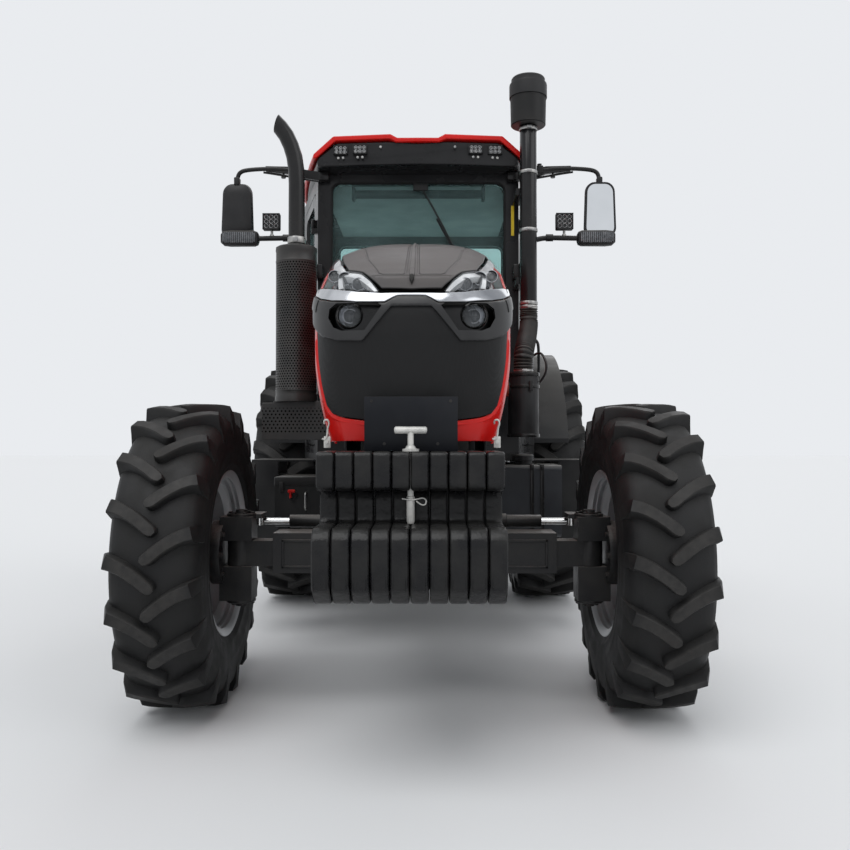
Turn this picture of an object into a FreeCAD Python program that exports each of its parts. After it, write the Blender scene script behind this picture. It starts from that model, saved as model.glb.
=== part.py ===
import FreeCAD, Part

import math
import os

import Sketcher
from FreeCAD import Placement, Rotation, Vector

# A four-wheel-drive farm tractor with a closed cab, front weights and a rear three-point hitch.
# Millimetres. It faces -Y and stands on Z = 0; +X is its own left-hand side. Sizes named ..._y
# count back from the front axle up to the hood, and from the rear axle for what sits behind
# and beside it. Sizes named ..._z count up from the ground.

os.makedirs("parts", exist_ok=True)
doc = FreeCAD.newDocument("farm_tractor")
size = doc.addObject("Spreadsheet::Sheet", "size")
nodes = []


def add_sizes(table):
    """Writes a table of named sizes below what the sheet already holds."""
    first = add_sizes.used + 1
    for row, (alias, number) in enumerate(table.items(), start=first):
        size.set(f"A{row}", alias.replace("_", " "))
        size.set(f"B{row}", str(number))
        size.setAlias(f"B{row}", alias)
    add_sizes.used += len(table)
    size.recompute()


add_sizes.used = 0


def value(expression):
    """The number that an expression on the sheet gives now."""
    return float(size.evalExpression(expression))


def bind(thing, **expressions):
    for name, expression in expressions.items():
        thing.setExpression(name, expression)
    return thing


def place(thing, x="0", y="0", z="0"):
    for axis, expression in (("x", x), ("y", y), ("z", z)):
        thing.setExpression(f"Placement.Base.{axis}", expression)
    return thing


AXLES = {"front": "(size.front_reach - size.wheelbase - size.rear_reach) / 2",
         "rear": "(size.front_reach + size.wheelbase - size.rear_reach) / 2"}


def finish(thing, node, axle, x="0", y="0", z="0"):
    """Names a finished sub-part and moves it from its axle's frame to the tractor's own."""
    thing.Label = node
    place(thing, x, f"{AXLES[axle]} + {y}", z)
    nodes.append(thing)
    return thing


def box(name, x, y, z, length, width, height):
    """A block from its low corner; length runs across, width runs back, height up."""
    block = bind(doc.addObject("Part::Box", name), Length=length, Width=width, Height=height)
    return place(block, x, y, z)


def block(name, half_width, front, back, low, high):
    """A block centred across the tractor, between two places back and two heights."""
    return box(name, f"-({half_width})", front, low, f"2 * ({half_width})",
               f"({back}) - ({front})", f"({high}) - ({low})")


TURNS = {"x": Rotation(Vector(0, 1, 0), 90), "y": Rotation(Vector(-1, 0, 0), 90), "z": Rotation()}


def rod(name, axis, radius, length, x="0", y="0", z="0"):
    """A cylinder that runs along +X, +Y or +Z from its start."""
    bar = bind(doc.addObject("Part::Cylinder", name), Radius=radius, Height=length)
    bar.Placement = Placement(Vector(), TURNS[axis])
    return place(bar, x, y, z)


def cut(name, base, *tools):
    result = doc.addObject("Part::Cut", name)
    result.Base = base
    result.Tool = tools[0] if len(tools) == 1 else join(f"{name}_tools", *tools)
    return result


def join(name, *pieces):
    result = doc.addObject("Part::MultiFuse", name)
    result.Shapes = list(pieces)
    return result


def common(name, first, second):
    result = doc.addObject("Part::Common", name)
    result.Base = first
    result.Tool = second
    return result


def mirror(name, source):
    """The same piece on the other side of the tractor."""
    result = doc.addObject("Part::Mirroring", name)
    result.Source = source
    result.Normal = Vector(1, 0, 0)
    return result


def group(name, *pieces):
    """Like pieces that don't touch, kept as one sub-part."""
    result = doc.addObject("Part::Compound", name)
    result.Links = list(pieces)
    return result


def draw(sketch, points):
    """A closed outline; each point is (across, up) or (across, up, corner radius)."""
    corners = [(Vector(value(p[0]), value(p[1]), 0), value(p[2]) if len(p) > 2 else 0.0)
               for p in points]
    count = len(corners)
    before, after = [], []
    for i, (here, radius) in enumerate(corners):
        back = (corners[i - 1][0] - here).normalize()
        ahead = (corners[(i + 1) % count][0] - here).normalize()
        reach = radius / math.tan(back.getAngle(ahead) / 2)
        before.append(here + back * reach)
        after.append(here + ahead * reach)
    lines = [sketch.addGeometry(Part.LineSegment(after[i], before[(i + 1) % count]), False)
             for i in range(count)]
    for i, (here, radius) in enumerate(corners):
        spot = (lines[i], 1)
        if radius:
            middle = ((before[i] + after[i]) / 2 - here).normalize()
            centre = here + middle * math.hypot(radius, (before[i] - here).Length)
            arrive, leave = (math.atan2(p.y - centre.y, p.x - centre.x) for p in (before[i], after[i]))
            outward = (leave - arrive) % (2 * math.pi) < math.pi
            if not outward:
                arrive, leave = leave, arrive
            circle = Part.Circle(centre, Vector(0, 0, 1), radius)
            arc = sketch.addGeometry(Part.ArcOfCircle(circle, arrive, leave), False)
            first, last = (1, 2) if outward else (2, 1)
            point = sketch.addGeometry(Part.Point(here), True)
            for rule in (Sketcher.Constraint("Tangent", lines[i - 1], 2, arc, first),
                         Sketcher.Constraint("Tangent", arc, last, lines[i], 1),
                         Sketcher.Constraint("PointOnObject", point, 1, lines[i - 1]),
                         Sketcher.Constraint("PointOnObject", point, 1, lines[i])):
                sketch.addConstraint(rule)
            rule = sketch.addConstraint(Sketcher.Constraint("Radius", arc, radius))
            sketch.setExpression(f"Constraints[{rule}]", points[i][2])
            spot = (point, 1)
        else:
            sketch.addConstraint(Sketcher.Constraint("Coincident", lines[i - 1], 2, lines[i], 1))
        for kind, number, expression in (("DistanceX", here.x, points[i][0]),
                                         ("DistanceY", here.y, points[i][1])):
            rule = sketch.addConstraint(Sketcher.Constraint(kind, -1, 1, *spot, number))
            sketch.setExpression(f"Constraints[{rule}]", expression)


def sketched(name, role, points):
    """A new body with one outline on one of its own origin planes."""
    body = doc.addObject("PartDesign::Body", name)
    sketch = body.newObject("Sketcher::SketchObject", f"{name}_outline")
    plane = next(f for f in body.Origin.OriginFeatures if f.Role == role)
    sketch.AttachmentSupport = [(plane, "")]
    sketch.MapMode = "FlatFace"
    draw(sketch, points)
    return body, sketch


def across(name, points, length, start):
    """A side outline of (back, up) points, padded across from x = start to the left."""
    body, sketch = sketched(name, "YZ_Plane", points)
    pad = body.newObject("PartDesign::Pad", f"{name}_pad")
    pad.Profile = sketch
    bind(pad, Length=length)
    return place(body, start)


def along(name, points, length, start):
    """A front outline of (across, up) points, padded back from y = start."""
    body, sketch = sketched(name, "XZ_Plane", points)
    pad = body.newObject("PartDesign::Pad", f"{name}_pad")
    pad.Profile = sketch
    pad.Reversed = True
    bind(pad, Length=length)
    return place(body, "0", start)


def upward(name, points, length, start):
    """A plan outline of (across, back) points, padded up from z = start."""
    body, sketch = sketched(name, "XY_Plane", points)
    pad = body.newObject("PartDesign::Pad", f"{name}_pad")
    pad.Profile = sketch
    bind(pad, Length=length)
    return place(body, "0", "0", start)


def turned(name, points):
    """A wheel-like piece: an outline of (across, radius) points turned about the X axis."""
    body, sketch = sketched(name, "XZ_Plane", points)
    turn = body.newObject("PartDesign::Revolution", f"{name}_turn")
    turn.Profile = sketch
    turn.ReferenceAxis = (sketch, ["H_Axis"])
    turn.Angle = 360
    return body


# Running gear: where the two axles are, how far the tractor reaches, and its wheels.
wheel_sizes = {
    "wheelbase": 2780,  # front axle to rear axle
    "front_reach": 1120,  # front axle to the front of the weights
    "rear_reach": 1150,  # rear axle to the ends of the hitch
    "seat_gap": 0.3,  # gap between pieces that are seated but not joined
    "front_tyre_radius": 683.5,  # front tyre to the lugs' tips
    "front_tyre_width": 378,  # front tyre section
    "front_rim_radius": 355,  # front bead seat
    "front_flange_radius": 381,  # front rim flange
    "front_rim_width": 330,  # front rim between flanges' outer faces
    "front_track": 2040,  # front tyres, centre to centre
    "rear_tyre_radius": 877.5,  # rear tyre to the lugs' tips
    "rear_tyre_width": 467,  # rear tyre section
    "rear_rim_radius": 482,  # rear bead seat
    "rear_flange_radius": 508,  # rear rim flange
    "rear_rim_width": 420,  # rear rim between flanges' outer faces
    "rear_track": 1870,  # rear tyres, centre to centre
    "front_bar_count": 19,  # tread bars on each side of a front tyre
    "front_bar_rise": 38,  # front tread bars above the carcass
    "front_bar_width": 50,  # front tread bars
    "rear_bar_count": 23,  # tread bars on each side of a rear tyre
    "rear_bar_rise": 48,  # rear tread bars above the carcass
    "rear_bar_width": 60,  # rear tread bars
    "bar_slant": 27,  # bars' slant from the axle's direction, degrees
    "bar_overlap": 12,  # bars reach past the middle of the tread
    "bar_sag": 4.3,  # bars' flat tops below the tyre's full radius
    "bar_top_inset": 32,  # bars' tops end inside the tyre's side
    "bar_foot_inset": 14,  # bars' feet end inside the tyre's side
    "bar_drop": 135,  # bars' feet below their tops
    "tread_inset": 34,  # tread's edge inside the tyre's side
    "ring_sides": 15,  # flat sides round a tyre's carcass
    "wall_drop": 56,  # top of the side wall below the tread
    "flange_wall": 10,  # rim flange thickness
    "rim_wall": 9,  # rim barrel thickness
    "disc_wall": 16,  # wheel disc thickness
    "front_disc_inset": 20,  # front disc, inwards from the tyre's centre
    "rear_disc_inset": 15,  # rear disc, inwards from the tyre's centre
    "front_hub_radius": 150,  # front planetary hub
    "front_hub_length": 60,  # front hub from its knuckle to the disc
    "front_hub_cap_radius": 105,  # front hub outside the disc
    "front_hub_cap_length": 70,  # front hub proud of the disc
    "rear_hub_radius": 165,  # rear axle flange
    "rear_hub_length": 60,  # rear flange from its housing to the disc
    "rear_hub_cap_radius": 95,  # rear hub outside the disc
    "rear_hub_cap_length": 60,  # rear hub proud of the disc
}
add_sizes(wheel_sizes)


def ring(name, radius, half_width):
    """A many-sided block round the wheel's axis."""
    block_round = doc.addObject("Part::Prism", name)
    bind(block_round, Polygon="size.ring_sides", Circumradius=radius,
         Height=f"2 * ({half_width})")
    block_round.Placement = Placement(Vector(), TURNS["x"])
    return place(block_round, f"-({half_width})")


def carcass(name, end):
    """A tyre without its bars: a wall block and a tread block, bored to sit on its rim."""
    half = f"size.{end}_tyre_width / 2"
    tread = f"size.{end}_tyre_radius - size.{end}_bar_rise"
    bore = f"(size.{end}_flange_radius + size.seat_gap) / cos(180 deg / size.ring_sides)"
    rounds = join(f"{name}_rounds", ring(f"{name}_wall", f"{tread} - size.wall_drop", half),
                  ring(f"{name}_tread", tread, f"{half} - size.tread_inset"))
    return cut(f"{name}_carcass", rounds, ring(f"{name}_bore", bore, half))


def tread_bars(name, end, side):
    """The slanted bars of one shoulder, each running from the middle down over the edge."""
    sign = {"left": "", "right": "-"}[side]
    half = f"size.{end}_tyre_width / 2"
    high = f"size.{end}_tyre_radius - size.bar_sag"
    reach = "cos(size.bar_slant * 1 deg)"
    points = [(f"-{sign}size.bar_overlap".replace("--", ""), f"{high} - 2 * size.{end}_bar_rise"),
              (f"-{sign}size.bar_overlap".replace("--", ""), high),
              (f"{sign}({half} - size.bar_top_inset) / {reach}", high),
              (f"{sign}({half} - size.bar_foot_inset) / {reach}", f"{high} - size.bar_drop")]
    body, sketch = sketched(name, "XZ_Plane", points)
    sketch.AttachmentOffset = Placement(Vector(), Rotation(Vector(0, 1, 0), 1))
    sketch.setExpression("AttachmentOffset.Rotation.Angle", f"{sign}size.bar_slant * 1 deg")
    sketch.setExpression("AttachmentOffset.Base.z",
                         f"size.{end}_tyre_width / 4 * tan(size.bar_slant * 1 deg)")
    bar = body.newObject("PartDesign::Pad", f"{name}_bar")
    bar.Profile = sketch
    bar.Midplane = True
    bind(bar, Length=f"size.{end}_bar_width")
    row = body.newObject("PartDesign::PolarPattern", f"{name}_row")
    row.Originals = [bar]
    row.Axis = (next(f for f in body.Origin.OriginFeatures if f.Role == "X_Axis"), [""])
    row.Angle = 360
    bind(row, Occurrences=f"size.{end}_bar_count")
    body.Tip = row
    body.Placement = Placement(Vector(), Rotation(Vector(1, 0, 0), 1))
    body.setExpression("Placement.Rotation.Angle", f"{sign}90 deg / size.{end}_bar_count")
    return body


def tyre(name, end):
    """A tyre in one solid, its bars fused to its carcass; the left row is half a step ahead."""
    return join(f"{name}_whole", carcass(name, end), tread_bars(f"{name}_bars_left", end, "left"),
                tread_bars(f"{name}_bars_right", end, "right"))


def rim_outline(end):
    """Barrel with its two flanges, its disc and the hub in one section; the outside is +X."""
    half = f"size.{end}_rim_width / 2"
    seat = f"size.{end}_rim_radius"
    flange = f"size.{end}_flange_radius"
    inner = f"{seat} - size.rim_wall"
    face = f"-size.{end}_disc_inset"
    hub = f"size.{end}_hub_radius"
    cap = f"size.{end}_hub_cap_radius"
    start = f"{face} - size.disc_wall - size.{end}_hub_length"
    return ((start, "0"), (f"{face} + size.{end}_hub_cap_length", "0"),
            (f"{face} + size.{end}_hub_cap_length", cap), (face, cap), (face, inner),
            (half, inner), (half, flange), (f"{half} - size.flange_wall", flange),
            (f"{half} - size.flange_wall", seat), (f"-({half} - size.flange_wall)", seat),
            (f"-({half} - size.flange_wall)", flange), (f"-({half})", flange),
            (f"-({half})", inner), (f"{face} - size.disc_wall", inner),
            (f"{face} - size.disc_wall", hub), (start, hub))


for end in AXLES:
    for piece, made in (("rim", turned(f"{end}_rim", rim_outline(end))),
                        ("tyre", tyre(f"{end}_tyre", end))):
        left = group(f"{end}_{piece}_left_side", made)
        right = mirror(f"{end}_{piece}_right_side", made)
        for thing, side, sign in ((left, "left", ""), (right, "right", "-")):
            finish(thing, f"{end}_{piece}_{side}", end, f"{sign}size.{end}_track / 2", "0",
                   f"size.{end}_tyre_radius")

# Front axle: a cast beam that carries a swivel housing on a kingpin at each end.
axle_sizes = {
    "beam_half_length": 640,  # beam's full section, from the centre
    "beam_half_depth": 90,  # beam, front to back
    "beam_low_z": 600,  # beam underside
    "beam_high_z": 780,  # beam top
    "kingpin_x": 800,  # kingpin from the centre
    "eye_radius": 62,  # beam's eye round the kingpin
    "eye_half_height": 58,  # eye above and below the axle line
    "arm_half_depth": 65,  # swivel housing's arms, front to back
    "arm_inner_x": 740,  # arms' inner ends
    "arm_low_z": 470,  # swivel housing, bottom
    "arm_high_z": 850,  # swivel housing, top
    "swivel_wall_x": 870,  # swivel housing's upright, inner face
    "swivel_face_radius": 145,  # round face that the hub turns against
    "swivel_face_length": 34,  # round face, length
    "cap_radius": 48,  # kingpin caps
    "cap_height": 14,  # kingpin caps
    "steer_arm_x": 740,  # steering arm's end, across
    "steer_arm_y": 120,  # steering arm's end, back
    "steer_arm_radius": 32,  # steering arm's round end
    "steer_arm_wall": 20,  # steering arm, thickness
    "cylinder_z": 815,  # steering cylinder's centre line
    "cylinder_radius": 36,  # steering cylinder
    "cylinder_half_length": 430,  # steering cylinder from the centre
    "saddle_half_width": 140,  # cylinder's bracket on the beam's back
    "saddle_low_z": 695,  # cylinder's bracket, bottom
    "boot_radius": 30,  # rod boots
    "boot_length": 165,  # rod boots at rest
    "steer_rod_radius": 16,  # steering rod
    "rod_bore_gap": 0.05,  # running clearance round a rod
    "rod_eye_radius": 28,  # rod's eyes
    "rod_eye_height": 36,  # rod's eyes
}
add_sizes(axle_sizes)
AXLE_Z = "size.front_tyre_radius"

beam = block("beam", "size.beam_half_length", "-size.beam_half_depth", "size.beam_half_depth",
             "size.beam_low_z", "size.beam_high_z")
neck = block("beam_neck", "size.kingpin_x", "-0.85 * size.eye_radius", "0.85 * size.eye_radius",
             f"{AXLE_Z} - size.eye_half_height", f"{AXLE_Z} + size.eye_half_height")
eyes = [rod(f"beam_eye_{side}", "z", "size.eye_radius", "2 * size.eye_half_height",
            f"{sign}size.kingpin_x", "0", f"{AXLE_Z} - size.eye_half_height")
        for side, sign in (("left", ""), ("right", "-"))]
finish(join("front_axle_beam", beam, neck, *eyes), "front_axle", "front")


def swivel_housing(name):
    """C-shaped housing round the beam's eye, with its hub face, caps and steering arm."""
    upright = block(f"{name}_upright", "size.swivel_face_radius / 2", "-size.arm_half_depth",
                    "size.arm_half_depth", "size.arm_low_z", "size.arm_high_z")
    place(upright, "size.swivel_wall_x", "-size.arm_half_depth", "size.arm_low_z")
    bind(upright, Length="size.swivel_face_length / 2")
    reach = "size.swivel_wall_x - size.arm_inner_x"
    low = box(f"{name}_low_arm", "size.arm_inner_x", "-size.arm_half_depth", "size.arm_low_z",
              reach, "2 * size.arm_half_depth",
              f"{AXLE_Z} - size.eye_half_height - size.seat_gap - size.arm_low_z")
    gap_top = f"({AXLE_Z} + size.eye_half_height + size.seat_gap)"
    high = box(f"{name}_high_arm", "size.arm_inner_x", "-size.arm_half_depth", gap_top,
               reach, "2 * size.arm_half_depth", f"size.arm_high_z - {gap_top}")
    face = rod(f"{name}_face", "x", "size.swivel_face_radius",
               "size.front_track / 2 - size.front_disc_inset - size.disc_wall"
               " - size.front_hub_length - size.seat_gap - size.swivel_wall_x",
               "size.swivel_wall_x", "0", AXLE_Z)
    caps = [rod(f"{name}_cap_{end}", "z", "size.cap_radius", "size.cap_height", "size.kingpin_x",
                "0", z) for end, z in (("high", "size.arm_high_z"),
                                       ("low", "size.arm_low_z - size.cap_height"))]
    arm = box(f"{name}_steer_arm", "size.steer_arm_x - size.steer_arm_radius", "0",
              "size.cylinder_z + size.rod_eye_height / 2 + 5", "2 * size.steer_arm_radius",
              "size.steer_arm_y", "size.steer_arm_wall")
    end = rod(f"{name}_steer_end", "z", "size.steer_arm_radius", "size.steer_arm_wall",
              "size.steer_arm_x", "size.steer_arm_y",
              "size.cylinder_z + size.rod_eye_height / 2 + 5")
    return join(name, upright, low, high, face, *caps, arm, end)


finish(swivel_housing("swivel_left"), "knuckle_left", "front")
finish(mirror("swivel_right", swivel_housing("swivel_right_source")), "knuckle_right", "front")

# Steering: a double-ended cylinder behind the beam's top, its two boots, and the through rod.
cylinder = rod("steer_barrel", "x", "size.cylinder_radius", "2 * size.cylinder_half_length",
               "-size.cylinder_half_length", "size.steer_arm_y", "size.cylinder_z")
boots = rod("steer_boots", "x", "size.boot_radius",
            "2 * (size.cylinder_half_length + size.boot_length)",
            "-(size.cylinder_half_length + size.boot_length)", "size.steer_arm_y",
            "size.cylinder_z")
bore = rod("steer_bore", "x", "size.steer_rod_radius + size.rod_bore_gap",
           "2 * size.kingpin_x", "-size.kingpin_x", "size.steer_arm_y", "size.cylinder_z")
saddle = block("steer_saddle", "size.saddle_half_width",
               "size.beam_half_depth + size.seat_gap",
               "size.steer_arm_y + size.cylinder_radius", "size.saddle_low_z", "size.cylinder_z")
finish(cut("steering_cylinder_body", join("steer_solid", cylinder, boots, saddle), bore),
       "steering_cylinder", "front")
through = rod("steer_rod_bar", "x", "size.steer_rod_radius", "2 * size.steer_arm_x",
              "-size.steer_arm_x", "size.steer_arm_y", "size.cylinder_z")
rod_eyes = [rod(f"steer_rod_eye_{side}", "z", "size.rod_eye_radius", "size.rod_eye_height",
                f"{sign}size.steer_arm_x", "size.steer_arm_y",
                "size.cylinder_z - size.rod_eye_height / 2")
            for side, sign in (("left", ""), ("right", "-"))]
finish(join("steer_rod_whole", through, *rod_eyes), "steering_rod", "front")

# Chassis: front frame, engine, transmission and rear axle, bolted up in line.
chassis_sizes = {
    "rail_inner_x": 262,  # frame rails, inner faces
    "rail_outer_x": 305,  # frame rails, outer faces
    "rail_low_z": 870,  # frame rails, underside
    "rail_high_z": 1060,  # frame rails, top
    "rail_front_y": -700,  # frame rails, front
    "rail_back_y": -1740,  # frame rails, back
    "bracket_front_y": -745,  # weight bracket, front face
    "bracket_half_width": 330,  # weight bracket
    "bracket_high_z": 1100,  # weight bracket, top
    "bracket_low_z": 860,  # weight bracket, bottom
    "bolster_half_width": 130,  # axle bolster
    "bolster_front_y": -85,  # axle bolster, front
    "bolster_back_y": 75,  # axle bolster, back
    "engine_half_width": 255,  # engine block
    "engine_front_y": 180,  # engine block, front
    "engine_back_y": -1780,  # engine block, back
    "engine_low_z": 800,  # engine block, underside
    "engine_high_z": 1560,  # engine block, top
    "sump_half_width": 170,  # oil sump
    "sump_low_z": 700,  # oil sump, underside
    "gearbox_half_width": 200,  # transmission
    "gearbox_low_z": 560,  # transmission, underside
    "gearbox_high_z": 1000,  # transmission, top
    "final_half_width": 235,  # rear axle centre housing
    "final_front_y": -330,  # rear axle centre housing, front
    "final_back_y": 270,  # rear axle centre housing, back
    "final_low_z": 600,  # rear axle centre housing, underside
    "final_high_z": 1100,  # rear axle centre housing, top
    "trumpet_inner_radius": 165,  # rear axle trumpet at the centre housing
    "trumpet_outer_radius": 110,  # rear axle trumpet at the wheel
    "trumpet_flange_radius": 150,  # rear axle trumpet's end flange
    "trumpet_flange_wall": 30,  # rear axle trumpet's end flange
    "drive_radius": 30,  # front axle's drive shaft
    "drive_z": 640,  # front axle's drive shaft
    "pto_radius": 17.5,  # power take-off shaft
    "pto_length": 90,  # power take-off shaft
    "pto_z": 700,  # power take-off shaft's height
}
add_sizes(chassis_sizes)
rails = []
for side, start in (("left", "size.rail_inner_x"), ("right", "-size.rail_outer_x")):
    rails.append(box(f"rail_{side}", start, "size.rail_front_y", "size.rail_low_z",
                     "size.rail_outer_x - size.rail_inner_x",
                     "size.wheelbase + size.rail_back_y - size.rail_front_y",
                     "size.rail_high_z - size.rail_low_z"))
bracket = block("weight_bracket", "size.bracket_half_width", "size.bracket_front_y",
                "size.rail_front_y + 20", "size.bracket_low_z", "size.bracket_high_z")
bolster_plate = block("bolster_plate", "size.rail_outer_x", "size.bolster_front_y - 150",
                      "size.bolster_back_y", "size.rail_low_z", "size.rail_low_z + 60")
bolster = block("bolster", "size.bolster_half_width", "size.bolster_front_y",
                "size.bolster_back_y", "size.beam_high_z + size.seat_gap", "size.rail_low_z + 10")
front_frame_pieces = [*rails, bracket, bolster_plate, bolster]

crankcase = block("crankcase", "size.engine_half_width", "size.engine_front_y",
                  "size.wheelbase + size.engine_back_y", "size.engine_low_z", "size.engine_high_z")
sump = block("sump", "size.sump_half_width", "size.engine_front_y + 60",
             "size.wheelbase + size.engine_back_y - 60", "size.sump_low_z", "size.engine_low_z + 10")
finish(join("engine_whole", crankcase, sump), "engine", "front")

gearbox = block("gearbox", "size.gearbox_half_width", "size.engine_back_y + size.seat_gap",
                "size.final_front_y - size.seat_gap", "size.gearbox_low_z", "size.gearbox_high_z")
bell = block("bell_housing", "size.engine_half_width", "size.engine_back_y + size.seat_gap",
             "size.engine_back_y + 260", "size.engine_low_z - 40", "size.gearbox_high_z + 60")
finish(join("transmission_whole", gearbox, bell), "transmission", "rear")

final = block("final_housing", "size.final_half_width", "size.final_front_y",
              "size.final_back_y", "size.final_low_z", "size.final_high_z")
shaft = rod("pto_shaft", "y", "size.pto_radius", "size.pto_length", "0", "size.final_back_y",
            "size.pto_z")
trumpets = []
for side, sign in (("left", 1), ("right", -1)):
    cone = bind(doc.addObject("Part::Cone", f"trumpet_{side}"), Radius1="size.trumpet_inner_radius",
                Radius2="size.trumpet_outer_radius",
                Height="size.rear_track / 2 - size.rear_disc_inset - size.disc_wall"
                       " - size.rear_hub_length - size.seat_gap - size.final_half_width + 5")
    cone.Placement = Placement(Vector(), Rotation(Vector(0, 1, 0), 90 * sign))
    place(cone, f"{sign} * (size.final_half_width - 5)", "0", "size.rear_tyre_radius")
    flange = rod(f"trumpet_flange_{side}", "x", "size.trumpet_flange_radius",
                 "size.trumpet_flange_wall")
    outer = ("size.rear_track / 2 - size.rear_disc_inset - size.disc_wall"
             " - size.rear_hub_length - size.seat_gap")
    start = f"{outer} - size.trumpet_flange_wall" if sign > 0 else f"-({outer})"
    place(flange, start, "0", "size.rear_tyre_radius")
    trumpets += [cone, flange]
rear_axle_pieces = [final, shaft, *trumpets]

drive = rod("drive_shaft_bar", "y", "size.drive_radius",
            "size.wheelbase + size.engine_back_y - size.beam_half_depth - size.seat_gap")
finish(drive, "front_drive_shaft", "front", "0", "size.beam_half_depth + size.seat_gap", "size.drive_z")

# Front weights: ten like castings hung side by side on the bracket, and the pin through them.
weight_sizes = {
    "weight_count": 10,  # front weights
    "weight_pitch": 66,  # front weights, centre to centre
    "weight_wall": 63,  # one front weight
    "weight_top_z": 1160,  # weights, top
    "weight_top_y": -1000,  # weights' upper bulge, front
    "weight_shoulder_z": 1025,  # weights' upper bulge, underside
    "weight_neck_y": -880,  # weights' neck, front
    "weight_neck_low_z": 905,  # weights' lower bulge, top
    "weight_low_z": 640,  # weights, bottom
    "weight_chamfer": 60,  # weights' bottom chamfer
    "weight_lip_y": -692,  # weights' hook over the bracket, back
    "pin_y": -935,  # drawpin
    "pin_radius": 13,  # drawpin
    "pin_hole_gap": 3,  # room round the drawpin
    "pin_high_z": 1235,  # drawpin's cross bar, centre
    "pin_bar_half_length": 50,  # drawpin's cross bar
    "pin_flange_radius": 26,  # drawpin's collar
    "plate_half_width": 168,  # blank front plate
    "plate_high_z": 1356,  # blank front plate, top
    "plate_y": -884,  # blank front plate, front face
    "plate_wall": 4,  # blank front plate
    "plate_foot": 60,  # blank front plate's foot
}
add_sizes(weight_sizes)
FRONT = "-size.front_reach"
weight_outline = (
    ("size.weight_lip_y", "size.weight_top_z", "8"),
    ("size.weight_top_y", "size.weight_top_z", "28"),
    ("size.weight_top_y", "size.weight_shoulder_z", "24"),
    ("size.weight_neck_y", "size.weight_shoulder_z - 20", "10"),
    ("size.weight_neck_y", "size.weight_neck_low_z", "10"),
    (FRONT, "size.weight_neck_low_z", "30"),
    (FRONT, "size.weight_low_z + size.weight_chamfer", "30"),
    (f"{FRONT} + size.weight_chamfer", "size.weight_low_z", "20"),
    ("size.bracket_front_y - size.seat_gap - 40", "size.weight_low_z", "20"),
    ("size.bracket_front_y - size.seat_gap", "size.weight_low_z + 40", "10"),
    ("size.bracket_front_y - size.seat_gap", "size.bracket_high_z + size.seat_gap"),
    ("size.weight_lip_y", "size.bracket_high_z + size.seat_gap"),
)
weights = across("weights", weight_outline, "size.weight_wall",
                 "-((size.weight_count - 1) * size.weight_pitch + size.weight_wall) / 2")
weights.AllowCompound = True
row = weights.newObject("PartDesign::LinearPattern", "weights_row")
row.Originals = [doc.weights_pad]
row.Direction = (doc.weights_outline, ["N_Axis"])
bind(row, Length="(size.weight_count - 1) * size.weight_pitch", Occurrences="size.weight_count")
weights.Tip = row
pin_hole = rod("pin_hole", "z", "size.pin_radius + size.pin_hole_gap", "size.weight_top_z", "0",
               "size.pin_y", "size.weight_neck_low_z + 1")
finish(cut("front_weights_cut", weights, pin_hole), "front_weights", "front")

pin = rod("pin_stem", "z", "size.pin_radius",
          "size.pin_high_z - size.weight_neck_low_z - size.seat_gap", "0", "size.pin_y",
          "size.weight_neck_low_z + size.seat_gap")
collar = rod("pin_collar", "z", "size.pin_flange_radius", "8", "0", "size.pin_y",
             "size.weight_top_z + size.seat_gap")
handle = rod("pin_handle", "x", "size.pin_radius * 0.8", "2 * size.pin_bar_half_length",
             "-size.pin_bar_half_length", "size.pin_y", "size.pin_high_z")
finish(join("tow_pin_whole", pin, collar, handle), "tow_pin", "front")

panel = block("plate_panel", "size.plate_half_width", "size.plate_y",
              "size.plate_y + size.plate_wall", "size.weight_top_z + size.seat_gap",
              "size.plate_high_z")
foot = block("plate_foot_strip", "size.plate_half_width / 2", "size.plate_y",
             "size.plate_y + size.plate_foot", "size.weight_top_z + size.seat_gap",
             "size.weight_top_z + size.seat_gap + size.plate_wall")
finish(join("front_plate_whole", panel, foot), "front_plate", "front")

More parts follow.
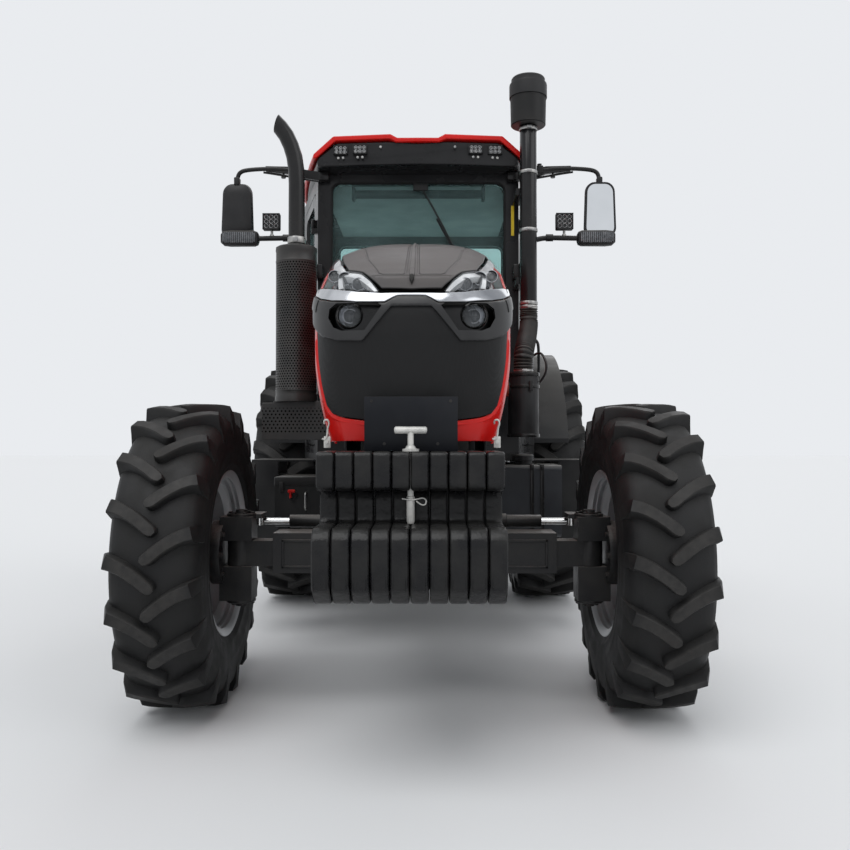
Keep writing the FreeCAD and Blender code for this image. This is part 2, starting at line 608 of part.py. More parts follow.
# Hood: one tilting shell, lofted through sections from the nose to the cab.
HOOD_SECTIONS = (
    # name, y, half width, underside, shoulder height, crown half width, crown height
    ("nose", -820, 250, 1225, 1600, 190, 1735),
    ("cheek", -765, 335, 1200, 1680, 240, 1785),
    ("brow", -640, 382, 1190, 1770, 290, 1860),
    ("bonnet", -250, 388, 1190, 1930, 310, 2035),
    ("crest", 200, 385, 1190, 2050, 315, 2155),
    ("scuttle", -1740, 380, 1190, 2105, 315, 2205),
)
HOOD_COLUMNS = ("y", "half", "low", "shoulder", "crown", "high")
for name, *numbers in HOOD_SECTIONS:
    add_sizes({f"{name}_{column}": number for column, number in zip(HOOD_COLUMNS, numbers)})
hood_sizes = {
    "hood_wall": 8,  # hood panels
    "shoulder_round": 40,  # hood's shoulders
    "crown_round": 60,  # hood's crown
    "hood_step_y": 150,  # where the hood's lower edge steps up
    "hood_step_z": 1570,  # hood's lower edge behind the step
    "face_back_y": -600,  # how far back the nose's dark pieces wrap
    "trim_low_z": 1712,  # bright trim strip, bottom
    "trim_high_z": 1742,  # bright trim strip, top
    "mask_side_z": 1545,  # lamp mask's lower edge at the sides
    "mask_middle_z": 1680,  # lamp mask's lower edge in the middle
    "mask_middle_half": 95,  # lamp mask's raised middle, half width
    "mask_side_x": 205,  # where the mask's lower edge is low
    "grille_half": 318,  # grille, half width
    "grille_low_z": 1290,  # grille, bottom
    "grille_round": 110,  # grille's lower corners
    "lamp_inner_x": 150,  # headlamps, inner ends
    "lamp_corner_x": 235,  # headlamps' top edge, inner end
    "lamp_high_z": 1855,  # headlamps' top edge at the sides
    "top_panel_half": 300,  # black top panel
    "hood_pivot_y": -1760,  # hood's hinge pin
    "hood_pivot_z": 2150,  # hood's hinge pin
    "hood_pin_radius": 12,  # hood's hinge pin
    "hood_lug_x": 150,  # hood's lugs
    "hood_lug_wall": 20,  # hood's lugs and posts
    "hood_lug_half": 20,  # hood's lugs round the pin
    "fog_x": 222,  # fog lamps from the centre
    "fog_z": 1625,  # fog lamps' height
    "fog_radius": 46,  # fog lamps
    "fog_front_y": -800,  # fog lamps, front
    "fog_length": 90,  # fog lamps, depth
}
add_sizes(hood_sizes)


def hood_form(name, inset, open_low):
    """The hood's outer form, or with an inset its inner one, which is open below and behind."""
    body = doc.addObject("PartDesign::Body", name)
    sketches = []
    for section, *_ in HOOD_SECTIONS:
        sketch = body.newObject("Sketcher::SketchObject", f"{name}_{section}")
        plane = next(f for f in body.Origin.OriginFeatures if f.Role == "XZ_Plane")
        sketch.AttachmentSupport = [(plane, "")]
        sketch.MapMode = "FlatFace"
        back = f"size.{section}_y"
        if section == HOOD_SECTIONS[0][0]:
            back = f"{back} + {inset}"
        elif section == HOOD_SECTIONS[-1][0]:
            back = f"size.wheelbase + {back} + {open_low}"
        sketch.setExpression("AttachmentOffset.Base.z", f"-({back})")
        wide = f"(size.{section}_half - {inset})"
        low = f"size.{section}_low - {open_low}"
        shoulder = f"size.{section}_shoulder - {inset} / 2"
        crown = f"(size.{section}_crown - {inset} / 2)"
        high = f"size.{section}_high - {inset}"
        draw(sketch, ((f"-{wide}", low), (wide, low), (wide, shoulder, "size.shoulder_round"),
                      (crown, high, "size.crown_round"), (f"-{crown}", high, "size.crown_round"),
                      (f"-{wide}", shoulder, "size.shoulder_round")))
        sketches.append(sketch)
    loft = body.newObject("PartDesign::AdditiveLoft", f"{name}_loft")
    loft.Profile = sketches[0]
    loft.Sections = sketches[1:]
    loft.Ruled = True
    return body


NOSE_START = "size.nose_y - 50"
NOSE_DEPTH = "size.face_back_y - (size.nose_y - 50)"
WIDE = "(size.brow_half + 20)"
step = block("hood_step", WIDE, "size.hood_step_y", "size.wheelbase + size.scuttle_y + 20",
             "size.brow_low - 20", "size.hood_step_z")
shell = cut("hood_skin", hood_form("hood_outer", "0", "0"),
            hood_form("hood_inner", "size.hood_wall", "20"), step)
trim_region = along("trim_region", ((f"-{WIDE}", "size.trim_low_z"), (WIDE, "size.trim_low_z"),
                                    (WIDE, "size.trim_high_z"), (f"-{WIDE}", "size.trim_high_z")),
                    NOSE_DEPTH, NOSE_START)
mask_region = along("mask_region", (
    (f"-{WIDE}", "size.mask_side_z"), ("-size.mask_side_x", "size.mask_side_z"),
    ("-size.mask_middle_half", "size.mask_middle_z"), ("size.mask_middle_half", "size.mask_middle_z"),
    ("size.mask_side_x", "size.mask_side_z"), (WIDE, "size.mask_side_z"),
    (WIDE, "size.trim_low_z"), (f"-{WIDE}", "size.trim_low_z")), NOSE_DEPTH, NOSE_START)
grille_region = along("grille_region", (
    ("-size.grille_half", "size.grille_low_z", "size.grille_round"),
    ("size.grille_half", "size.grille_low_z", "size.grille_round"),
    ("size.grille_half", "size.mask_side_z"), ("size.mask_side_x", "size.mask_side_z"),
    ("size.mask_middle_half", "size.mask_middle_z"),
    ("-size.mask_middle_half", "size.mask_middle_z"),
    ("-size.mask_side_x", "size.mask_side_z"), ("-size.grille_half", "size.mask_side_z")),
                      NOSE_DEPTH, NOSE_START)
lamp_region = along("lamp_region", (
    ("size.lamp_inner_x", "size.trim_high_z"), (WIDE, "size.trim_high_z"),
    (WIDE, "size.lamp_high_z"), ("size.lamp_corner_x", "size.lamp_high_z - 40")),
                    NOSE_DEPTH, NOSE_START)
lamp_regions = join("lamp_regions", lamp_region, mirror("lamp_region_right", lamp_region))
top_region = block("top_region", "size.top_panel_half", NOSE_START, "size.wheelbase + size.scuttle_y + 20",
                   "size.trim_high_z", "size.scuttle_high + 50")
fog_bores = join("fog_bores", *[
    rod(f"fog_bore_{side}", "y", "size.fog_radius + size.seat_gap", "size.fog_length + 40",
        f"{sign}size.fog_x", "size.fog_front_y - 20", "size.fog_z")
    for side, sign in (("left", ""), ("right", "-"))])
finish(common("trim_piece", shell, trim_region), "hood_trim", "front")
finish(cut("mask_piece", common("mask_skin", shell, mask_region), fog_bores), "lamp_mask", "front")
finish(common("grille_piece", shell, grille_region), "front_grille", "front")
body_skin = cut("body_skin", shell, trim_region, mask_region, grille_region, lamp_regions)
lugs = join("hood_lugs", *[
    box(f"hood_lug_{side}", f"{sign}size.hood_lug_x - size.hood_lug_wall / 2",
        "size.wheelbase + size.hood_pivot_y - size.hood_lug_half",
        "size.hood_pivot_z - size.hood_lug_half", "size.hood_lug_wall",
        "2 * size.hood_lug_half",
        "size.scuttle_high - size.hood_wall / 2 - size.hood_pivot_z + size.hood_lug_half - 4")
    for side, sign in (("left", ""), ("right", "-"))])
lug_bore = rod("hood_lug_bore", "x", "size.hood_pin_radius + size.rod_bore_gap",
               "3 * size.hood_lug_x", "-1.5 * size.hood_lug_x", "size.wheelbase + size.hood_pivot_y",
               "size.hood_pivot_z")
front_frame_pieces += [
    box(f"hood_post_{side}", start, "size.wheelbase + size.hood_pivot_y - 0.75 * size.hood_lug_half",
        "size.rail_high_z - 5", "size.hood_lug_wall", "1.5 * size.hood_lug_half",
        "size.hood_pivot_z + size.hood_lug_half - size.rail_high_z + 5")
    for side, start in (("left", "size.rail_inner_x"),
                        ("right", "-size.rail_inner_x - size.hood_lug_wall"))]
front_frame_pieces.append(rod("hood_pin", "x", "size.hood_pin_radius",
                              "2 * size.rail_inner_x + 10", "-size.rail_inner_x - 5",
                              "size.wheelbase + size.hood_pivot_y", "size.hood_pivot_z"))
finish(join("front_frame_whole", *front_frame_pieces), "front_frame", "front")
finish(join("top_whole", common("top_piece", body_skin, top_region),
            cut("hood_lugs_bored", lugs, lug_bore)), "hood_top", "front")
finish(cut("hood_piece", body_skin, top_region), "hood_shell", "front")
fog_lamps = [rod(f"fog_lamp_{side}", "y", "size.fog_radius", "size.fog_length",
                 f"{sign}size.fog_x", "size.fog_front_y", "size.fog_z")
             for side, sign in (("left", ""), ("right", "-"))]
finish(group("front_lamp_set", common("headlamps", shell, lamp_regions), *fog_lamps),
       "front_lamps", "front")


def corner_points(points, bend):
    """Splits a route at its inner points into straight ends and arc middles."""
    route = [points[0]]
    for before, here, after in zip(points, points[1:], points[2:]):
        back = (before - here).normalize()
        ahead = (after - here).normalize()
        half = back.getAngle(ahead) / 2
        reach = bend / math.tan(half)
        middle = (back + ahead).normalize() * (bend / math.sin(half) - bend)
        route.append((here + back * reach, here + middle, here + ahead * reach))
    return route + [points[-1]]


def tube(name, stops, radius, bend):
    """A round bar along straight runs joined by tangent arcs; stops are (x, y, z) expressions."""
    points = [Vector(*(value(axis) for axis in stop)) for stop in stops]
    route = corner_points(points, value(bend))
    edges = []
    last = route[0]
    for corner in route[1:-1]:
        edges.append(Part.LineSegment(last, corner[0]).toShape())
        edges.append(Part.Arc(*corner).toShape())
        last = corner[2]
    edges.append(Part.LineSegment(last, route[-1]).toShape())
    ring = Part.Wire(Part.Circle(points[0], points[1] - points[0], value(radius)).toShape())
    bar = doc.addObject("Part::Feature", name)
    bar.Shape = Part.Wire(edges).makePipeShell([ring], True, False)
    return bar


# Beside the hood: engine side covers, exhaust on the right, air intake on the left.
pipework_sizes = {
    "cover_inner_x": 330,  # engine side covers, inner face
    "cover_wall": 12,  # engine side covers
    "cover_low_z": 1065,  # engine side covers, bottom
    "cover_gap": 8,  # engine side covers below the hood's edge
    "cover_back_y": -1780,  # engine side covers, back
    "cover_bracket": 30,  # covers' brackets on the rails
    "muffler_x": -650,  # muffler from the centre
    "muffler_y": -2130,  # muffler's place back
    "muffler_radius": 107,  # muffler's heat shield
    "muffler_low_z": 1410,  # muffler, bottom
    "muffler_high_z": 2230,  # muffler, top
    "pipe_radius": 43.5,  # exhaust pipe
    "pipe_wall": 3,  # exhaust pipe
    "pipe_bend_z": 2770,  # exhaust pipe's bend starts
    "pipe_reach": 120,  # exhaust pipe's mouth, outwards
    "pipe_high_z": 2935,  # exhaust pipe's mouth
    "pipe_bend": 150,  # exhaust pipe's bend
    "guard_outer_x": -830,  # perforated plate, outer edge
    "guard_y": -2155,  # perforated plate, front
    "guard_wall": 6,  # perforated plate
    "guard_low_z": 1200,  # perforated plate, bottom
    "guard_high_z": 1400,  # perforated plate, top
    "shelf_depth": 140,  # muffler's shelf, front to back
    "shelf_inset": 60,  # muffler's shelf, in from the guard's outer edge
    "cleaner_x": 558,  # air cleaner from the centre
    "cleaner_y": -2260,  # air cleaner's place back
    "cleaner_radius": 80,  # air cleaner
    "cleaner_low_z": 1215,  # air cleaner, bottom
    "cleaner_high_z": 1550,  # air cleaner, top
    "intake_x": 630,  # intake pipe from the centre
    "intake_y": -1880,  # intake pipe's place back
    "intake_radius": 48,  # intake pipe
    "intake_low_z": 1960,  # intake pipe, bottom
    "intake_high_z": 2985,  # intake pipe, top
    "hose_radius": 52,  # ribbed intake hose
    "hose_bend": 95,  # ribbed intake hose's bends
    "cleaner_cap_radius": 107,  # pre-cleaner's cap
    "cleaner_cap_z": 3150,  # pre-cleaner's cap, underside
    "cleaner_top_z": 3262,  # pre-cleaner, top
    "cleaner_skirt_radius": 98,  # pre-cleaner's skirt
    "strap_low_z": 2090,  # intake pipe's lower bracket
    "strap_high_z": 2600,  # intake pipe's upper bracket
    "strap_height": 40,  # intake pipe's brackets
}
add_sizes(pipework_sizes)
cover_outline = (
    ("size.wheelbase + size.cover_back_y", "size.cover_low_z"),
    ("size.wheelbase + size.cover_back_y", "size.hood_step_z - size.cover_gap"),
    ("size.hood_step_y + size.cover_gap", "size.hood_step_z - size.cover_gap"),
    ("size.hood_step_y + size.cover_gap", "size.cover_low_z"),
)
covers = []
for side, sign in (("left", 1), ("right", -1)):
    start = "size.cover_inner_x" if sign > 0 else "-(size.cover_inner_x + size.cover_wall)"
    panel = across(f"cover_{side}", cover_outline, "size.cover_wall", start)
    inner = "size.rail_outer_x + size.seat_gap"
    tab_start = inner if sign > 0 else f"-size.cover_inner_x - 5"
    tabs = [box(f"cover_tab_{side}_{end}", tab_start, y, "size.rail_high_z - size.cover_bracket",
                f"size.cover_inner_x + 5 - ({inner})", "size.cover_bracket",
                "2 * size.cover_bracket")
            for end, y in (("front", "size.hood_step_y + 60"),
                           ("back", "size.wheelbase + size.cover_back_y - 90"))]
    rim = box(f"cover_rim_{side}", "size.cover_inner_x" if sign > 0 else
              "-(size.cover_inner_x + size.cover_wall)", "size.hood_step_y + size.cover_gap",
              "size.rail_high_z - size.cover_bracket", "size.cover_wall",
              "size.wheelbase + size.cover_back_y - size.hood_step_y - size.cover_gap", "size.cover_bracket")
    covers.append(join(f"cover_{side}_whole", panel, rim, *tabs))
finish(group("cover_pair", *covers), "engine_side_covers", "front")

can = rod("muffler_can", "z", "size.muffler_radius", "size.muffler_high_z - size.muffler_low_z",
          "size.muffler_x", "size.muffler_y", "size.muffler_low_z")
pipe_stops = (
    ("size.muffler_x", "size.muffler_y", "size.muffler_high_z - 5"),
    ("size.muffler_x", "size.muffler_y", "size.pipe_bend_z + 60"),
    ("size.muffler_x - size.pipe_reach", "size.muffler_y + 30", "size.pipe_high_z"),
)
finish(cut("exhaust_whole",
           join("exhaust_solid", can,
                tube("pipe_outer", pipe_stops, "size.pipe_radius", "size.pipe_bend")),
           tube("pipe_inner", pipe_stops, "size.pipe_radius - size.pipe_wall",
                "size.pipe_bend")), "exhaust", "rear")
guard_width = "-size.cover_inner_x - size.cover_wall - size.seat_gap - size.guard_outer_x"
guard = box("guard_plate", "size.guard_outer_x", "size.guard_y", "size.guard_low_z", guard_width,
            "size.guard_wall", "size.guard_high_z - size.guard_low_z")
shelf = box("guard_shelf", "size.guard_outer_x + size.shelf_inset", "size.guard_y",
            "size.guard_high_z", f"{guard_width} - size.shelf_inset", "size.shelf_depth",
            "size.muffler_low_z - size.seat_gap - size.guard_high_z")
finish(join("guard_whole", guard, shelf), "muffler_guard", "rear")

can = rod("cleaner_can", "z", "size.cleaner_radius", "size.cleaner_high_z - size.cleaner_low_z",
          "size.cleaner_x", "size.cleaner_y", "size.cleaner_low_z")
elbow = rod("cleaner_elbow", "x", "size.cleaner_radius / 2",
            "size.cleaner_x - size.cover_inner_x - size.cover_wall - size.seat_gap",
            "size.cover_inner_x + size.cover_wall + size.seat_gap", "size.cleaner_y",
            "size.cleaner_high_z - 80")
finish(join("cleaner_whole", can, elbow), "air_cleaner", "rear")
finish(tube("intake_hose_bar", (
    ("size.intake_x", "size.intake_y", "size.intake_low_z - size.seat_gap"),
    ("size.intake_x", "size.intake_y", "size.intake_low_z - 120"),
    ("size.cleaner_x", "size.cleaner_y", "size.cleaner_high_z + 110"),
    ("size.cleaner_x", "size.cleaner_y", "size.cleaner_high_z + size.seat_gap")),
    "size.hose_radius", "size.hose_bend"), "intake_hose", "rear")
stack = rod("intake_stack", "z", "size.intake_radius", "size.intake_high_z - size.intake_low_z",
            "size.intake_x", "size.intake_y", "size.intake_low_z")
straps = [box(f"intake_strap_{level}", "size.intake_x - 1.4 * size.intake_radius",
              "size.intake_y + size.intake_radius / 2", f"size.strap_{level}_z",
              "1.2 * size.intake_radius",
              "size.cab_front_y - size.seat_gap - size.intake_y - size.intake_radius / 2",
              "size.strap_height") for level in ("low", "high")]
finish(join("intake_whole", stack, *straps), "intake_pipe", "rear")
skirt = rod("cleaner_skirt", "z", "size.cleaner_skirt_radius",
            "size.cleaner_cap_z - size.intake_high_z - size.seat_gap", "0", "0",
            "size.intake_high_z + size.seat_gap")
cap = rod("cleaner_cap", "z", "size.cleaner_cap_radius",
          "size.cleaner_top_z - size.cleaner_cap_z", "0", "0", "size.cleaner_cap_z")
finish(join("pre_cleaner_whole", skirt, cap), "pre_cleaner", "rear", "size.intake_x", "size.intake_y")

# Boxes on the frame's flanks: battery and tool box on the right, fuel tank on the left.
tank_sizes = {
    "battery_outer_x": 820,  # battery box, outer face
    "battery_inner_x": 510,  # battery box, inner face
    "battery_front_y": -1820,  # battery box, front
    "battery_back_y": -1410,  # battery box, back
    "battery_low_z": 700,  # battery box, bottom
    "battery_high_z": 985,  # battery box, top
    "tank_outer_x": 826,  # fuel tank, outer face
    "tank_inner_x": 420,  # fuel tank, inner face
    "tank_front_y": -1820,  # fuel tank, front
    "tank_back_y": -1040,  # fuel tank, back
    "tank_low_z": 640,  # fuel tank, bottom
    "tank_high_z": 1055,  # fuel tank, top
    "box_round": 25,  # rounded corners of tank and battery box
    "hanger_depth": 60,  # hangers under cab and boxes, front to back
}
add_sizes(tank_sizes)
tank = across("tank_form", (
    ("size.tank_front_y", "size.tank_low_z", "2 * size.box_round"),
    ("size.tank_back_y", "size.tank_low_z", "2 * size.box_round"),
    ("size.tank_back_y", "size.tank_high_z", "size.box_round"),
    ("size.tank_front_y", "size.tank_high_z", "size.box_round")),
    "size.tank_outer_x - size.tank_inner_x", "size.tank_inner_x")
tank_arm = box("tank_arm", "size.gearbox_half_width + size.seat_gap",
               "size.tank_front_y + 350", "size.tank_low_z + 60",
               "size.tank_inner_x - size.gearbox_half_width", "2 * size.hanger_depth", "70")
finish(join("tank_whole", tank, tank_arm), "fuel_tank", "rear")
battery = across("battery_form", (
    ("size.battery_front_y", "size.battery_low_z", "size.box_round"),
    ("size.battery_back_y", "size.battery_low_z", "size.box_round"),
    ("size.battery_back_y", "size.battery_high_z", "size.box_round"),
    ("size.battery_front_y", "size.battery_high_z", "size.box_round")),
    "size.battery_outer_x - size.battery_inner_x", "-size.battery_outer_x")
battery_arm = box("battery_arm", "-size.battery_inner_x - 5", "size.engine_back_y + 280",
                  "size.battery_low_z + 60",
                  "size.battery_inner_x + 5 - size.gearbox_half_width - size.seat_gap",
                  "size.hanger_depth", "70")
finish(join("battery_whole", battery, battery_arm), "battery_box", "rear")

# Cab: floor with wheel boxes, one welded frame above it, doors hinged on the front posts.
cab_sizes = {
    "cab_front_y": -1630,  # cab, front face
    "cab_front_half": 600,  # cab, half width at the front
    "cab_middle_y": -880,  # cab, where it is widest
    "cab_middle_half": 790,  # cab, half width where it is widest
    "cab_back_y": 0,  # cab, rear face
    "cab_back_half": 740,  # cab, half width at the rear
    "cab_wall": 60,  # cab posts and door frames, inwards
    "floor_z": 1120,  # cab floor, top
    "floor_wall": 40,  # cab floor
    "cab_high_z": 2790,  # cab frame, top
    "wheel_box_gap": 31.5,  # from a rear tyre in to its wheel box
    "box_wall": 25,  # wheel box panels
    "box_front_y": -940,  # wheel boxes, front
    "box_high_z": 1905,  # wheel boxes, top
    "screen_half": 515,  # windscreen opening, half width
    "screen_low_z": 1760,  # windscreen opening, bottom
    "screen_high_z": 2735,  # windscreen opening, top
    "screen_round": 60,  # window corners
    "back_glass_half": 640,  # rear window opening, half width
    "back_glass_low_z": 1965,  # rear window opening, bottom
    "side_high_z": 2715,  # side openings, top
    "door_front_y": -1535,  # door opening, front
    "door_back_y": -952,  # door opening, back
    "door_low_z": 1165,  # door opening, bottom
    "door_gap": 6,  # gap round a door
    "door_rail": 62,  # door frame round its glass
    "quarter_front_y": -855,  # quarter window, front
    "quarter_back_y": -90,  # quarter window, back
    "glass_inset": 22,  # glass, in from the cab's outer face
    "glass_wall": 6,  # glass
    "hinge_out": 20,  # door hinge line, out from the door's face
    "hinge_y": -1548,  # door hinge line
    "hinge_radius": 11,  # door hinge barrels
    "hinge_height": 60,  # door hinge barrels
    "hinge_low_z": 1420,  # lower door hinge
    "hinge_high_z": 2480,  # upper door hinge
    "mount_half": 60,  # cab mounts
}
add_sizes(cab_sizes)
BOX_HALF = "(size.rear_track / 2 - size.rear_tyre_width / 2 - size.wheel_box_gap)"


def cab_plan(inset):
    """The cab's outline from above, drawn in by an inset."""
    points = []
    for name, shift in (("front", 1), ("middle", 0), ("back", -1)):
        points.append((f"size.cab_{name}_half - 1.03 * {inset}",
                       f"size.cab_{name}_y + {shift} * {inset}"))
    return tuple(points) + tuple((f"-({x})", y) for x, y in reversed(points))


def side_hole(name, front, back, low, high, start, inset="0"):
    """A window or door opening seen from the side, right through one side or both."""
    return across(name, ((f"{front} + {inset}", f"{low} + {inset}", "size.screen_round"),
                         (f"{back} - {inset}", f"{low} + {inset}", "size.screen_round"),
                         (f"{back} - {inset}", f"{high} - {inset}", "size.screen_round"),
                         (f"{front} + {inset}", f"{high} - {inset}", "size.screen_round")),
                  f"(size.cab_middle_half + 50) * {2 if start != '0' else 1}", start)


def end_hole(name, half, low, high, start, depth, inset="0"):
    return along(name, ((f"-({half} - {inset})", f"{low} + {inset}", "size.screen_round"),
                        (f"{half} - {inset}", f"{low} + {inset}", "size.screen_round"),
                        (f"{half} - {inset}", f"{high} - {inset}", "size.screen_round"),
                        (f"-({half} - {inset})", f"{high} - {inset}", "size.screen_round")),
                 depth, start)


BOTH = "-(size.cab_middle_half + 50)"
FRAME_LOW = "size.floor_z + size.seat_gap"
FRAME_HIGH = "size.cab_high_z - size.floor_z"
frame_skin = cut("frame_skin", upward("frame_outer", cab_plan("0"), FRAME_HIGH, FRAME_LOW),
                 upward("frame_inner", cab_plan("size.cab_wall"), f"{FRAME_HIGH} + 40",
                        "size.floor_z - 20"))
wheel_room = block("wheel_room", "size.cab_middle_half + 50", "size.box_front_y",
                   "size.cab_back_y + 50", "size.floor_z - 50", "size.box_high_z + size.seat_gap")
door_hole = ("size.door_front_y", "size.door_back_y", "size.door_low_z", "size.side_high_z")
quarter_hole = ("size.quarter_front_y", "size.quarter_back_y", "size.back_glass_low_z",
                "size.side_high_z")
screen_hole = ("size.screen_half", "size.screen_low_z", "size.screen_high_z")
back_hole = ("size.back_glass_half", "size.back_glass_low_z", "size.side_high_z")
open_frame = cut("open_frame", frame_skin, wheel_room,
                 side_hole("door_opening", *door_hole, BOTH),
                 side_hole("quarter_opening", *quarter_hole, BOTH),
                 end_hole("screen_opening", *screen_hole, "size.cab_front_y - 50", "150"),
                 end_hole("back_opening", *back_hole, "size.cab_back_y - 100", "150"))
CAB_SLOPE = ("(size.cab_middle_half - size.cab_front_half)"
             " / (size.cab_middle_y - size.cab_front_y)")
HINGE_FACE = f"size.cab_front_half + (size.hinge_y - size.cab_front_y) * {CAB_SLOPE}"
seats = []
for level in ("low", "high"):
    bottom = f"size.hinge_{level}_z - size.seat_gap - size.hinge_height / 2"
    seats.append(rod(f"hinge_seat_{level}", "z", "size.hinge_radius", "size.hinge_height / 2",
                     f"{HINGE_FACE} + size.hinge_out", "size.hinge_y", bottom))
    seats.append(box(f"hinge_plate_{level}", f"{HINGE_FACE} - size.hinge_out", "size.hinge_y - 30",
                     bottom, "2 * size.hinge_out", "30", "size.hinge_height / 2"))
hinge_seats = join("hinge_seats", *seats)
finish(join("frame_whole", open_frame, hinge_seats, mirror("hinge_seats_right", hinge_seats)),
       "cab_frame", "rear")

glass_skin = cut("glass_skin", upward("glass_outer", cab_plan("size.glass_inset"), FRAME_HIGH,
                                      FRAME_LOW),
                 upward("glass_inner", cab_plan("(size.glass_inset + size.glass_wall)"),
                        f"{FRAME_HIGH} + 40", "size.floor_z - 20"))
finish(group("fixed_panes",
             common("windshield", glass_skin,
                    end_hole("screen_pane", *screen_hole, "size.cab_front_y", "100",
                             "size.seat_gap")),
             common("rear_window", glass_skin,
                    end_hole("back_pane", *back_hole, "size.cab_back_y - 100", "100",
                             "size.seat_gap")),
             common("quarter_windows", glass_skin,
                    side_hole("quarter_pane", *quarter_hole, BOTH, "size.seat_gap"))),
       "cab_glass", "rear")


def door(name):
    """One door: its frame, cut from the same wall as the cab's, with two hinge barrels."""
    leaf = common(f"{name}_leaf", frame_skin, side_hole(f"{name}_edge", *door_hole, "0",
                                                        "size.door_gap"))
    rail = "(size.door_gap + size.door_rail)"
    hole = side_hole(f"{name}_hole", *door_hole, "0", rail)
    barrels = []
    for level in ("low", "high"):
        bottom = f"size.hinge_{level}_z"
        barrels.append(rod(f"{name}_barrel_{level}", "z", "size.hinge_radius",
                           "size.hinge_height", f"{HINGE_FACE} + size.hinge_out", "size.hinge_y",
                           bottom))
        barrels.append(box(f"{name}_strap_{level}", f"{HINGE_FACE} + 6",
                           "size.hinge_y", bottom, "size.hinge_out",
                           "size.door_front_y - size.hinge_y + 40", "size.hinge_height"))
    return join(f"{name}_whole", cut(f"{name}_frame", leaf, hole), *barrels)


def door_pane(name):
    rail = "(size.door_gap + size.door_rail)"
    return common(name, glass_skin, side_hole(f"{name}_edge", *door_hole, "0",
                                              f"({rail} + size.seat_gap)"))


finish(door("door_left"), "door_frame_left", "rear")
finish(mirror("door_right", door("door_right_source")), "door_frame_right", "rear")
finish(door_pane("door_pane_left"), "door_glass_left", "rear")
finish(mirror("door_pane_right", door_pane("door_pane_right_source")), "door_glass_right", "rear")

door_side = f"size.cab_front_half + (size.box_front_y - size.cab_front_y) * {CAB_SLOPE}"
floor = upward("floor_plate", (
    ("size.cab_front_half", "size.cab_front_y"), (door_side, "size.box_front_y"),
    (f"{BOX_HALF}", "size.box_front_y"), (f"{BOX_HALF}", "size.cab_back_y"),
    (f"-{BOX_HALF}", "size.cab_back_y"), (f"-{BOX_HALF}", "size.box_front_y"),
    (f"-({door_side})", "size.box_front_y"), ("-size.cab_front_half", "size.cab_front_y")),
    "size.floor_wall", "size.floor_z - size.floor_wall")
wheel_boxes = []
for side, sign in (("left", 1), ("right", -1)):
    inner = f"{BOX_HALF} - size.box_wall" if sign > 0 else f"-{BOX_HALF}"
    wheel_boxes.append(box(f"box_side_{side}", inner, "size.box_front_y + size.seat_gap",
                           "size.floor_z - 5", "size.box_wall",
                           "size.cab_back_y - size.box_front_y - size.seat_gap",
                           "size.box_high_z - size.floor_z + 5"))
    reach = f"({door_side}) - {BOX_HALF} + size.box_wall"
    riser = f"{BOX_HALF} - size.box_wall" if sign > 0 else f"-({door_side})"
    wheel_boxes.append(box(f"box_front_{side}", riser, "size.box_front_y + size.seat_gap",
                           "size.floor_z - 5", reach, "size.box_wall / 2",
                           "size.box_high_z - size.floor_z + 5"))
    ledge = [(f"{BOX_HALF} - size.box_wall", "size.box_front_y + size.seat_gap"),
             (door_side, "size.box_front_y + size.seat_gap"),
             ("size.cab_middle_half", "size.cab_middle_y"),
             ("size.cab_back_half", "size.cab_back_y"),
             (f"{BOX_HALF} - size.box_wall", "size.cab_back_y")]
    if sign < 0:
        ledge = [(f"-({x})", y) for x, y in reversed(ledge)]
    wheel_boxes.append(upward(f"box_ledge_{side}", ledge, "size.box_wall / 2",
                              "size.box_high_z - size.box_wall / 2"))
back_panel = block("back_panel", f"{BOX_HALF}", "size.cab_back_y - size.box_wall",
                   "size.cab_back_y", "size.floor_z - 5", "size.box_high_z")
mounts = [box(f"cab_mount_{number}", f"{x} - size.mount_half", f"{y} - size.mount_half",
              f"{top} + size.seat_gap", "2 * size.mount_half", "2 * size.mount_half",
              f"size.floor_z - size.floor_wall + 5 - ({top}) - size.seat_gap")
          for number, (x, y, top) in enumerate((
              ("-size.gearbox_half_width / 2", "size.cab_front_y + 250", "size.gearbox_high_z"),
              ("size.gearbox_half_width / 2", "size.cab_front_y + 250", "size.gearbox_high_z"),
              ("-size.gearbox_half_width / 2", "size.final_front_y - 200", "size.gearbox_high_z"),
              ("size.gearbox_half_width / 2", "size.final_front_y - 200", "size.gearbox_high_z")))]
room_at_final = block("room_at_final", "size.final_half_width + 20", "size.final_front_y - 20",
                      "size.cab_back_y + 20", "size.floor_z - 60",
                      "size.final_high_z + size.seat_gap")
finish(cut("base_whole", join("base_solid", floor, *wheel_boxes, back_panel, *mounts),
           room_at_final), "cab_floor", "rear")

# Roof: a dark surround with a visor and lamps, and the red cap on it.
roof_sizes = {
    "visor_y": -1830,  # visor's front edge
    "visor_half": 618,  # roof, half width at the visor
    "roof_middle_half": 805,  # roof, half width where it is widest
    "roof_back_y": 70,  # roof, rear edge
    "roof_back_half": 765,  # roof, half width at the rear
    "surround_high_z": 2922,  # roof surround, top
    "roof_top_z": 2968,  # red cap, top
    "roof_taper": 35,  # red cap's edge, degrees inwards
    "roof_lamp_half": 42,  # roof lamps, half width
    "roof_lamp_height": 50,  # roof lamps
    "roof_lamp_depth": 24,  # roof lamps, proud of the surround
    "roof_lamp_low_z": 2858,  # roof lamps, bottom
    "roof_lamp_outer_x": 448,  # outer roof lamps
    "roof_lamp_inner_x": 335,  # inner roof lamps
}
add_sizes(roof_sizes)


def roof_plan():
    points = [("size.visor_half", "size.visor_y"), ("size.roof_middle_half", "size.cab_middle_y"),
              ("size.roof_back_half", "size.roof_back_y")]
    return tuple(points) + tuple((f"-{x}", y) for x, y in reversed(points))


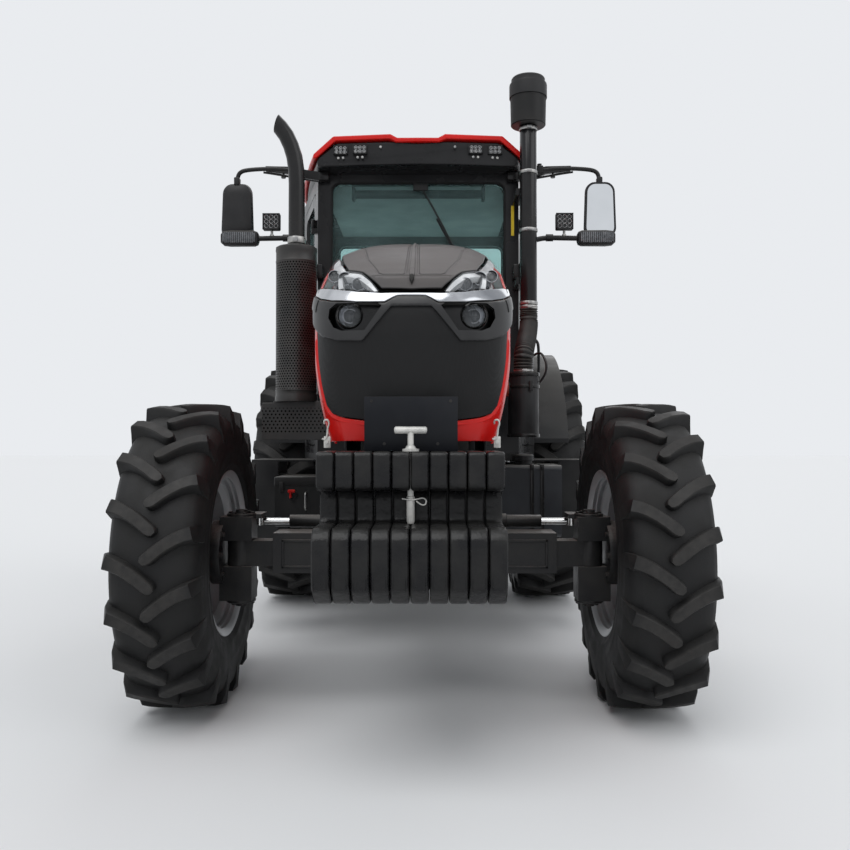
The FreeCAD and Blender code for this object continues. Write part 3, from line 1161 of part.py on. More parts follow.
finish(upward("surround", roof_plan(), "size.surround_high_z - size.cab_high_z - size.seat_gap",
              "0"), "roof_surround", "rear", "0", "0", "size.cab_high_z + 2 * size.seat_gap")
cap = upward("roof_form", roof_plan(), "size.roof_top_z - size.surround_high_z", "0")
bind(doc.roof_form_pad, TaperAngle="-size.roof_taper")
finish(cap, "roof", "rear", "0", "0", "size.surround_high_z + 2 * size.seat_gap")
roof_lamps = [
    box(f"roof_lamp_{end}_{spot}_{side}", f"{sign} * size.roof_lamp_{spot}_x - size.roof_lamp_half",
        y, "size.roof_lamp_low_z", "2 * size.roof_lamp_half", "size.roof_lamp_depth",
        "size.roof_lamp_height")
    for end, y, spots in (
        ("front", "size.visor_y - size.roof_lamp_depth - size.seat_gap", ("outer", "inner")),
        ("rear", "size.roof_back_y + size.seat_gap", ("outer",)))
    for spot in spots for side, sign in (("left", "1"), ("right", "-1"))]
finish(group("roof_lamp_set", *roof_lamps), "roof_lights", "rear")

# Rear fenders with their lamps, and the steps under the doors.
fender_sizes = {
    "fender_radius": 985,  # rear fenders, outer face from the axle
    "fender_wall": 12,  # rear fenders
    "fender_outer_x": 1010,  # rear fenders, outer edge
    "fender_low_z": 1180,  # rear fenders, lowest edge
    "tail_lamp_inner_x": 800,  # tail lamps, inner end
    "tail_lamp_outer_x": 960,  # tail lamps, outer end
    "tail_lamp_z": 1530,  # tail lamps, centre
    "tail_lamp_height": 80,  # tail lamps
    "tail_lamp_front_y": 700,  # tail lamps, front
    "tail_lamp_back_y": 820,  # tail lamps, back
    "step_inner_x": 865,  # steps, inner side
    "step_outer_x": 1030,  # steps, outer side
    "step_front_y": -1450,  # steps, front
    "step_back_y": -1100,  # steps, back
    "step_low_z": 470,  # lowest step
    "step_pitch": 255,  # steps, one to the next
    "step_wall": 12,  # steps and their side plates
    "step_hanger_x": 560,  # steps' hanger under the cab floor, inner end
}
add_sizes(fender_sizes)


def fender(name):
    wide = f"size.fender_outer_x - {BOX_HALF} - size.seat_gap"
    outer = rod(f"{name}_outer", "x", "size.fender_radius", wide,
                f"{BOX_HALF} + size.seat_gap", "0", "size.rear_tyre_radius")
    inner = rod(f"{name}_inner", "x", "size.fender_radius - size.fender_wall", f"{wide} + 20",
                f"{BOX_HALF} - 10", "0", "size.rear_tyre_radius")
    keep = box(f"{name}_keep", f"{BOX_HALF}",
               "size.box_front_y + size.box_wall / 2 + 2 * size.seat_gap", "size.fender_low_z",
               "size.fender_outer_x", "3 * size.fender_radius", "size.fender_radius")
    lamp = box(f"{name}_lamp", "size.tail_lamp_inner_x", "size.tail_lamp_front_y",
               "size.tail_lamp_z - size.tail_lamp_height / 2",
               "size.tail_lamp_outer_x - size.tail_lamp_inner_x",
               "size.tail_lamp_back_y - size.tail_lamp_front_y", "size.tail_lamp_height")
    return join(name, common(f"{name}_band", cut(f"{name}_ring", outer, inner), keep), lamp)


left_fender = fender("fender_left")
finish(group("fender_pair", left_fender, mirror("fender_right", left_fender)), "rear_fenders", "rear")


def steps(name):
    sides = [box(f"{name}_side_{end}", "size.step_inner_x", y, "size.step_low_z - 20",
                 "size.step_outer_x - size.step_inner_x", "size.step_wall",
                 "size.floor_z - size.floor_wall - size.seat_gap - size.step_low_z + 20")
             for end, y in (("front", "size.step_front_y"),
                            ("back", "size.step_back_y - size.step_wall"))]
    treads = [box(f"{name}_tread_{number}", "size.step_inner_x", "size.step_front_y",
                  f"size.step_low_z + {number} * size.step_pitch",
                  "size.step_outer_x - size.step_inner_x", "size.step_back_y - size.step_front_y",
                  "size.step_wall") for number in range(3)]
    hanger = box(f"{name}_hanger", "size.step_hanger_x", "size.step_front_y",
                 "size.floor_z - size.floor_wall - size.seat_gap - size.step_wall",
                 "size.step_outer_x - size.step_hanger_x", "size.step_back_y - size.step_front_y",
                 "size.step_wall")
    return join(name, *sides, *treads, hanger)


left_steps = steps("steps_left")
finish(group("steps_pair", left_steps, mirror("steps_right", left_steps)), "steps", "rear")

# Mirrors on arms from the roof's front corners; lamps on arms from the cab's front posts.
mirror_sizes = {
    "mirror_y": -1670,  # mirror arms, how far back
    "lamp_y": -1770,  # lamp arms, how far back
    "arm_radius": 12,  # mirror and lamp arms
    "arm_bend": 45,  # mirror and lamp arms' bends
    "mirror_root_x": 560,  # mirror arm's root
    "mirror_root_z": 2770,  # mirror arm's root
    "mirror_x": 1075,  # mirror's centre, out
    "mirror_z": 2560,  # mirror's centre, up
    "mirror_half_width": 92,  # mirror
    "mirror_half_height": 165,  # mirror
    "mirror_depth": 60,  # mirror shell, front to back
    "mirror_round": 35,  # mirror's corners
    "lamp_root_z": 2180,  # lamp arm's root
    "lamp_arm_z": 2372,  # lamp arm
    "lamp_root_x": 612,  # lamp arm's root
    "lamp_arm_x": 960,  # lamp arm's outer end
    "turn_lamp_inner_x": 925,  # turn signal, inner end
    "turn_lamp_outer_x": 1145,  # turn signal, outer end
    "turn_lamp_height": 88,  # turn signal
    "turn_lamp_depth": 70,  # turn signal, front to back
    "work_lamp_x": 850,  # work lamp on the arm, centre
    "work_lamp_size": 104,  # work lamp, width and height
    "work_lamp_depth": 60,  # work lamp, front to back
    "work_lamp_lift": 42,  # work lamp above its arm
}
add_sizes(mirror_sizes)


def mirror_arm(name):
    arm = tube(f"{name}_arm", (
        ("size.mirror_root_x", "size.mirror_y", "size.cab_high_z - 25"),
        ("size.mirror_root_x + 100", "size.mirror_y", "size.cab_high_z - 25"),
        ("size.mirror_x", "size.mirror_y", "size.mirror_root_z + 5"),
        ("size.mirror_x", "size.mirror_y", "size.mirror_z")), "size.arm_radius", "size.arm_bend")
    post = box(f"{name}_post", "size.mirror_root_x - 30", "size.mirror_y - 16",
               "size.cab_high_z - 45", "70",
               "size.cab_front_y - size.mirror_y + 16 - size.seat_gap", "44")
    head = along(f"{name}_head", tuple(
        (f"size.mirror_x + {x} * size.mirror_half_width",
         f"size.mirror_z + {z} * size.mirror_half_height", "size.mirror_round")
        for x, z in ((-1, -1), (1, -1), (1, 1), (-1, 1))), "size.mirror_depth",
        "size.mirror_y - size.mirror_depth / 2")
    return join(name, arm, post, head)


def lamp_arm(name):
    arm = tube(f"{name}_arm", (
        ("size.lamp_root_x", "size.lamp_y", "size.lamp_root_z"),
        ("size.lamp_root_x + 10", "size.lamp_y", "size.lamp_arm_z - 30"),
        ("size.lamp_root_x + 120", "size.lamp_y", "size.lamp_arm_z"),
        ("size.lamp_arm_x", "size.lamp_y", "size.lamp_arm_z")), "size.arm_radius",
        "size.arm_bend")
    foot = box(f"{name}_foot", "size.lamp_root_x - 50", "size.lamp_y - 16", "size.lamp_root_z",
               "70", "size.cab_front_y - size.lamp_y + 16 - size.seat_gap", "60")
    turn = box(f"{name}_turn", "size.turn_lamp_inner_x", "size.lamp_y - size.turn_lamp_depth / 2",
               "size.lamp_arm_z - size.turn_lamp_height / 2",
               "size.turn_lamp_outer_x - size.turn_lamp_inner_x", "size.turn_lamp_depth",
               "size.turn_lamp_height")
    work = box(f"{name}_work", "size.work_lamp_x - size.work_lamp_size / 2",
               "size.lamp_y - size.work_lamp_depth / 2", "size.lamp_arm_z + size.work_lamp_lift",
               "size.work_lamp_size", "size.work_lamp_depth", "size.work_lamp_size")
    stud = rod(f"{name}_stud", "z", "size.arm_radius", "size.work_lamp_lift + 10",
               "size.work_lamp_x", "size.lamp_y", "size.lamp_arm_z")
    return join(name, arm, foot, turn, work, stud)


left_mirror = mirror_arm("mirror_left")
finish(group("mirror_pair", left_mirror, mirror("mirror_right", left_mirror)), "mirrors", "rear")
left_lamps = lamp_arm("lamp_arm_left")
finish(group("lamp_arm_pair", left_lamps, mirror("lamp_arm_right", left_lamps)), "lamp_arms", "rear")

# Inside the cab: dashboard with the steering column, steering wheel and the driver's seat.
interior_sizes = {
    "dash_half": 190,  # dashboard console
    "dash_back_y": -1340,  # dashboard console, back
    "dash_high_z": 1840,  # dashboard console, top
    "wheel_y": -1190,  # steering wheel's centre
    "wheel_z": 1930,  # steering wheel's centre
    "wheel_tilt": 35,  # steering wheel's shaft, degrees from upright
    "wheel_radius": 200,  # steering wheel, to the rim's centre
    "wheel_rim": 14,  # steering wheel's rim
    "wheel_hub_radius": 45,  # steering wheel's hub
    "wheel_hub_height": 40,  # steering wheel's hub
    "spoke_wall": 12,  # steering wheel's spokes
    "column_radius": 32,  # steering column
    "column_length": 330,  # steering column
    "seat_half": 255,  # seat
    "seat_front_y": -830,  # seat cushion, front
    "seat_back_y": -350,  # seat cushion, back
    "cushion_low_z": 1500,  # seat cushion, bottom
    "cushion_high_z": 1625,  # seat cushion, top
    "backrest_depth": 120,  # backrest
    "backrest_lean": 110,  # backrest's top, behind its foot
    "backrest_high_z": 2280,  # backrest, top
    "seat_round": 40,  # rounded edges of the seat
    "pedestal_half": 190,  # seat's pedestal
}
add_sizes(interior_sizes)
dash = across("dash_form", (
    ("size.cab_front_y + size.cab_wall + 2", "size.floor_z + size.seat_gap"),
    ("size.dash_back_y - 60", "size.floor_z + size.seat_gap", "20"),
    ("size.dash_back_y", "size.dash_high_z - 150", "60"),
    ("size.dash_back_y - 90", "size.dash_high_z", "30"),
    ("size.cab_front_y + size.cab_wall + 2", "size.dash_high_z", "15")),
    "2 * size.dash_half", "-size.dash_half")
tilt = Rotation(Vector(1, 0, 0), -value("size.wheel_tilt"))
up_shaft = tilt.multVec(Vector(0, 0, 1))
TILT_Y = "sin(size.wheel_tilt)"
TILT_Z = "cos(size.wheel_tilt)"


def on_shaft(thing, below):
    """Turns a piece to the steering shaft and sets it below the steering wheel's centre."""
    thing.Placement = Placement(Vector(), tilt)
    return place(thing, "0", f"size.wheel_y - ({below}) * {TILT_Y}",
                 f"size.wheel_z - ({below}) * {TILT_Z}")


column = bind(doc.addObject("Part::Cylinder", "column_tube"), Radius="size.column_radius",
              Height="size.column_length - size.wheel_hub_height / 2 - 2 * size.seat_gap")
on_shaft(column, "size.column_length")
finish(join("dash_whole", dash, column), "dashboard", "rear")
rim = bind(doc.addObject("Part::Torus", "wheel_ring"), Radius1="size.wheel_radius",
           Radius2="size.wheel_rim")
on_shaft(rim, "0")
hub = bind(doc.addObject("Part::Cylinder", "wheel_boss"), Radius="size.wheel_hub_radius",
           Height="size.wheel_hub_height")
on_shaft(hub, "size.wheel_hub_height / 2")
spokes = []
for number in range(3):
    spoke = bind(doc.addObject("Part::Box", f"wheel_spoke_{number}"), Length="size.wheel_radius",
                 Width="2 * size.wheel_rim", Height="size.spoke_wall")
    spin = Rotation(Vector(0, 0, 1), 120 * number - 90)
    spoke.Placement = Placement(Vector(), tilt * spin)
    corner = tilt.multVec(spin.multVec(Vector(0, -1, 0)))
    place(spoke, f"{corner.x} * size.wheel_rim", f"size.wheel_y + {corner.y} * size.wheel_rim",
          f"size.wheel_z + {corner.z} * size.wheel_rim")
    spokes.append(spoke)
finish(join("steering_wheel_whole", rim, hub, *spokes), "steering_wheel", "rear")

finish(block("pedestal", "size.pedestal_half", "size.seat_front_y + 60", "size.seat_back_y - 60",
             "size.floor_z", "size.cushion_low_z - 2 * size.seat_gap"), "seat_base", "rear",
       "-size.pedestal_half", "size.seat_front_y + 60", "size.floor_z + size.seat_gap")
cushion = across("cushion_form", (
    ("size.seat_front_y", "size.cushion_low_z", "size.seat_round"),
    ("size.seat_back_y", "size.cushion_low_z", "size.seat_round"),
    ("size.seat_back_y", "size.cushion_high_z", "size.seat_round"),
    ("size.seat_front_y", "size.cushion_high_z", "size.seat_round")),
    "2 * size.seat_half", "-size.seat_half")
backrest = across("backrest_form", (
    ("size.seat_back_y - size.backrest_depth", "size.cushion_high_z + size.seat_gap", "10"),
    ("size.seat_back_y", "size.cushion_high_z + size.seat_gap", "10"),
    ("size.seat_back_y + size.backrest_lean", "size.backrest_high_z", "size.seat_round"),
    ("size.seat_back_y + size.backrest_lean - size.backrest_depth", "size.backrest_high_z",
     "size.seat_round")),
    "2 * size.seat_half", "-size.seat_half")
finish(group("seat_pads", cushion, backrest), "seat", "rear")

# Three-point hitch behind the rear axle, with its drawbar.
hitch_sizes = {
    "shaft_y": 215,  # lift shaft
    "shaft_z": 1190,  # lift shaft
    "shaft_radius": 42,  # lift shaft
    "lift_inner_x": 300,  # lift arms, inner faces
    "lift_wall": 34,  # lift arms
    "lift_eye_radius": 62,  # lift arms round the shaft
    "lift_end_y": 550,  # lift arms' ends
    "lift_end_z": 1250,  # lift arms' ends
    "lift_end_radius": 34,  # lift arms' ends
    "lug_wall": 50,  # lugs that carry the lift shaft
    "lug_inner_x": 130,  # lugs that carry the lift shaft, inner faces
    "link_x": 400,  # lower links, centre
    "link_wall": 36,  # lower links
    "link_y": 240,  # lower links' front pins
    "link_z": 640,  # lower links' front pins
    "link_pin_radius": 16,  # lower links' front pins
    "link_height": 76,  # lower links
    "link_rod_y": 640,  # where the lift rods meet the lower links
    "link_rod_z": 650,  # where the lift rods meet the lower links
    "link_ball_radius": 48,  # lower links' ball ends
    "ball_bore_radius": 14.25,  # lower links' ball bores
    "lift_rod_radius": 17,  # lift rods
    "lift_eye_end": 30,  # lift rods' eyes
    "pivot_gap": 0.7,  # side play between hitch links
    "top_pin_y": 305,  # top link's pin
    "top_pin_z": 985,  # top link's pin
    "top_link_radius": 22,  # top link
    "top_link_length": 560,  # top link
    "top_link_lean": 8,  # top link at rest, degrees back from upright
    "top_eye_radius": 34,  # top link's eyes
    "top_bore_radius": 12.75,  # top link's bores
    "top_eye_wall": 50,  # top link's eyes
    "drawbar_half": 45,  # drawbar
    "drawbar_front_y": -260,  # drawbar, front
    "drawbar_back_y": 1060,  # drawbar, back
    "drawbar_low_z": 470,  # drawbar, underside
    "drawbar_high_z": 508,  # drawbar, top
    "drawbar_bore_radius": 16,  # drawbar's hitch hole
    "drawbar_bore_y": 1010,  # drawbar's hitch hole
    "hanger_half": 110,  # drawbar's hangers
}
add_sizes(hitch_sizes)


def link_plate(name, start, wall, first, last, first_radius, last_radius):
    """A flat link between two round ends, each end given as (back, up)."""
    dy = f"({last[0]}) - ({first[0]})"
    dz = f"({last[1]}) - ({first[1]})"
    long = math.hypot(value(dy), value(dz))
    side_y, side_z = -value(dz) / long, value(dy) / long
    near = ((first, first_radius, 1), (first, first_radius, -1), (last, last_radius, -1),
            (last, last_radius, 1))
    bar = across(f"{name}_bar", tuple(
        (f"{spot[0]} + {turn * side_y} * {radius} * 0.8",
         f"{spot[1]} + {turn * side_z} * {radius} * 0.8") for spot, radius, turn in near),
        wall, start)
    ends = [rod(f"{name}_end_{number}", "x", radius, wall, start, *spot)
            for number, (spot, radius) in enumerate(((first, first_radius),
                                                     (last, last_radius)))]
    return join(name, bar, *ends)


LIFT_SHAFT = ("size.shaft_y", "size.shaft_z")
LIFT_END = ("size.lift_end_y", "size.lift_end_z")
LINK_PIN = ("size.link_y", "size.link_z")
LINK_ROD = ("size.link_rod_y", "size.link_rod_z")
LINK_BALL = ("size.rear_reach - size.link_ball_radius", "size.link_z")
arms = [rod("lift_shaft", "x", "size.shaft_radius", "2 * size.lift_inner_x",
            "-size.lift_inner_x", *LIFT_SHAFT)]
for side, start in (("left", "size.lift_inner_x"),
                    ("right", "-(size.lift_inner_x + size.lift_wall)")):
    arms.append(link_plate(f"lift_arm_{side}", start, "size.lift_wall", LIFT_SHAFT, LIFT_END,
                           "size.lift_eye_radius", "size.lift_end_radius"))
finish(join("lift_arms_whole", *arms), "lift_arms", "rear")


def lower_link(name):
    start = "size.link_x - size.link_wall / 2"
    front = link_plate(f"{name}_plate", start, "size.link_wall", LINK_PIN, LINK_BALL,
                       "size.link_height / 2", "size.link_ball_radius")
    bores = [rod(f"{name}_bore_{number}", "x", radius, "2 * size.link_wall",
                 "size.link_x - size.link_wall", *spot)
             for number, (spot, radius) in enumerate((
                 (LINK_PIN, "size.link_pin_radius + size.rod_bore_gap"),
                 (LINK_BALL, "size.ball_bore_radius")))]
    return cut(name, front, *bores)


def lift_rod(name):
    """Clevis rod from a lift arm's end down to its lower link, between the two."""
    start = "size.lift_inner_x + size.lift_wall + size.pivot_gap"
    wall = ("size.link_x - size.link_wall / 2 - size.lift_inner_x - size.lift_wall"
            " - 2 * size.pivot_gap")
    middle = f"{start} + ({wall}) / 2"
    eyes = [rod(f"{name}_eye_{number}", "x", "size.lift_eye_end", wall, start, *spot)
            for number, spot in enumerate((LIFT_END, LINK_ROD))]
    bar = tube(f"{name}_bar", ((middle, *LIFT_END), (middle, *LINK_ROD)), "size.lift_rod_radius",
               "0")
    return join(name, bar, *eyes)


left_link = lower_link("lower_link_left")
finish(group("link_pair", left_link, mirror("lower_link_right", left_link)), "lower_links", "rear")
left_rod = lift_rod("lift_rod_left")
finish(group("lift_rod_pair", left_rod, mirror("lift_rod_right", left_rod)), "lift_rods", "rear")

lean = math.radians(value("size.top_link_lean"))
top_end = (f"size.top_pin_y + {math.sin(lean)} * size.top_link_length",
           f"size.top_pin_z + {math.cos(lean)} * size.top_link_length")
TOP_PIN = ("size.top_pin_y", "size.top_pin_z")
top_bar = tube("top_bar", (("0", *TOP_PIN), ("0", *top_end)), "size.top_link_radius", "0")
top_eyes = [rod(f"top_eye_{number}", "x", "size.top_eye_radius", "size.top_eye_wall",
                "-size.top_eye_wall / 2", *spot) for number, spot in enumerate((TOP_PIN, top_end))]
top_bores = [rod(f"top_bore_{number}", "x", "size.top_bore_radius + size.rod_bore_gap",
                 "2 * size.top_eye_wall", "-size.top_eye_wall", *spot)
             for number, spot in enumerate((TOP_PIN, top_end))]
finish(cut("top_link_whole", join("top_link_solid", top_bar, *top_eyes), *top_bores), "top_link", "rear")
bar = block("drawbar_bar", "size.drawbar_half", "size.drawbar_front_y", "size.drawbar_back_y",
            "size.drawbar_low_z", "size.drawbar_high_z")
hitch_hole = rod("drawbar_hole", "z", "size.drawbar_bore_radius", "100", "0",
                 "size.drawbar_bore_y", "size.drawbar_low_z - 20")
finish(cut("drawbar_whole", bar, hitch_hole), "drawbar", "rear")

# Rear axle housing: with lugs for the lift shaft, the hitch's pins and the drawbar's hangers.
drawbar_sizes = {
    "bracket_wall": 15,  # top link's bracket plates
    "bracket_depth": 70,  # top link's bracket plates, back from the housing
    "hitch_block_high_z": 692,  # lower link brackets, top
    "hitch_block_front_y": 185,  # lower link brackets, front
    "hanger_front_y": -240,  # drawbar's front hanger
    "hanger_length": 100,  # drawbar's hangers
}
add_sizes(drawbar_sizes)
for side, sign in (("left", 1), ("right", -1)):
    start = "size.lug_inner_x" if sign > 0 else "-size.lug_inner_x - size.lug_wall"
    lug = box(f"shaft_lug_{side}", start, "size.shaft_y - size.lift_eye_radius",
              "size.final_high_z - 5", "size.lug_wall",
              "size.final_back_y - size.shaft_y + size.lift_eye_radius",
              "size.shaft_z + size.lift_eye_radius - size.final_high_z + 5")
    bore = rod(f"shaft_bore_{side}", "x", "size.shaft_radius + size.rod_bore_gap",
               "size.lug_wall + 20", f"{start} - 10", *LIFT_SHAFT)
    rear_axle_pieces.append(cut(f"shaft_lug_{side}_bored", lug, bore))
    outer = "size.link_x - size.link_wall / 2 - size.pivot_gap"
    inner = "(size.final_half_width - 5)"
    hitch_start = inner if sign > 0 else f"-({outer})"
    rear_axle_pieces.append(box(f"hitch_block_{side}", hitch_start, "size.hitch_block_front_y",
                                "size.final_low_z", f"{outer} - {inner}",
                                "size.final_back_y - size.hitch_block_front_y",
                                "size.hitch_block_high_z - size.final_low_z"))
    pin_end = "(size.link_x + size.link_wall / 2 + 10)"
    rear_axle_pieces.append(rod(f"hitch_pin_{side}", "x", "size.link_pin_radius",
                                f"{pin_end} - {inner}", inner if sign > 0 else f"-{pin_end}",
                                *LINK_PIN))
    plate_start = ("size.top_eye_wall / 2 + size.pivot_gap" if sign > 0 else
                   "-size.top_eye_wall / 2 - size.pivot_gap - size.bracket_wall")
    rear_axle_pieces.append(box(f"top_plate_{side}", plate_start, "size.final_back_y - 5",
                                "size.top_pin_z - size.top_eye_radius", "size.bracket_wall",
                                "size.bracket_depth", "2 * size.top_eye_radius"))
rear_axle_pieces.append(rod("top_pin", "x", "size.top_bore_radius",
                            "size.top_eye_wall + 2 * size.pivot_gap + 2 * size.bracket_wall",
                            "-size.top_eye_wall / 2 - size.pivot_gap - size.bracket_wall",
                            *TOP_PIN))
for number, y in enumerate(("size.hanger_front_y", "size.final_back_y - size.hanger_length")):
    rear_axle_pieces.append(block(f"drawbar_hanger_{number}", "size.hanger_half", y,
                                  f"{y} + size.hanger_length",
                                  "size.drawbar_high_z + size.seat_gap", "size.final_low_z + 5"))
finish(join("rear_axle_whole", *rear_axle_pieces), "rear_axle", "rear")

doc.recompute()
for thing in doc.Objects:
    if {"Invalid", "Error"} & set(thing.State):
        raise RuntimeError(f"{thing.Name} failed: {thing.State}")
for thing in nodes:
    if thing.Shape.isNull() or not thing.Shape.isValid():
        raise RuntimeError(f"{thing.Label} has no valid shape")
for thing in nodes:
    thing.Shape.exportStep(f"parts/{thing.Label}.step")
print(len(nodes), "sub-parts written")
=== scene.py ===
import bpy
import bmesh
import math
from mathutils import Matrix, Vector
from mathutils.bvhtree import BVHTree
from mathutils.geometry import delaunay_2d_cdt


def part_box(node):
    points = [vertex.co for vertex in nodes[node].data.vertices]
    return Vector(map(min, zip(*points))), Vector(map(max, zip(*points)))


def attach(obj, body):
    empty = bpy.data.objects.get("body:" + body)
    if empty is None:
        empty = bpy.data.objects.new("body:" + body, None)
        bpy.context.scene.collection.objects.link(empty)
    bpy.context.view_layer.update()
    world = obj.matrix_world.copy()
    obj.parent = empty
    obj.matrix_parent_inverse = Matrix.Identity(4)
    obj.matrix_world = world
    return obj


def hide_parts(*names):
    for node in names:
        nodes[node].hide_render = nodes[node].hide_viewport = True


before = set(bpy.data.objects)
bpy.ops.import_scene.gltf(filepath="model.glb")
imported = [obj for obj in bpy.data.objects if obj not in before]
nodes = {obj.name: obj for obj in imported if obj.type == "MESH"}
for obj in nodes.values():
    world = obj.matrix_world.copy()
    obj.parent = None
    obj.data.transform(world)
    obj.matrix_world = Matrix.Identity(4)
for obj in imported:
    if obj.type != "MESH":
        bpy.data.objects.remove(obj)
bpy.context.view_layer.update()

# A farm tractor with a closed cab, seen from the front. Metres; it faces -Y on a pale floor,
# and +X is its own left-hand side.
FRONT_AXLE = -1.405
REAR_AXLE = 1.375


def placed(name, data):
    """A new object in the scene."""
    made = bpy.data.objects.new(name, data)
    bpy.context.scene.collection.objects.link(made)
    return made


# Camera: at the photograph's place, 1.2 m up and 4 m ahead of the front axle, with a wide lens.
camera_data = bpy.data.cameras.new("camera")
camera_data.sensor_width = 36
camera_data.lens = 36.4
camera = placed("camera", camera_data)
camera.location = (0.065, FRONT_AXLE - 3.97, 1.2)
camera.rotation_euler = (math.radians(91.0), 0, math.radians(0.27))
bpy.context.scene.camera = camera

# Studio: a pale floor and sky, one broad soft lamp high in front and two weaker ones.
PALE = (0.8, 0.81, 0.82, 1)


def new_material(name):
    """An empty node material, with its tree and its shader."""
    material = bpy.data.materials.new(name)
    material.use_nodes = True
    tree = material.node_tree
    shader = tree.nodes["Principled BSDF"]
    return material, tree, shader


def plug(tree, inputs, values):
    """Gives a node's inputs plain values, or sockets to link from."""
    for slot, value in values.items():
        if isinstance(value, bpy.types.NodeSocket):
            tree.links.new(value, inputs[slot])
        else:
            inputs[slot].default_value = value


def node(tree, kind, values=(), **settings):
    """Adds a node with its settings, then its inputs' values and links."""
    made = tree.nodes.new(kind if "Node" in kind else "ShaderNode" + kind)
    for setting, value in settings.items():
        setattr(made, setting, value)
    plug(tree, made.inputs, dict(values))
    return made


def number(tree, operation, *values):
    """One arithmetic step in a node tree, on sockets or plain numbers."""
    return node(tree, "Math", enumerate(values), operation=operation).outputs[0]


def shown_to_eye(tree):
    """1 for rays that the camera, a mirror or a glass pane sends, and 0 for light."""
    rays = node(tree, "LightPath").outputs
    seen = number(tree, "MAXIMUM", rays["Is Camera Ray"], rays["Is Glossy Ray"])
    return number(tree, "MAXIMUM", seen, rays["Is Transmission Ray"])


world = bpy.data.worlds.new("studio")
bpy.context.scene.world = world
world.use_nodes = True
sky = world.node_tree.nodes["Background"]
sky.inputs["Color"].default_value = (0.86, 0.88, 0.91, 1)
strength = node(world.node_tree, "MapRange", {"Value": shown_to_eye(world.node_tree),
    "To Min": 0.5, "To Max": 0.95})
world.node_tree.links.new(strength.outputs[0], sky.inputs["Strength"])

floor_material, _, floor_shader = new_material("studio_floor")
floor_shader.inputs["Base Color"].default_value = PALE
floor_shader.inputs["Roughness"].default_value = 0.9
floor_mesh = bpy.data.meshes.new("studio_floor")
FLOOR_REACH = 60
floor_mesh.from_pydata([(-FLOOR_REACH, -FLOOR_REACH, 0), (FLOOR_REACH, -FLOOR_REACH, 0),
    (FLOOR_REACH, FLOOR_REACH, 0), (-FLOOR_REACH, FLOOR_REACH, 0)], [], [(0, 1, 2, 3)])
floor_mesh.materials.append(floor_material)
placed("studio_floor", floor_mesh)

for name, height, heading, spread, power in (("lamp_above", 62, -25, 50, 1.35),
        ("lamp_side", 34, 58, 40, 0.45), ("lamp_behind", 38, 165, 50, 0.4)):
    light = bpy.data.lights.new(name, "SUN")
    light.angle = math.radians(spread)
    light.energy = power
    lamp = placed(name, light)
    up = math.radians(height)
    turn = math.radians(heading)
    source = Vector((math.sin(turn) * math.cos(up), -math.cos(turn) * math.cos(up), math.sin(up)))
    lamp.rotation_euler = source.to_track_quat("Z", "Y").to_euler()
    lamp.location = source * 12
bpy.context.scene.view_settings.view_transform = "Standard"


# Backbone castings: front frame rails, engine block, gearbox and rear axle housing.
# Sand-cast iron under dull dark paint, bolted end to end; dust lies on what faces up.
def finish(name, dark, light, patch=3.0, grain=160.0, roughness=(0.45, 0.65), bump=0.2,
        depth=0.002, metal=0.0, dust=0.25, dust_colour=(0.2, 0.185, 0.16, 1), shine=0.28):
    """A finish that drifts between two tones in patches, has a grain, and gathers dust on top."""
    material, tree, shader = new_material(name)
    place = node(tree, "TexCoord").outputs["Object"]
    patches, fine = (node(tree, "TexNoise", {"Vector": place, "Scale": size,
        "Detail": detail}).outputs["Fac"] for size, detail in ((patch, 5), (grain, 3)))
    tones = node(tree, "ValToRGB", {"Fac": patches})
    for stop, position, tone in zip(tones.color_ramp.elements, (0.36, 0.64), (dark, light)):
        stop.position = position
        stop.color = tone
    dull = node(tree, "MapRange", {"Value": patches, "From Min": 0.35, "From Max": 0.65,
        "To Min": roughness[0], "To Max": roughness[1]})
    relief = node(tree, "Bump", {"Strength": bump, "Distance": depth, "Height": fine})
    colour = tones.outputs["Color"]
    if dust:
        facing = node(tree, "NewGeometry").outputs["Normal"]
        upward = node(tree, "SeparateXYZ", {0: facing}).outputs["Z"]
        lying = node(tree, "MapRange", {"Value": upward, "From Min": 0.35, "From Max": 0.95,
            "To Max": dust}).outputs[0]
        spread = number(tree, "MULTIPLY", number(tree, "MULTIPLY", lying, fine), 1.9)
        colour = node(tree, "Mix", {"B": dust_colour, "Factor": spread, "A": colour},
            data_type="RGBA").outputs["Result"]
    plug(tree, shader.inputs, {"Roughness": dull.outputs[0], "Normal": relief.outputs["Normal"],
        "Base Color": colour, "Metallic": metal, "Specular IOR Level": shine})
    return material


def eased(made, width, angle=30, segments=3):
    """Rounds a piece's sharp edges with a modifier."""
    edge = made.modifiers.new("eased", "BEVEL")
    edge.width = width
    edge.segments = segments
    edge.limit_method = "ANGLE"
    edge.angle_limit = math.radians(angle)
    edge.harden_normals = True
    return made


def dress(node_name, material, edge=0.004):
    """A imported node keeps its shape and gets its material, with its sharp edges eased."""
    part = nodes[node_name]
    part.data.materials.clear()
    part.data.materials.append(material)
    if edge:
        part.modifiers.new("joined", "WELD").merge_threshold = 0.00005
        eased(part, edge, 38, 2)


cast_black = finish("cast_black", (0.012, 0.012, 0.013, 1), (0.026, 0.025, 0.025, 1), patch=5,
    grain=260, roughness=(0.42, 0.6), bump=0.35)
cast_grey = finish("cast_grey", (0.035, 0.036, 0.038, 1), (0.065, 0.064, 0.062, 1), patch=6,
    grain=240, roughness=(0.5, 0.7), bump=0.4)
dress("front_frame", cast_black)
dress("engine", cast_grey)
dress("transmission", cast_grey)
dress("rear_axle", cast_black)
dress("front_drive_shaft", cast_black, 0.002)

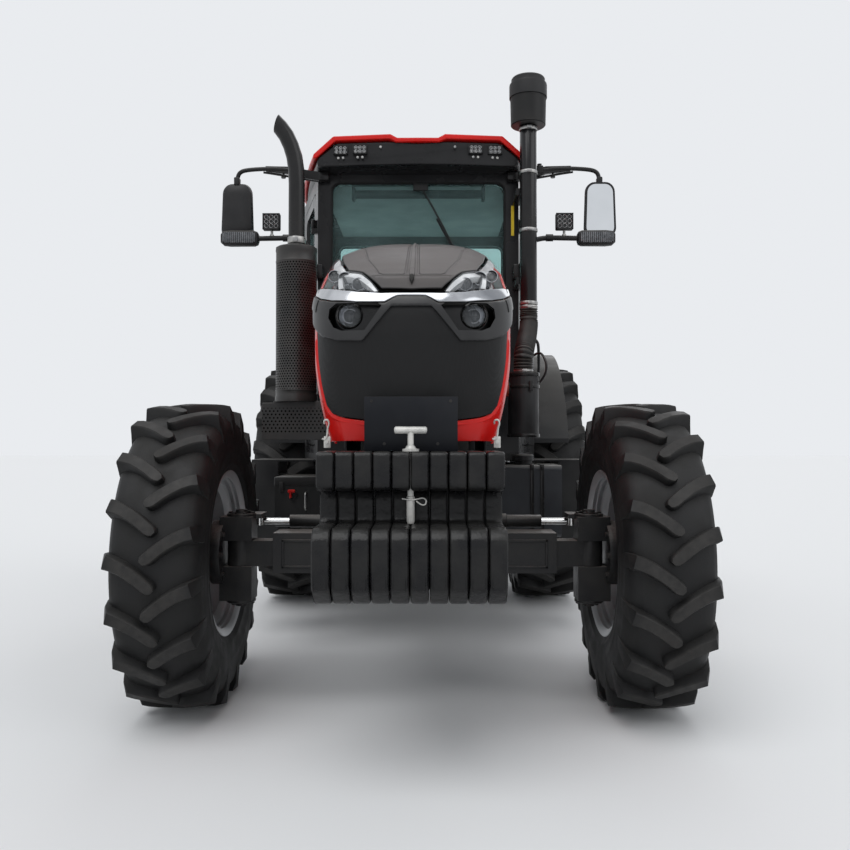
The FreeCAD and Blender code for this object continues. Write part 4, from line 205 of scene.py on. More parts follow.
# Rims: pressed steel, rolled with stepped ridges inside the barrel, a dished disc bolted to the
# hub, all in dull silver paint that has picked up field dust.
def mesh_of(shape):
    """The plain mesh of a shape that has been built up, its faces outwards."""
    mesh = bpy.data.meshes.new("shape")
    bmesh.ops.recalc_face_normals(shape, faces=shape.faces)
    shape.to_mesh(mesh)
    shape.free()
    return mesh


def piece(name, mesh, material, body, slot, *stands_for, crease=32):
    """A finished mesh becomes a named object that rides on a body and carries its material; the
    slot argument is not used.
    """
    if isinstance(mesh, bmesh.types.BMesh):
        mesh = mesh_of(mesh)
    mesh.name = name
    mesh.materials.clear()
    mesh.materials.append(material)
    for face in mesh.polygons:
        face.use_smooth = True
    mesh.set_sharp_from_angle(angle=math.radians(crease))
    made = placed(name, mesh)
    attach(made, body)
    if stands_for:
        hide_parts(*stands_for)
    return made


def turned(shape, outline, centre, steps=96, along="X"):
    """Turns a closed outline of (distance along, radius) points round an axis through centre."""
    shape = shape or bmesh.new()
    rings = []
    for step in range(steps):
        angle = 2 * math.pi * step / steps
        ring = []
        for reach, radius in outline:
            a = radius * math.cos(angle)
            b = radius * math.sin(angle)
            place = {"X": (reach, a, b), "Y": (b, reach, a), "Z": (a, b, reach)}[along]
            ring.append(shape.verts.new(Vector(centre) + Vector(place)))
        rings.append(ring)
    for here, beyond in zip(rings, rings[1:] + rings[:1]):
        for i in range(len(outline)):
            j = (i + 1) % len(outline)
            shape.faces.new((here[i], here[j], beyond[j], beyond[i]))
    return shape


def rounded(outline, radius, steps=3):
    """The closed outline with each corner replaced by a small curve."""
    smooth = []
    count = len(outline)
    for i in range(count):
        here = Vector(outline[i])
        before = Vector(outline[i - 1])
        after = Vector(outline[(i + 1) % count])
        cut = min(radius, (before - here).length * 0.45, (after - here).length * 0.45)
        start = here + (before - here).normalized() * cut
        end = here + (after - here).normalized() * cut
        for k in range(steps + 1):
            t = k / steps
            smooth.append(tuple(start * (1 - t) ** 2 + here * 2 * t * (1 - t) + end * t ** 2))
    return smooth


def repeater():
    """A node tree that sets copies of a shape in a row or round an axis, a step at a time."""
    tree = bpy.data.node_groups.new("repeat_by_steps", "GeometryNodeTree")
    face = tree.interface
    face.new_socket("Shape", in_out="INPUT", socket_type="NodeSocketGeometry")
    sockets = {}
    for label, kind in (("Count", "NodeSocketInt"), ("Centre", "NodeSocketVector"),
            ("Move", "NodeSocketVector"), ("Turn", "NodeSocketVector"),
            ("Finish", "NodeSocketMaterial")):
        sockets[label] = face.new_socket(label, in_out="INPUT", socket_type=kind).identifier
    face.new_socket("Shapes", in_out="OUTPUT", socket_type="NodeSocketGeometry")
    given = node(tree, "NodeGroupInput").outputs
    step = node(tree, "GeometryNodeInputIndex").outputs[0]
    along, turn = (node(tree, "VectorMath", {0: given[label], "Scale": step},
        operation="SCALE").outputs[0] for label in ("Move", "Turn"))
    place = node(tree, "VectorMath", {0: along, 1: given["Centre"]}).outputs[0]
    points = node(tree, "GeometryNodePoints", {"Count": given["Count"], "Position": place})
    copies = node(tree, "GeometryNodeInstanceOnPoints",
        {"Points": points.outputs[0], "Instance": given["Shape"], "Rotation": turn})
    real = node(tree, "GeometryNodeRealizeInstances", {0: copies.outputs[0]})
    coat = node(tree, "GeometryNodeSetMaterial", {"Geometry": real.outputs[0],
        "Material": given["Finish"]})
    node(tree, "NodeGroupOutput", {0: coat.outputs[0]})
    return tree, sockets


def baked(carrier):
    """The plain mesh that an object's curve or modifiers give."""
    bpy.context.view_layer.update()
    ready = carrier.evaluated_get(bpy.context.evaluated_depsgraph_get())
    return bpy.data.meshes.new_from_object(ready)


repeat_tree, repeat_sockets = repeater()


def repeated(shape, count, finish_used, centre=(0, 0, 0), move=(0, 0, 0), turn=(0, 0, 0)):
    """One shape, modelled about the origin, copied by the node tree into a plain mesh."""
    seed = mesh_of(shape) if isinstance(shape, bmesh.types.BMesh) else shape
    carrier = placed("seed", seed)
    step = carrier.modifiers.new("steps", "NODES")
    step.node_group = repeat_tree
    for label, value in (("Count", count), ("Centre", centre), ("Move", move), ("Turn", turn),
            ("Finish", finish_used)):
        step[repeat_sockets[label]] = value
    plain = baked(carrier)
    bpy.data.objects.remove(carrier)
    return plain


def joined(*meshes):
    """Several meshes in one, so that like details make one piece."""
    whole = bmesh.new()
    for mesh in meshes:
        whole.from_mesh(mesh)
    return whole


def bolt(across=0.019, height=0.012, washer=0.017, along="X"):
    """A hexagon-head bolt on its washer, standing on the origin."""
    half = across / 2 / math.cos(math.radians(30))
    shape = turned(None, [(-0.004, 0.0006), (-0.004, washer), (0.003, washer), (0.003, 0.0006)],
        (0, 0, 0), 16, along)
    return turned(shape, [(0.002, 0.0006), (0.002, half), (height * 0.85, half),
        (height, half * 0.85), (height, 0.0006)], (0, 0, 0), 6, along)


rim_paint = finish("rim_silver_paint", (0.42, 0.43, 0.44, 1), (0.49, 0.5, 0.51, 1), patch=3,
    grain=300, roughness=(0.34, 0.44), bump=0.08, metal=0.55, dust=0.12,
    dust_colour=(0.25, 0.22, 0.18, 1))
bolt_zinc = finish("bolt_zinc", (0.3, 0.3, 0.3, 1), (0.46, 0.45, 0.43, 1), patch=40, grain=400,
    roughness=(0.3, 0.5), metal=0.9, dust=0.1)
bolt_black = finish("bolt_black", (0.018, 0.018, 0.019, 1), (0.04, 0.038, 0.036, 1), patch=40,
    grain=300, roughness=(0.35, 0.55), metal=0.3, dust=0.15)

WHEELS = {"front": {"axle": FRONT_AXLE, "middle": 1.02, "half_width": 0.165, "seat": 0.355,
    "flange": 0.381, "disc": 0.02, "hub": 0.15, "cap": 0.105, "cap_length": 0.07,
    "tyre_half": 0.189, "tyre": 0.6835, "lugs": 19, "lug_rise": 0.038, "lug_width": 0.046},
    "rear": {"axle": REAR_AXLE, "middle": 0.935, "half_width": 0.21, "seat": 0.482,
    "flange": 0.508, "disc": 0.015, "hub": 0.185, "cap": 0.095, "cap_length": 0.06,
    "tyre_half": 0.2335, "tyre": 0.8775, "lugs": 23, "lug_rise": 0.048, "lug_width": 0.058}}


def rim_outline(wheel, out):
    """Section of the barrel: flange lips, bead seats, three stepped ridges and the well."""
    half = wheel["half_width"]
    seat = wheel["seat"]
    lip = wheel["flange"]
    wall = 0.009
    outer = [(-half, lip - 0.004), (-half + 0.006, lip), (-half + 0.016, lip - 0.006),
        (-half + 0.022, seat), (-half + 0.055, seat - 0.004), (-half + 0.07, seat - 0.03),
        (-half + 0.105, seat - 0.034), (half - 0.105, seat - 0.034), (half - 0.07, seat - 0.03),
        (half - 0.055, seat - 0.004), (half - 0.022, seat), (half - 0.016, lip - 0.006),
        (half - 0.006, lip), (half, lip - 0.004)]
    inner = [(half - 0.004, lip - 0.016), (half - 0.018, seat - 0.012),
        (half - 0.032, seat - 0.01), (half - 0.038, seat - 0.02), (half - 0.056, seat - 0.017),
        (half - 0.063, seat - 0.031), (half - 0.08, seat - 0.04), (half - 0.088, seat - 0.049),
        (0.0, seat - 0.046), (-half + 0.088, seat - 0.049), (-half + 0.08, seat - 0.04),
        (-half + 0.063, seat - 0.031), (-half + 0.056, seat - 0.017), (-half + 0.038, seat - 0.02),
        (-half + 0.032, seat - 0.01), (-half + 0.018, seat - 0.012), (-half + 0.004, lip - 0.016)]
    middle = wheel["middle"] * out
    return [(middle + reach, radius) for reach, radius in outer + inner]


def disc_outline(wheel, out):
    """Section of the dished disc, from the hub pad out to the weld on the barrel."""
    middle = (wheel["middle"] + wheel["disc"]) * out
    rim = wheel["seat"] - 0.044
    hub = wheel["hub"]
    t = 0.012
    face = [(0.0, hub * 0.62), (0.0, hub + 0.03), (0.03, hub + 0.065), (0.042, rim - 0.07),
        (0.03, rim - 0.025), (0.03, rim)]
    back = [(reach + t, radius) for reach, radius in reversed(face)]
    return [(middle + out * (reach - 0.006), radius) for reach, radius in face + back]


for end, wheel in WHEELS.items():
    for side, out in (("left", 1), ("right", -1)):
        body = f"{end}_wheel_{side}"
        centre = (0, wheel["axle"], wheel["tyre"])
        barrel = turned(None, rim_outline(wheel, out), centre, 128)
        turned(barrel, disc_outline(wheel, out), centre, 96)
        face = (wheel["middle"] + wheel["disc"]) * out
        cap = [(face - out * 0.01, 0.001), (face - out * 0.01, wheel["cap"]),
            (face + out * (wheel["cap_length"] - 0.012), wheel["cap"]),
            (face + out * wheel["cap_length"], wheel["cap"] - 0.016),
            (face + out * wheel["cap_length"], 0.001)]
        turned(barrel, cap, centre, 48)
        nuts = []
        for facing in (1, -1):
            nut = bolt(0.03, 0.022, 0.021)
            bmesh.ops.transform(nut, matrix=Matrix.Translation((0, 0,
                wheel["hub"] * 0.83)) @ Matrix.Scale(out * facing, 4, (1, 0, 0)), verts=nut.verts)
            nuts.append(repeated(nut, 10, bolt_zinc, (face + out * facing * 0.006, *centre[1:]),
                turn=(math.radians(36), 0, 0)))
        piece(f"rim_{end}_{side}", barrel, rim_paint, body, "rim_silver", f"{end}_rim_{side}")
        piece(f"wheel_nuts_{end}_{side}", joined(*nuts), bolt_zinc, body, "zinc")

# Tyres: black radial field tyres. Long curved bars run from each shoulder to the middle, staggered
# left and right, their tops scuffed and greyed; the walls carry thin moulded rings.
def tyre_wall(wheel):
    """Half section of the carcass from the middle of the tread round to the bead."""
    half = wheel["tyre_half"]
    top = wheel["tyre"] - wheel["lug_rise"]
    low = wheel["flange"]
    mid = (top + low) / 2
    return [(0.0, top), (half * 0.36, top - 0.002), (half * 0.62, top - 0.009),
        (half * 0.8, top - 0.022), (half * 0.905, top - 0.044), (half * 0.955, top - 0.074),
        (half * 0.968, top - 0.086), (half * 0.966, top - 0.092), (half * 0.982, mid + 0.02),
        (half * 0.99, mid - 0.004), (half * 0.986, mid - 0.03), (half * 0.992, mid - 0.034),
        (half * 0.99, mid - 0.041), (half * 0.968, mid - 0.062), (half * 0.93, low + 0.034),
        (half * 0.936, low + 0.029), (half * 0.92, low + 0.023), (half * 0.87, low + 0.008),
        (half * 0.855, low - 0.012), (half * 0.82, wheel["seat"] + 0.001)]


def carcass_radius(wheel, reach):
    """Radius of the carcass under a lug, at a distance from the middle."""
    outline = tyre_wall(wheel)
    for (a, high), (b, low) in zip(outline, outline[1:]):
        if a <= abs(reach) <= b:
            return high + (low - high) * (abs(reach) - a) / max(b - a, 1e-6)
    return outline[6][1]


def lug(wheel, side):
    """One tread bar, modelled about the wheel's axle; side is 1 or -1 along the axle."""
    half = wheel["tyre_half"]
    top = wheel["tyre"]
    width = wheel["lug_width"]
    rise = wheel["lug_rise"]
    shape = bmesh.new()
    # reach along the axle, place along the tread, depth below the top, width there
    stations = [(-0.11, -0.07, 0.002, 0.45), (-0.07, -0.062, 0.0, 0.86), (0.0, -0.052, 0.0, 1.0),
        (0.18, -0.023, 0.0, 1.0), (0.36, 0.002, 0.001, 1.02), (0.54, 0.023, 0.002, 1.05),
        (0.72, 0.039, 0.005, 1.12), (0.88, 0.048, 0.011, 1.2), (0.945, 0.051, 0.05, 1.28),
        (0.98, 0.053, 0.1, 1.34), (0.985, 0.054, 0.15, 1.1)]
    stretch = wheel["tyre"] / 0.6835
    rows = []
    for i, (part, forward, depth, wide) in enumerate(stations):
        high = top - depth
        a, b = stations[max(i - 1, 0)], stations[min(i + 1, len(stations) - 1)]
        run = Vector(((b[0] - a[0]) * half, (b[1] - a[1]) * stretch))
        if i > 7:
            run = Vector((0.3, 0.02))
        run.normalize()
        across = Vector((-run.y, run.x))
        reach = part * half
        here = Vector((reach, forward * stretch))
        base = min(carcass_radius(wheel, reach), high) - 0.012
        row = []
        for offset, radius in ((-0.5 - 0.17, base), (-0.5 - 0.04, high - 0.006),
                (-0.5 + 0.06, high), (0.5 - 0.06, high), (0.5 + 0.04, high - 0.006),
                (0.5 + 0.17, base)):
            spot = here + across * offset * width * wide
            if i > 7:
                spot.x = here.x - (0.01 if radius == base else 0.0)
            row.append((spot.x, spot.y, radius))
        rows.append(row)
    built = [[shape.verts.new((side * reach, radius * math.sin(forward / top),
        radius * math.cos(forward / top))) for reach, forward, radius in row] for row in rows]
    for a, b in zip(built, built[1:]):
        for k in range(6):
            m = (k + 1) % 6
            shape.faces.new((a[k], a[m], b[m], b[k]))
    shape.faces.new(built[0])
    shape.faces.new(reversed(built[-1]))
    return shape


def tyre_rubber(name, axle, radius):
    """Black rubber whose scuffed outermost surface is a little greyer than its flanks."""
    material = finish(name, (0.0075, 0.0075, 0.008, 1), (0.014, 0.0138, 0.0135, 1), patch=9,
        grain=170, roughness=(0.5, 0.72), bump=0.35, depth=0.0015, dust=0.12,
        dust_colour=(0.07, 0.067, 0.061, 1), shine=0.3)
    tree = material.node_tree
    colour = tree.nodes["Principled BSDF"].inputs["Base Color"]
    place = node(tree, "TexCoord").outputs["Object"]
    reach = node(tree, "VectorMath", {0: place, 1: (0, axle, radius)}, operation="SUBTRACT")
    reach = node(tree, "VectorMath", {0: reach.outputs[0], 1: (0, 1, 1)}, operation="MULTIPLY")
    reach = node(tree, "VectorMath", {0: reach.outputs[0]}, operation="LENGTH").outputs["Value"]
    worn = node(tree, "MapRange", {"Value": reach, "From Min": radius - 0.012,
        "From Max": radius - 0.003}).outputs[0]
    scuffs = node(tree, "TexNoise", {"Vector": place, "Scale": 34, "Detail": 6}).outputs["Fac"]
    patchy = node(tree, "MapRange", {"Value": scuffs, "From Min": 0.3, "From Max": 0.62,
        "To Min": 0.35}).outputs[0]
    mixed = node(tree, "Mix", {"Factor": number(tree, "MULTIPLY", worn, patchy),
        "A": colour.links[0].from_socket, "B": (0.03, 0.0285, 0.027, 1)}, data_type="RGBA")
    tree.links.new(mixed.outputs["Result"], colour)
    return material


for end, wheel in WHEELS.items():
    rubber = tyre_rubber(f"tyre_rubber_{end}", wheel["axle"], wheel["tyre"])
    count = wheel["lugs"]
    for side, out in (("left", 1), ("right", -1)):
        middle = wheel["middle"] * out
        centre = (middle, wheel["axle"], wheel["tyre"])
        wall = tyre_wall(wheel)
        section = [(-reach, radius) for reach, radius in reversed(wall)] + wall[1:]
        carcass = mesh_of(turned(None, section, centre, 120))
        step = 2 * math.pi / count
        bars = []
        for lean in (1, -1):
            bar = lug(wheel, lean)
            bmesh.ops.rotate(bar, matrix=Matrix.Rotation(lean * step / 4, 3, "X"), verts=bar.verts)
            bars.append(repeated(bar, count, rubber, centre, turn=(step, 0, 0)))
        piece(f"tyre_{end}_{side}", joined(carcass, *bars), rubber, f"{end}_wheel_{side}", "tyre",
            f"{end}_tyre_{side}", crease=40)

# Front axle: a cast beam with swivel housings at its ends, steered by a cylinder on top of it
# whose bright rods run in ribbed rubber boots. Everything is painted black and bolted.
def block(shape, low, high, ease=0.0, cuts=2):
    """A box between two corners, its edges eased, in the shape given or a new one."""
    shape = shape or bmesh.new()
    made = bmesh.ops.create_cube(shape, size=1.0)["verts"]
    size = Vector(high) - Vector(low)
    middle = (Vector(high) + Vector(low)) / 2
    bmesh.ops.transform(shape, verts=made,
        matrix=Matrix.Translation(middle) @ Matrix.Diagonal((*[abs(v) for v in size], 1)))
    if ease:
        edges = list({edge for vert in made for edge in vert.link_edges})
        bmesh.ops.bevel(shape, geom=edges, offset=ease, segments=cuts, profile=0.5, affect="EDGES",
            clamp_overlap=True)
    return shape


def pipe(name, points, radius, closed=False, sides=5, order=3):
    """A bent tube along a smooth line through the given points, as a plain mesh."""
    line = bpy.data.curves.new(name, "CURVE")
    line.dimensions = "3D"
    line.bevel_depth = radius
    line.bevel_resolution = sides
    line.resolution_u = 10
    line.use_fill_caps = True
    run = line.splines.new("NURBS")
    run.points.add(len(points) - 1)
    for spot, point in zip(run.points, points):
        spot.co = (*point, 1)
    run.order_u = min(order, len(points))
    run.use_endpoint_u = True
    run.use_cyclic_u = closed
    carrier = placed(name, line)
    mesh = baked(carrier)
    bpy.data.objects.remove(carrier)
    tube = bmesh.new()
    tube.from_mesh(mesh)
    bmesh.ops.remove_doubles(tube, verts=tube.verts, dist=0.00001)
    return mesh_of(tube)


rubber_black = finish("rubber_black", (0.012, 0.012, 0.013, 1), (0.022, 0.021, 0.02, 1), patch=12,
    grain=300, roughness=(0.5, 0.7), bump=0.15, dust=0.2, shine=0.3)
bright_rod = finish("bright_rod", (0.62, 0.62, 0.62, 1), (0.75, 0.74, 0.72, 1), patch=20,
    grain=500, roughness=(0.16, 0.28), metal=1.0, bump=0.05, dust=0.05)
axle_black = finish("axle_black", (0.01, 0.01, 0.011, 1), (0.024, 0.0235, 0.023, 1), patch=6,
    grain=210, roughness=(0.32, 0.5), bump=0.4, dust=0.55, dust_colour=(0.28, 0.26, 0.24, 1))
dress("front_axle", axle_black, 0.01)
dress("steering_cylinder", axle_black, 0.003)
dress("steering_rod", bright_rod, 0)
for side in ("left", "right"):
    dress(f"knuckle_{side}", axle_black, 0.006)

AXLE_HEIGHT = 0.6835
beam = bmesh.new()
for out in (-1, 1):
    x0, x1 = sorted((out * 0.36, out * 0.6))
    for start, end, low, high in ((x0, x1, -0.062, -0.05), (x0, x1, 0.056, 0.068),
            (x0, x0 + 0.012, -0.062, 0.068), (x1 - 0.012, x1, -0.062, 0.068)):
        block(beam, (start, FRONT_AXLE - 0.096, AXLE_HEIGHT + low),
            (end, FRONT_AXLE - 0.086, AXLE_HEIGHT + high), 0.003)
piece("axle_ribs", beam, axle_black, "chassis", "chassis_black")

for side, out in (("left", 1), ("right", -1)):
    caps = []
    pin = out * 0.8
    for height, facing in ((0.85, 1), (0.47, -1)):
        lid = turned(None, [(0, 0.001), (0, 0.066), (facing * 0.01, 0.066), (facing * 0.014, 0.06),
            (facing * 0.014, 0.03), (facing * 0.03, 0.026), (facing * 0.032, 0.001)],
            (pin, FRONT_AXLE, height), 36, "Z")
        caps.append(mesh_of(lid))
        screw = bolt(0.019, 0.011, 0.0, "Z")
        bmesh.ops.transform(screw, matrix=Matrix.Translation((0.05, 0, 0)) @ Matrix.Scale(facing,
            4, (0, 0, 1)), verts=screw.verts)
        caps.append(repeated(screw, 6, bolt_black, (pin, FRONT_AXLE, height + facing * 0.01),
            turn=(0, 0, math.radians(60))))
    stub = bolt(0.022, 0.013, 0.018)
    bmesh.ops.transform(stub, matrix=Matrix.Translation((0, 0, 0.128)) @ Matrix.Scale(-out, 4,
        (1, 0, 0)), verts=stub.verts)
    caps.append(repeated(stub, 8, bolt_black, (out * 0.87, FRONT_AXLE, AXLE_HEIGHT),
        turn=(math.radians(45), 0, 0)))
    piece(f"swivel_caps_{side}", joined(*caps), bolt_black, f"steer_{side}", "zinc")

ROD_Y = FRONT_AXLE + 0.12
ROD_HEIGHT = 0.815
for side, out in (("left", 1), ("right", -1)):
    start = 0.43
    length = 0.15
    outline = [(start, 0.012), (start, 0.034)]
    gap = (length - 0.014) / 11
    for rib in range(11):
        along = start + 0.01 + gap * rib
        outline += [(along, 0.0225), (along + gap * 0.35, 0.03), (along + gap * 0.65, 0.03),
            (along + gap, 0.0225)]
    outline += [(start + length, 0.026), (start + length + 0.006, 0.026),
        (start + length + 0.006, 0.012)]
    boot = turned(None, [(out * reach, radius) for reach, radius in outline],
        (0, ROD_Y, ROD_HEIGHT), 32)
    piece(f"rod_boot_{side}", boot, rubber_black, "chassis", "hose_rubber")
    hose = [(out * 0.36, ROD_Y - 0.03, 0.85), (out * 0.37, ROD_Y - 0.034, 0.885),
        (out * 0.34, ROD_Y - 0.01, 0.915), (out * 0.26, ROD_Y + 0.02, 0.905),
        (out * 0.2, ROD_Y + 0.08, 0.88), (out * 0.14, ROD_Y + 0.14, 0.9),
        (out * 0.1, ROD_Y + 0.22, 0.96)]
    fittings = turned(None, [(0.838, 0.001), (0.838, 0.013), (0.856, 0.013), (0.856, 0.001)],
        (out * 0.36, ROD_Y - 0.03, 0), 6, "Z")
    turned(fittings, [(0.855, 0.001), (0.855, 0.01), (0.88, 0.01), (0.88, 0.001)],
        (out * 0.362, ROD_Y - 0.031, 0), 16, "Z")
    piece(f"hose_fitting_{side}", fittings, bolt_zinc, "chassis", "zinc")
    piece(f"steering_hose_{side}", pipe("hose", hose, 0.0075), rubber_black, "chassis",
        "hose_rubber")

# Front weights: ten cast iron suitcase weights hung side by side on the bracket, thickly painted
# black, chipped and rounded at their edges; a drop-forged pin with a T handle goes down through.
def swept_slab(shape, outline, x0, x1, ease, cuts):
    """A slab between x0 and x1 whose side view is the outline of (y, z) points, edges eased."""
    ring0, ring1 = ([shape.verts.new((x, y, z)) for y, z in outline] for x in (x0, x1))
    new = [shape.faces.new(ring0), shape.faces.new(ring1[::-1])]
    for i in range(len(outline)):
        new.append(shape.faces.new((ring0[i - 1], ring1[i - 1], ring1[i], ring0[i])))
    bmesh.ops.recalc_face_normals(shape, faces=new)
    rims = [edge for face in new[:2] for edge in face.edges]
    bmesh.ops.bevel(shape, geom=rims, offset=ease, segments=cuts, profile=0.6, affect="EDGES",
        clamp_overlap=True)


worn_black = finish("weight_black", (0.006, 0.006, 0.007, 1), (0.014, 0.0138, 0.0135, 1), patch=11,
    grain=46, roughness=(0.24, 0.36), bump=0.55, depth=0.005, dust=0.16,
    dust_colour=(0.08, 0.078, 0.072, 1), shine=0.26)
WEIGHT_PITCH = 0.066
WEIGHT_WALL = 0.063
side_view = rounded([(-1.0, 1.16), (-0.7, 1.16), (-0.692, 1.04), (-0.7, 1.005), (-0.692, 0.9),
    (-0.692, 0.7), (-0.75, 0.64), (-1.04, 0.64), (-1.112, 0.7), (-1.12, 0.76), (-1.12, 0.87),
    (-1.085, 0.905), (-0.89, 0.905), (-0.88, 0.925), (-0.88, 0.99), (-0.89, 1.015), (-0.99, 1.025),
    (-1.0, 1.045)], 0.022, 4)
side_view = [(FRONT_AXLE + y, z) for y, z in side_view]
castings = bmesh.new()
for place in range(10):
    middle = (place - 4.5) * WEIGHT_PITCH
    swept_slab(castings, side_view, middle - WEIGHT_WALL / 2, middle + WEIGHT_WALL / 2, 0.012, 3)
    # the raised pad cast on the face of each weight, above its lower edge
    block(castings, (middle - 0.021, FRONT_AXLE - 1.1195, 0.7),
        (middle + 0.021, FRONT_AXLE - 1.112, 0.868), 0.003)
block(castings, (-4.6 * WEIGHT_PITCH, FRONT_AXLE - 0.86, 0.66),
    (4.6 * WEIGHT_PITCH, FRONT_AXLE - 0.72, 1.14))
piece("suitcase_weights", castings, worn_black, "chassis", "weight_black", "front_weights")

chalky = finish("zinc_white", (0.5, 0.5, 0.48, 1), (0.68, 0.67, 0.64, 1), patch=30, grain=300,
    roughness=(0.35, 0.55), metal=0.25, dust=0.12, bump=0.2)
PIN_Y = FRONT_AXLE - 0.935
pin = turned(None, [(0.905, 0.001), (0.905, 0.011), (0.915, 0.0145), (1.0, 0.0145), (1.002, 0.011),
    (1.222, 0.011), (1.232, 0.01), (1.232, 0.001)], (0, PIN_Y, 0), 28, "Z")
turned(pin, [(1.16, 0.001), (1.16, 0.03), (1.168, 0.03), (1.17, 0.02), (1.18, 0.014),
    (1.184, 0.001)], (0, PIN_Y, 0), 28, "Z")
turned(pin, [(-0.058, 0.001), (-0.058, 0.0085), (-0.053, 0.0128), (0.053, 0.0128), (0.058, 0.0085),
    (0.058, 0.001)], (0, PIN_Y, 1.235), 24, "X")
piece("drawpin", pin, chalky, "chassis", "zinc", "tow_pin")
clip = pipe("pin_clip", [(-0.03, PIN_Y - 0.012, 0.994), (-0.008, PIN_Y - 0.018, 0.99),
    (0.022, PIN_Y - 0.018, 0.992), (0.046, PIN_Y - 0.015, 0.998), (0.057, PIN_Y - 0.013, 0.986),
    (0.05, PIN_Y - 0.013, 0.97), (0.034, PIN_Y - 0.015, 0.974), (0.02, PIN_Y - 0.018, 0.986)],
    0.0026)
piece("pin_clip", clip, chalky, "chassis", "zinc")

# Number plate: a thin sheet of dark painted steel, left blank, with four punched holes; it
# stands on its edge behind the weights.
plate_grey = finish("plate_grey", (0.008, 0.009, 0.012, 1), (0.014, 0.015, 0.018, 1), patch=5,
    grain=350, roughness=(0.36, 0.5), bump=0.08, dust=0.15, shine=0.16)
low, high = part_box("front_plate")
piece("blank_plate", block(None, low, high, 0.0012), plate_grey, "chassis", "chassis_black",
    "front_plate")
holes = bmesh.new()
for x, z in ((-0.142, 1.34), (0.142, 1.34), (-0.096, 1.186), (0.096, 1.186)):
    turned(holes, [(low[1] - 0.001, 0.0005), (low[1] - 0.001, 0.0052), (low[1] + 0.001, 0.006),
        (low[1] + 0.001, 0.0005)], (x, 0, z), 16, "Y")
piece("plate_holes", holes, bolt_black, "chassis", "zinc")

# Hood latches: draw hooks bent from zinc-plated wire at the nose's lower corners, each held
# by a screw on its small steel plate.
hooks = []
for out in (-1, 1):
    x = out * 0.322
    y = FRONT_AXLE - 0.712
    hooks.append(pipe("hook", [(x - 0.01, y, 1.262), (x - 0.012, y - 0.01, 1.274),
        (x + 0.004, y - 0.013, 1.278), (x + 0.01, y - 0.01, 1.262), (x + 0.003, y - 0.008, 1.244),
        (x + 0.002, y - 0.006, 1.215), (x - 0.008, y - 0.006, 1.198),
        (x - 0.018, y - 0.006, 1.206)], 0.0036))
    base = block(None, (x - 0.012, y - 0.006, 1.17), (x + 0.014, y + 0.01, 1.214), 0.003)
    turned(base, [(y - 0.012, 0.0006), (y - 0.012, 0.007), (y - 0.004, 0.008),
        (y - 0.004, 0.0006)], (x, 0, 1.192), 6, "Y")
    hooks.append(mesh_of(base))
piece("hood_latches", joined(*hooks), chalky, "chassis", "zinc")

# Hood: one long tilting cover moulded round the engine. Its skin is a red painted pressing; a
# matt plastic panel, headlamps, a bright strip, a lamp mask and a fine grille are set into it.
CREST_LINE = ((-0.9, 1.7), (-0.8, 1.762), (-0.72, 1.818), (-0.64, 1.862), (-0.25, 2.035),
    (0.2, 2.15), (0.6, 2.19), (1.1, 2.205))
NOSE_LINE = ((1.1, -0.775), (1.2, -0.79), (1.35, -0.808), (1.6, -0.82), (1.72, -0.816),
    (1.8, -0.8), (2.3, -0.7))


def along_line(table, at):
    """The value at a place in a table of (place, value) points."""
    for (a, p), (b, q) in zip(table, table[1:]):
        if at <= b:
            break
    return p + (q - p) * (at - a) / (b - a)


def meeting(a, b, blend):
    """The greater of two distances, rounded where they meet."""
    near = max(blend - abs(a - b), 0) / blend
    return max(a, b) + near * near * blend / 4


def outside_hood(x, y, z):
    """How far a point is outside the hood's skin; y counts back from the front axle."""
    x = abs(x)
    top = z - along_line(CREST_LINE, y) + 0.062 * (x / 0.36) ** 3.2
    nose = min(max((0.1 - y) / 0.5, 0), 1)
    low = max(1.52 - z, 0) / 0.32
    side = x - 0.388 + 0.06 * low ** 1.6 * nose + 0.02 * max(z - 1.9, 0) / 0.2
    front = along_line(NOSE_LINE, z) + x * x / 1.5 - y
    return meeting(meeting(front, side, 0.18), top * 0.9, 0.09)


def slope_at(spot, e=0.004):
    """The way straight out of the hood's skin at a point."""
    here = outside_hood(*spot)
    return Vector((outside_hood(spot.x + e, spot.y, spot.z) - here,
        outside_hood(spot.x, spot.y + e, spot.z) - here,
        outside_hood(spot.x, spot.y, spot.z + e) - here)) / e


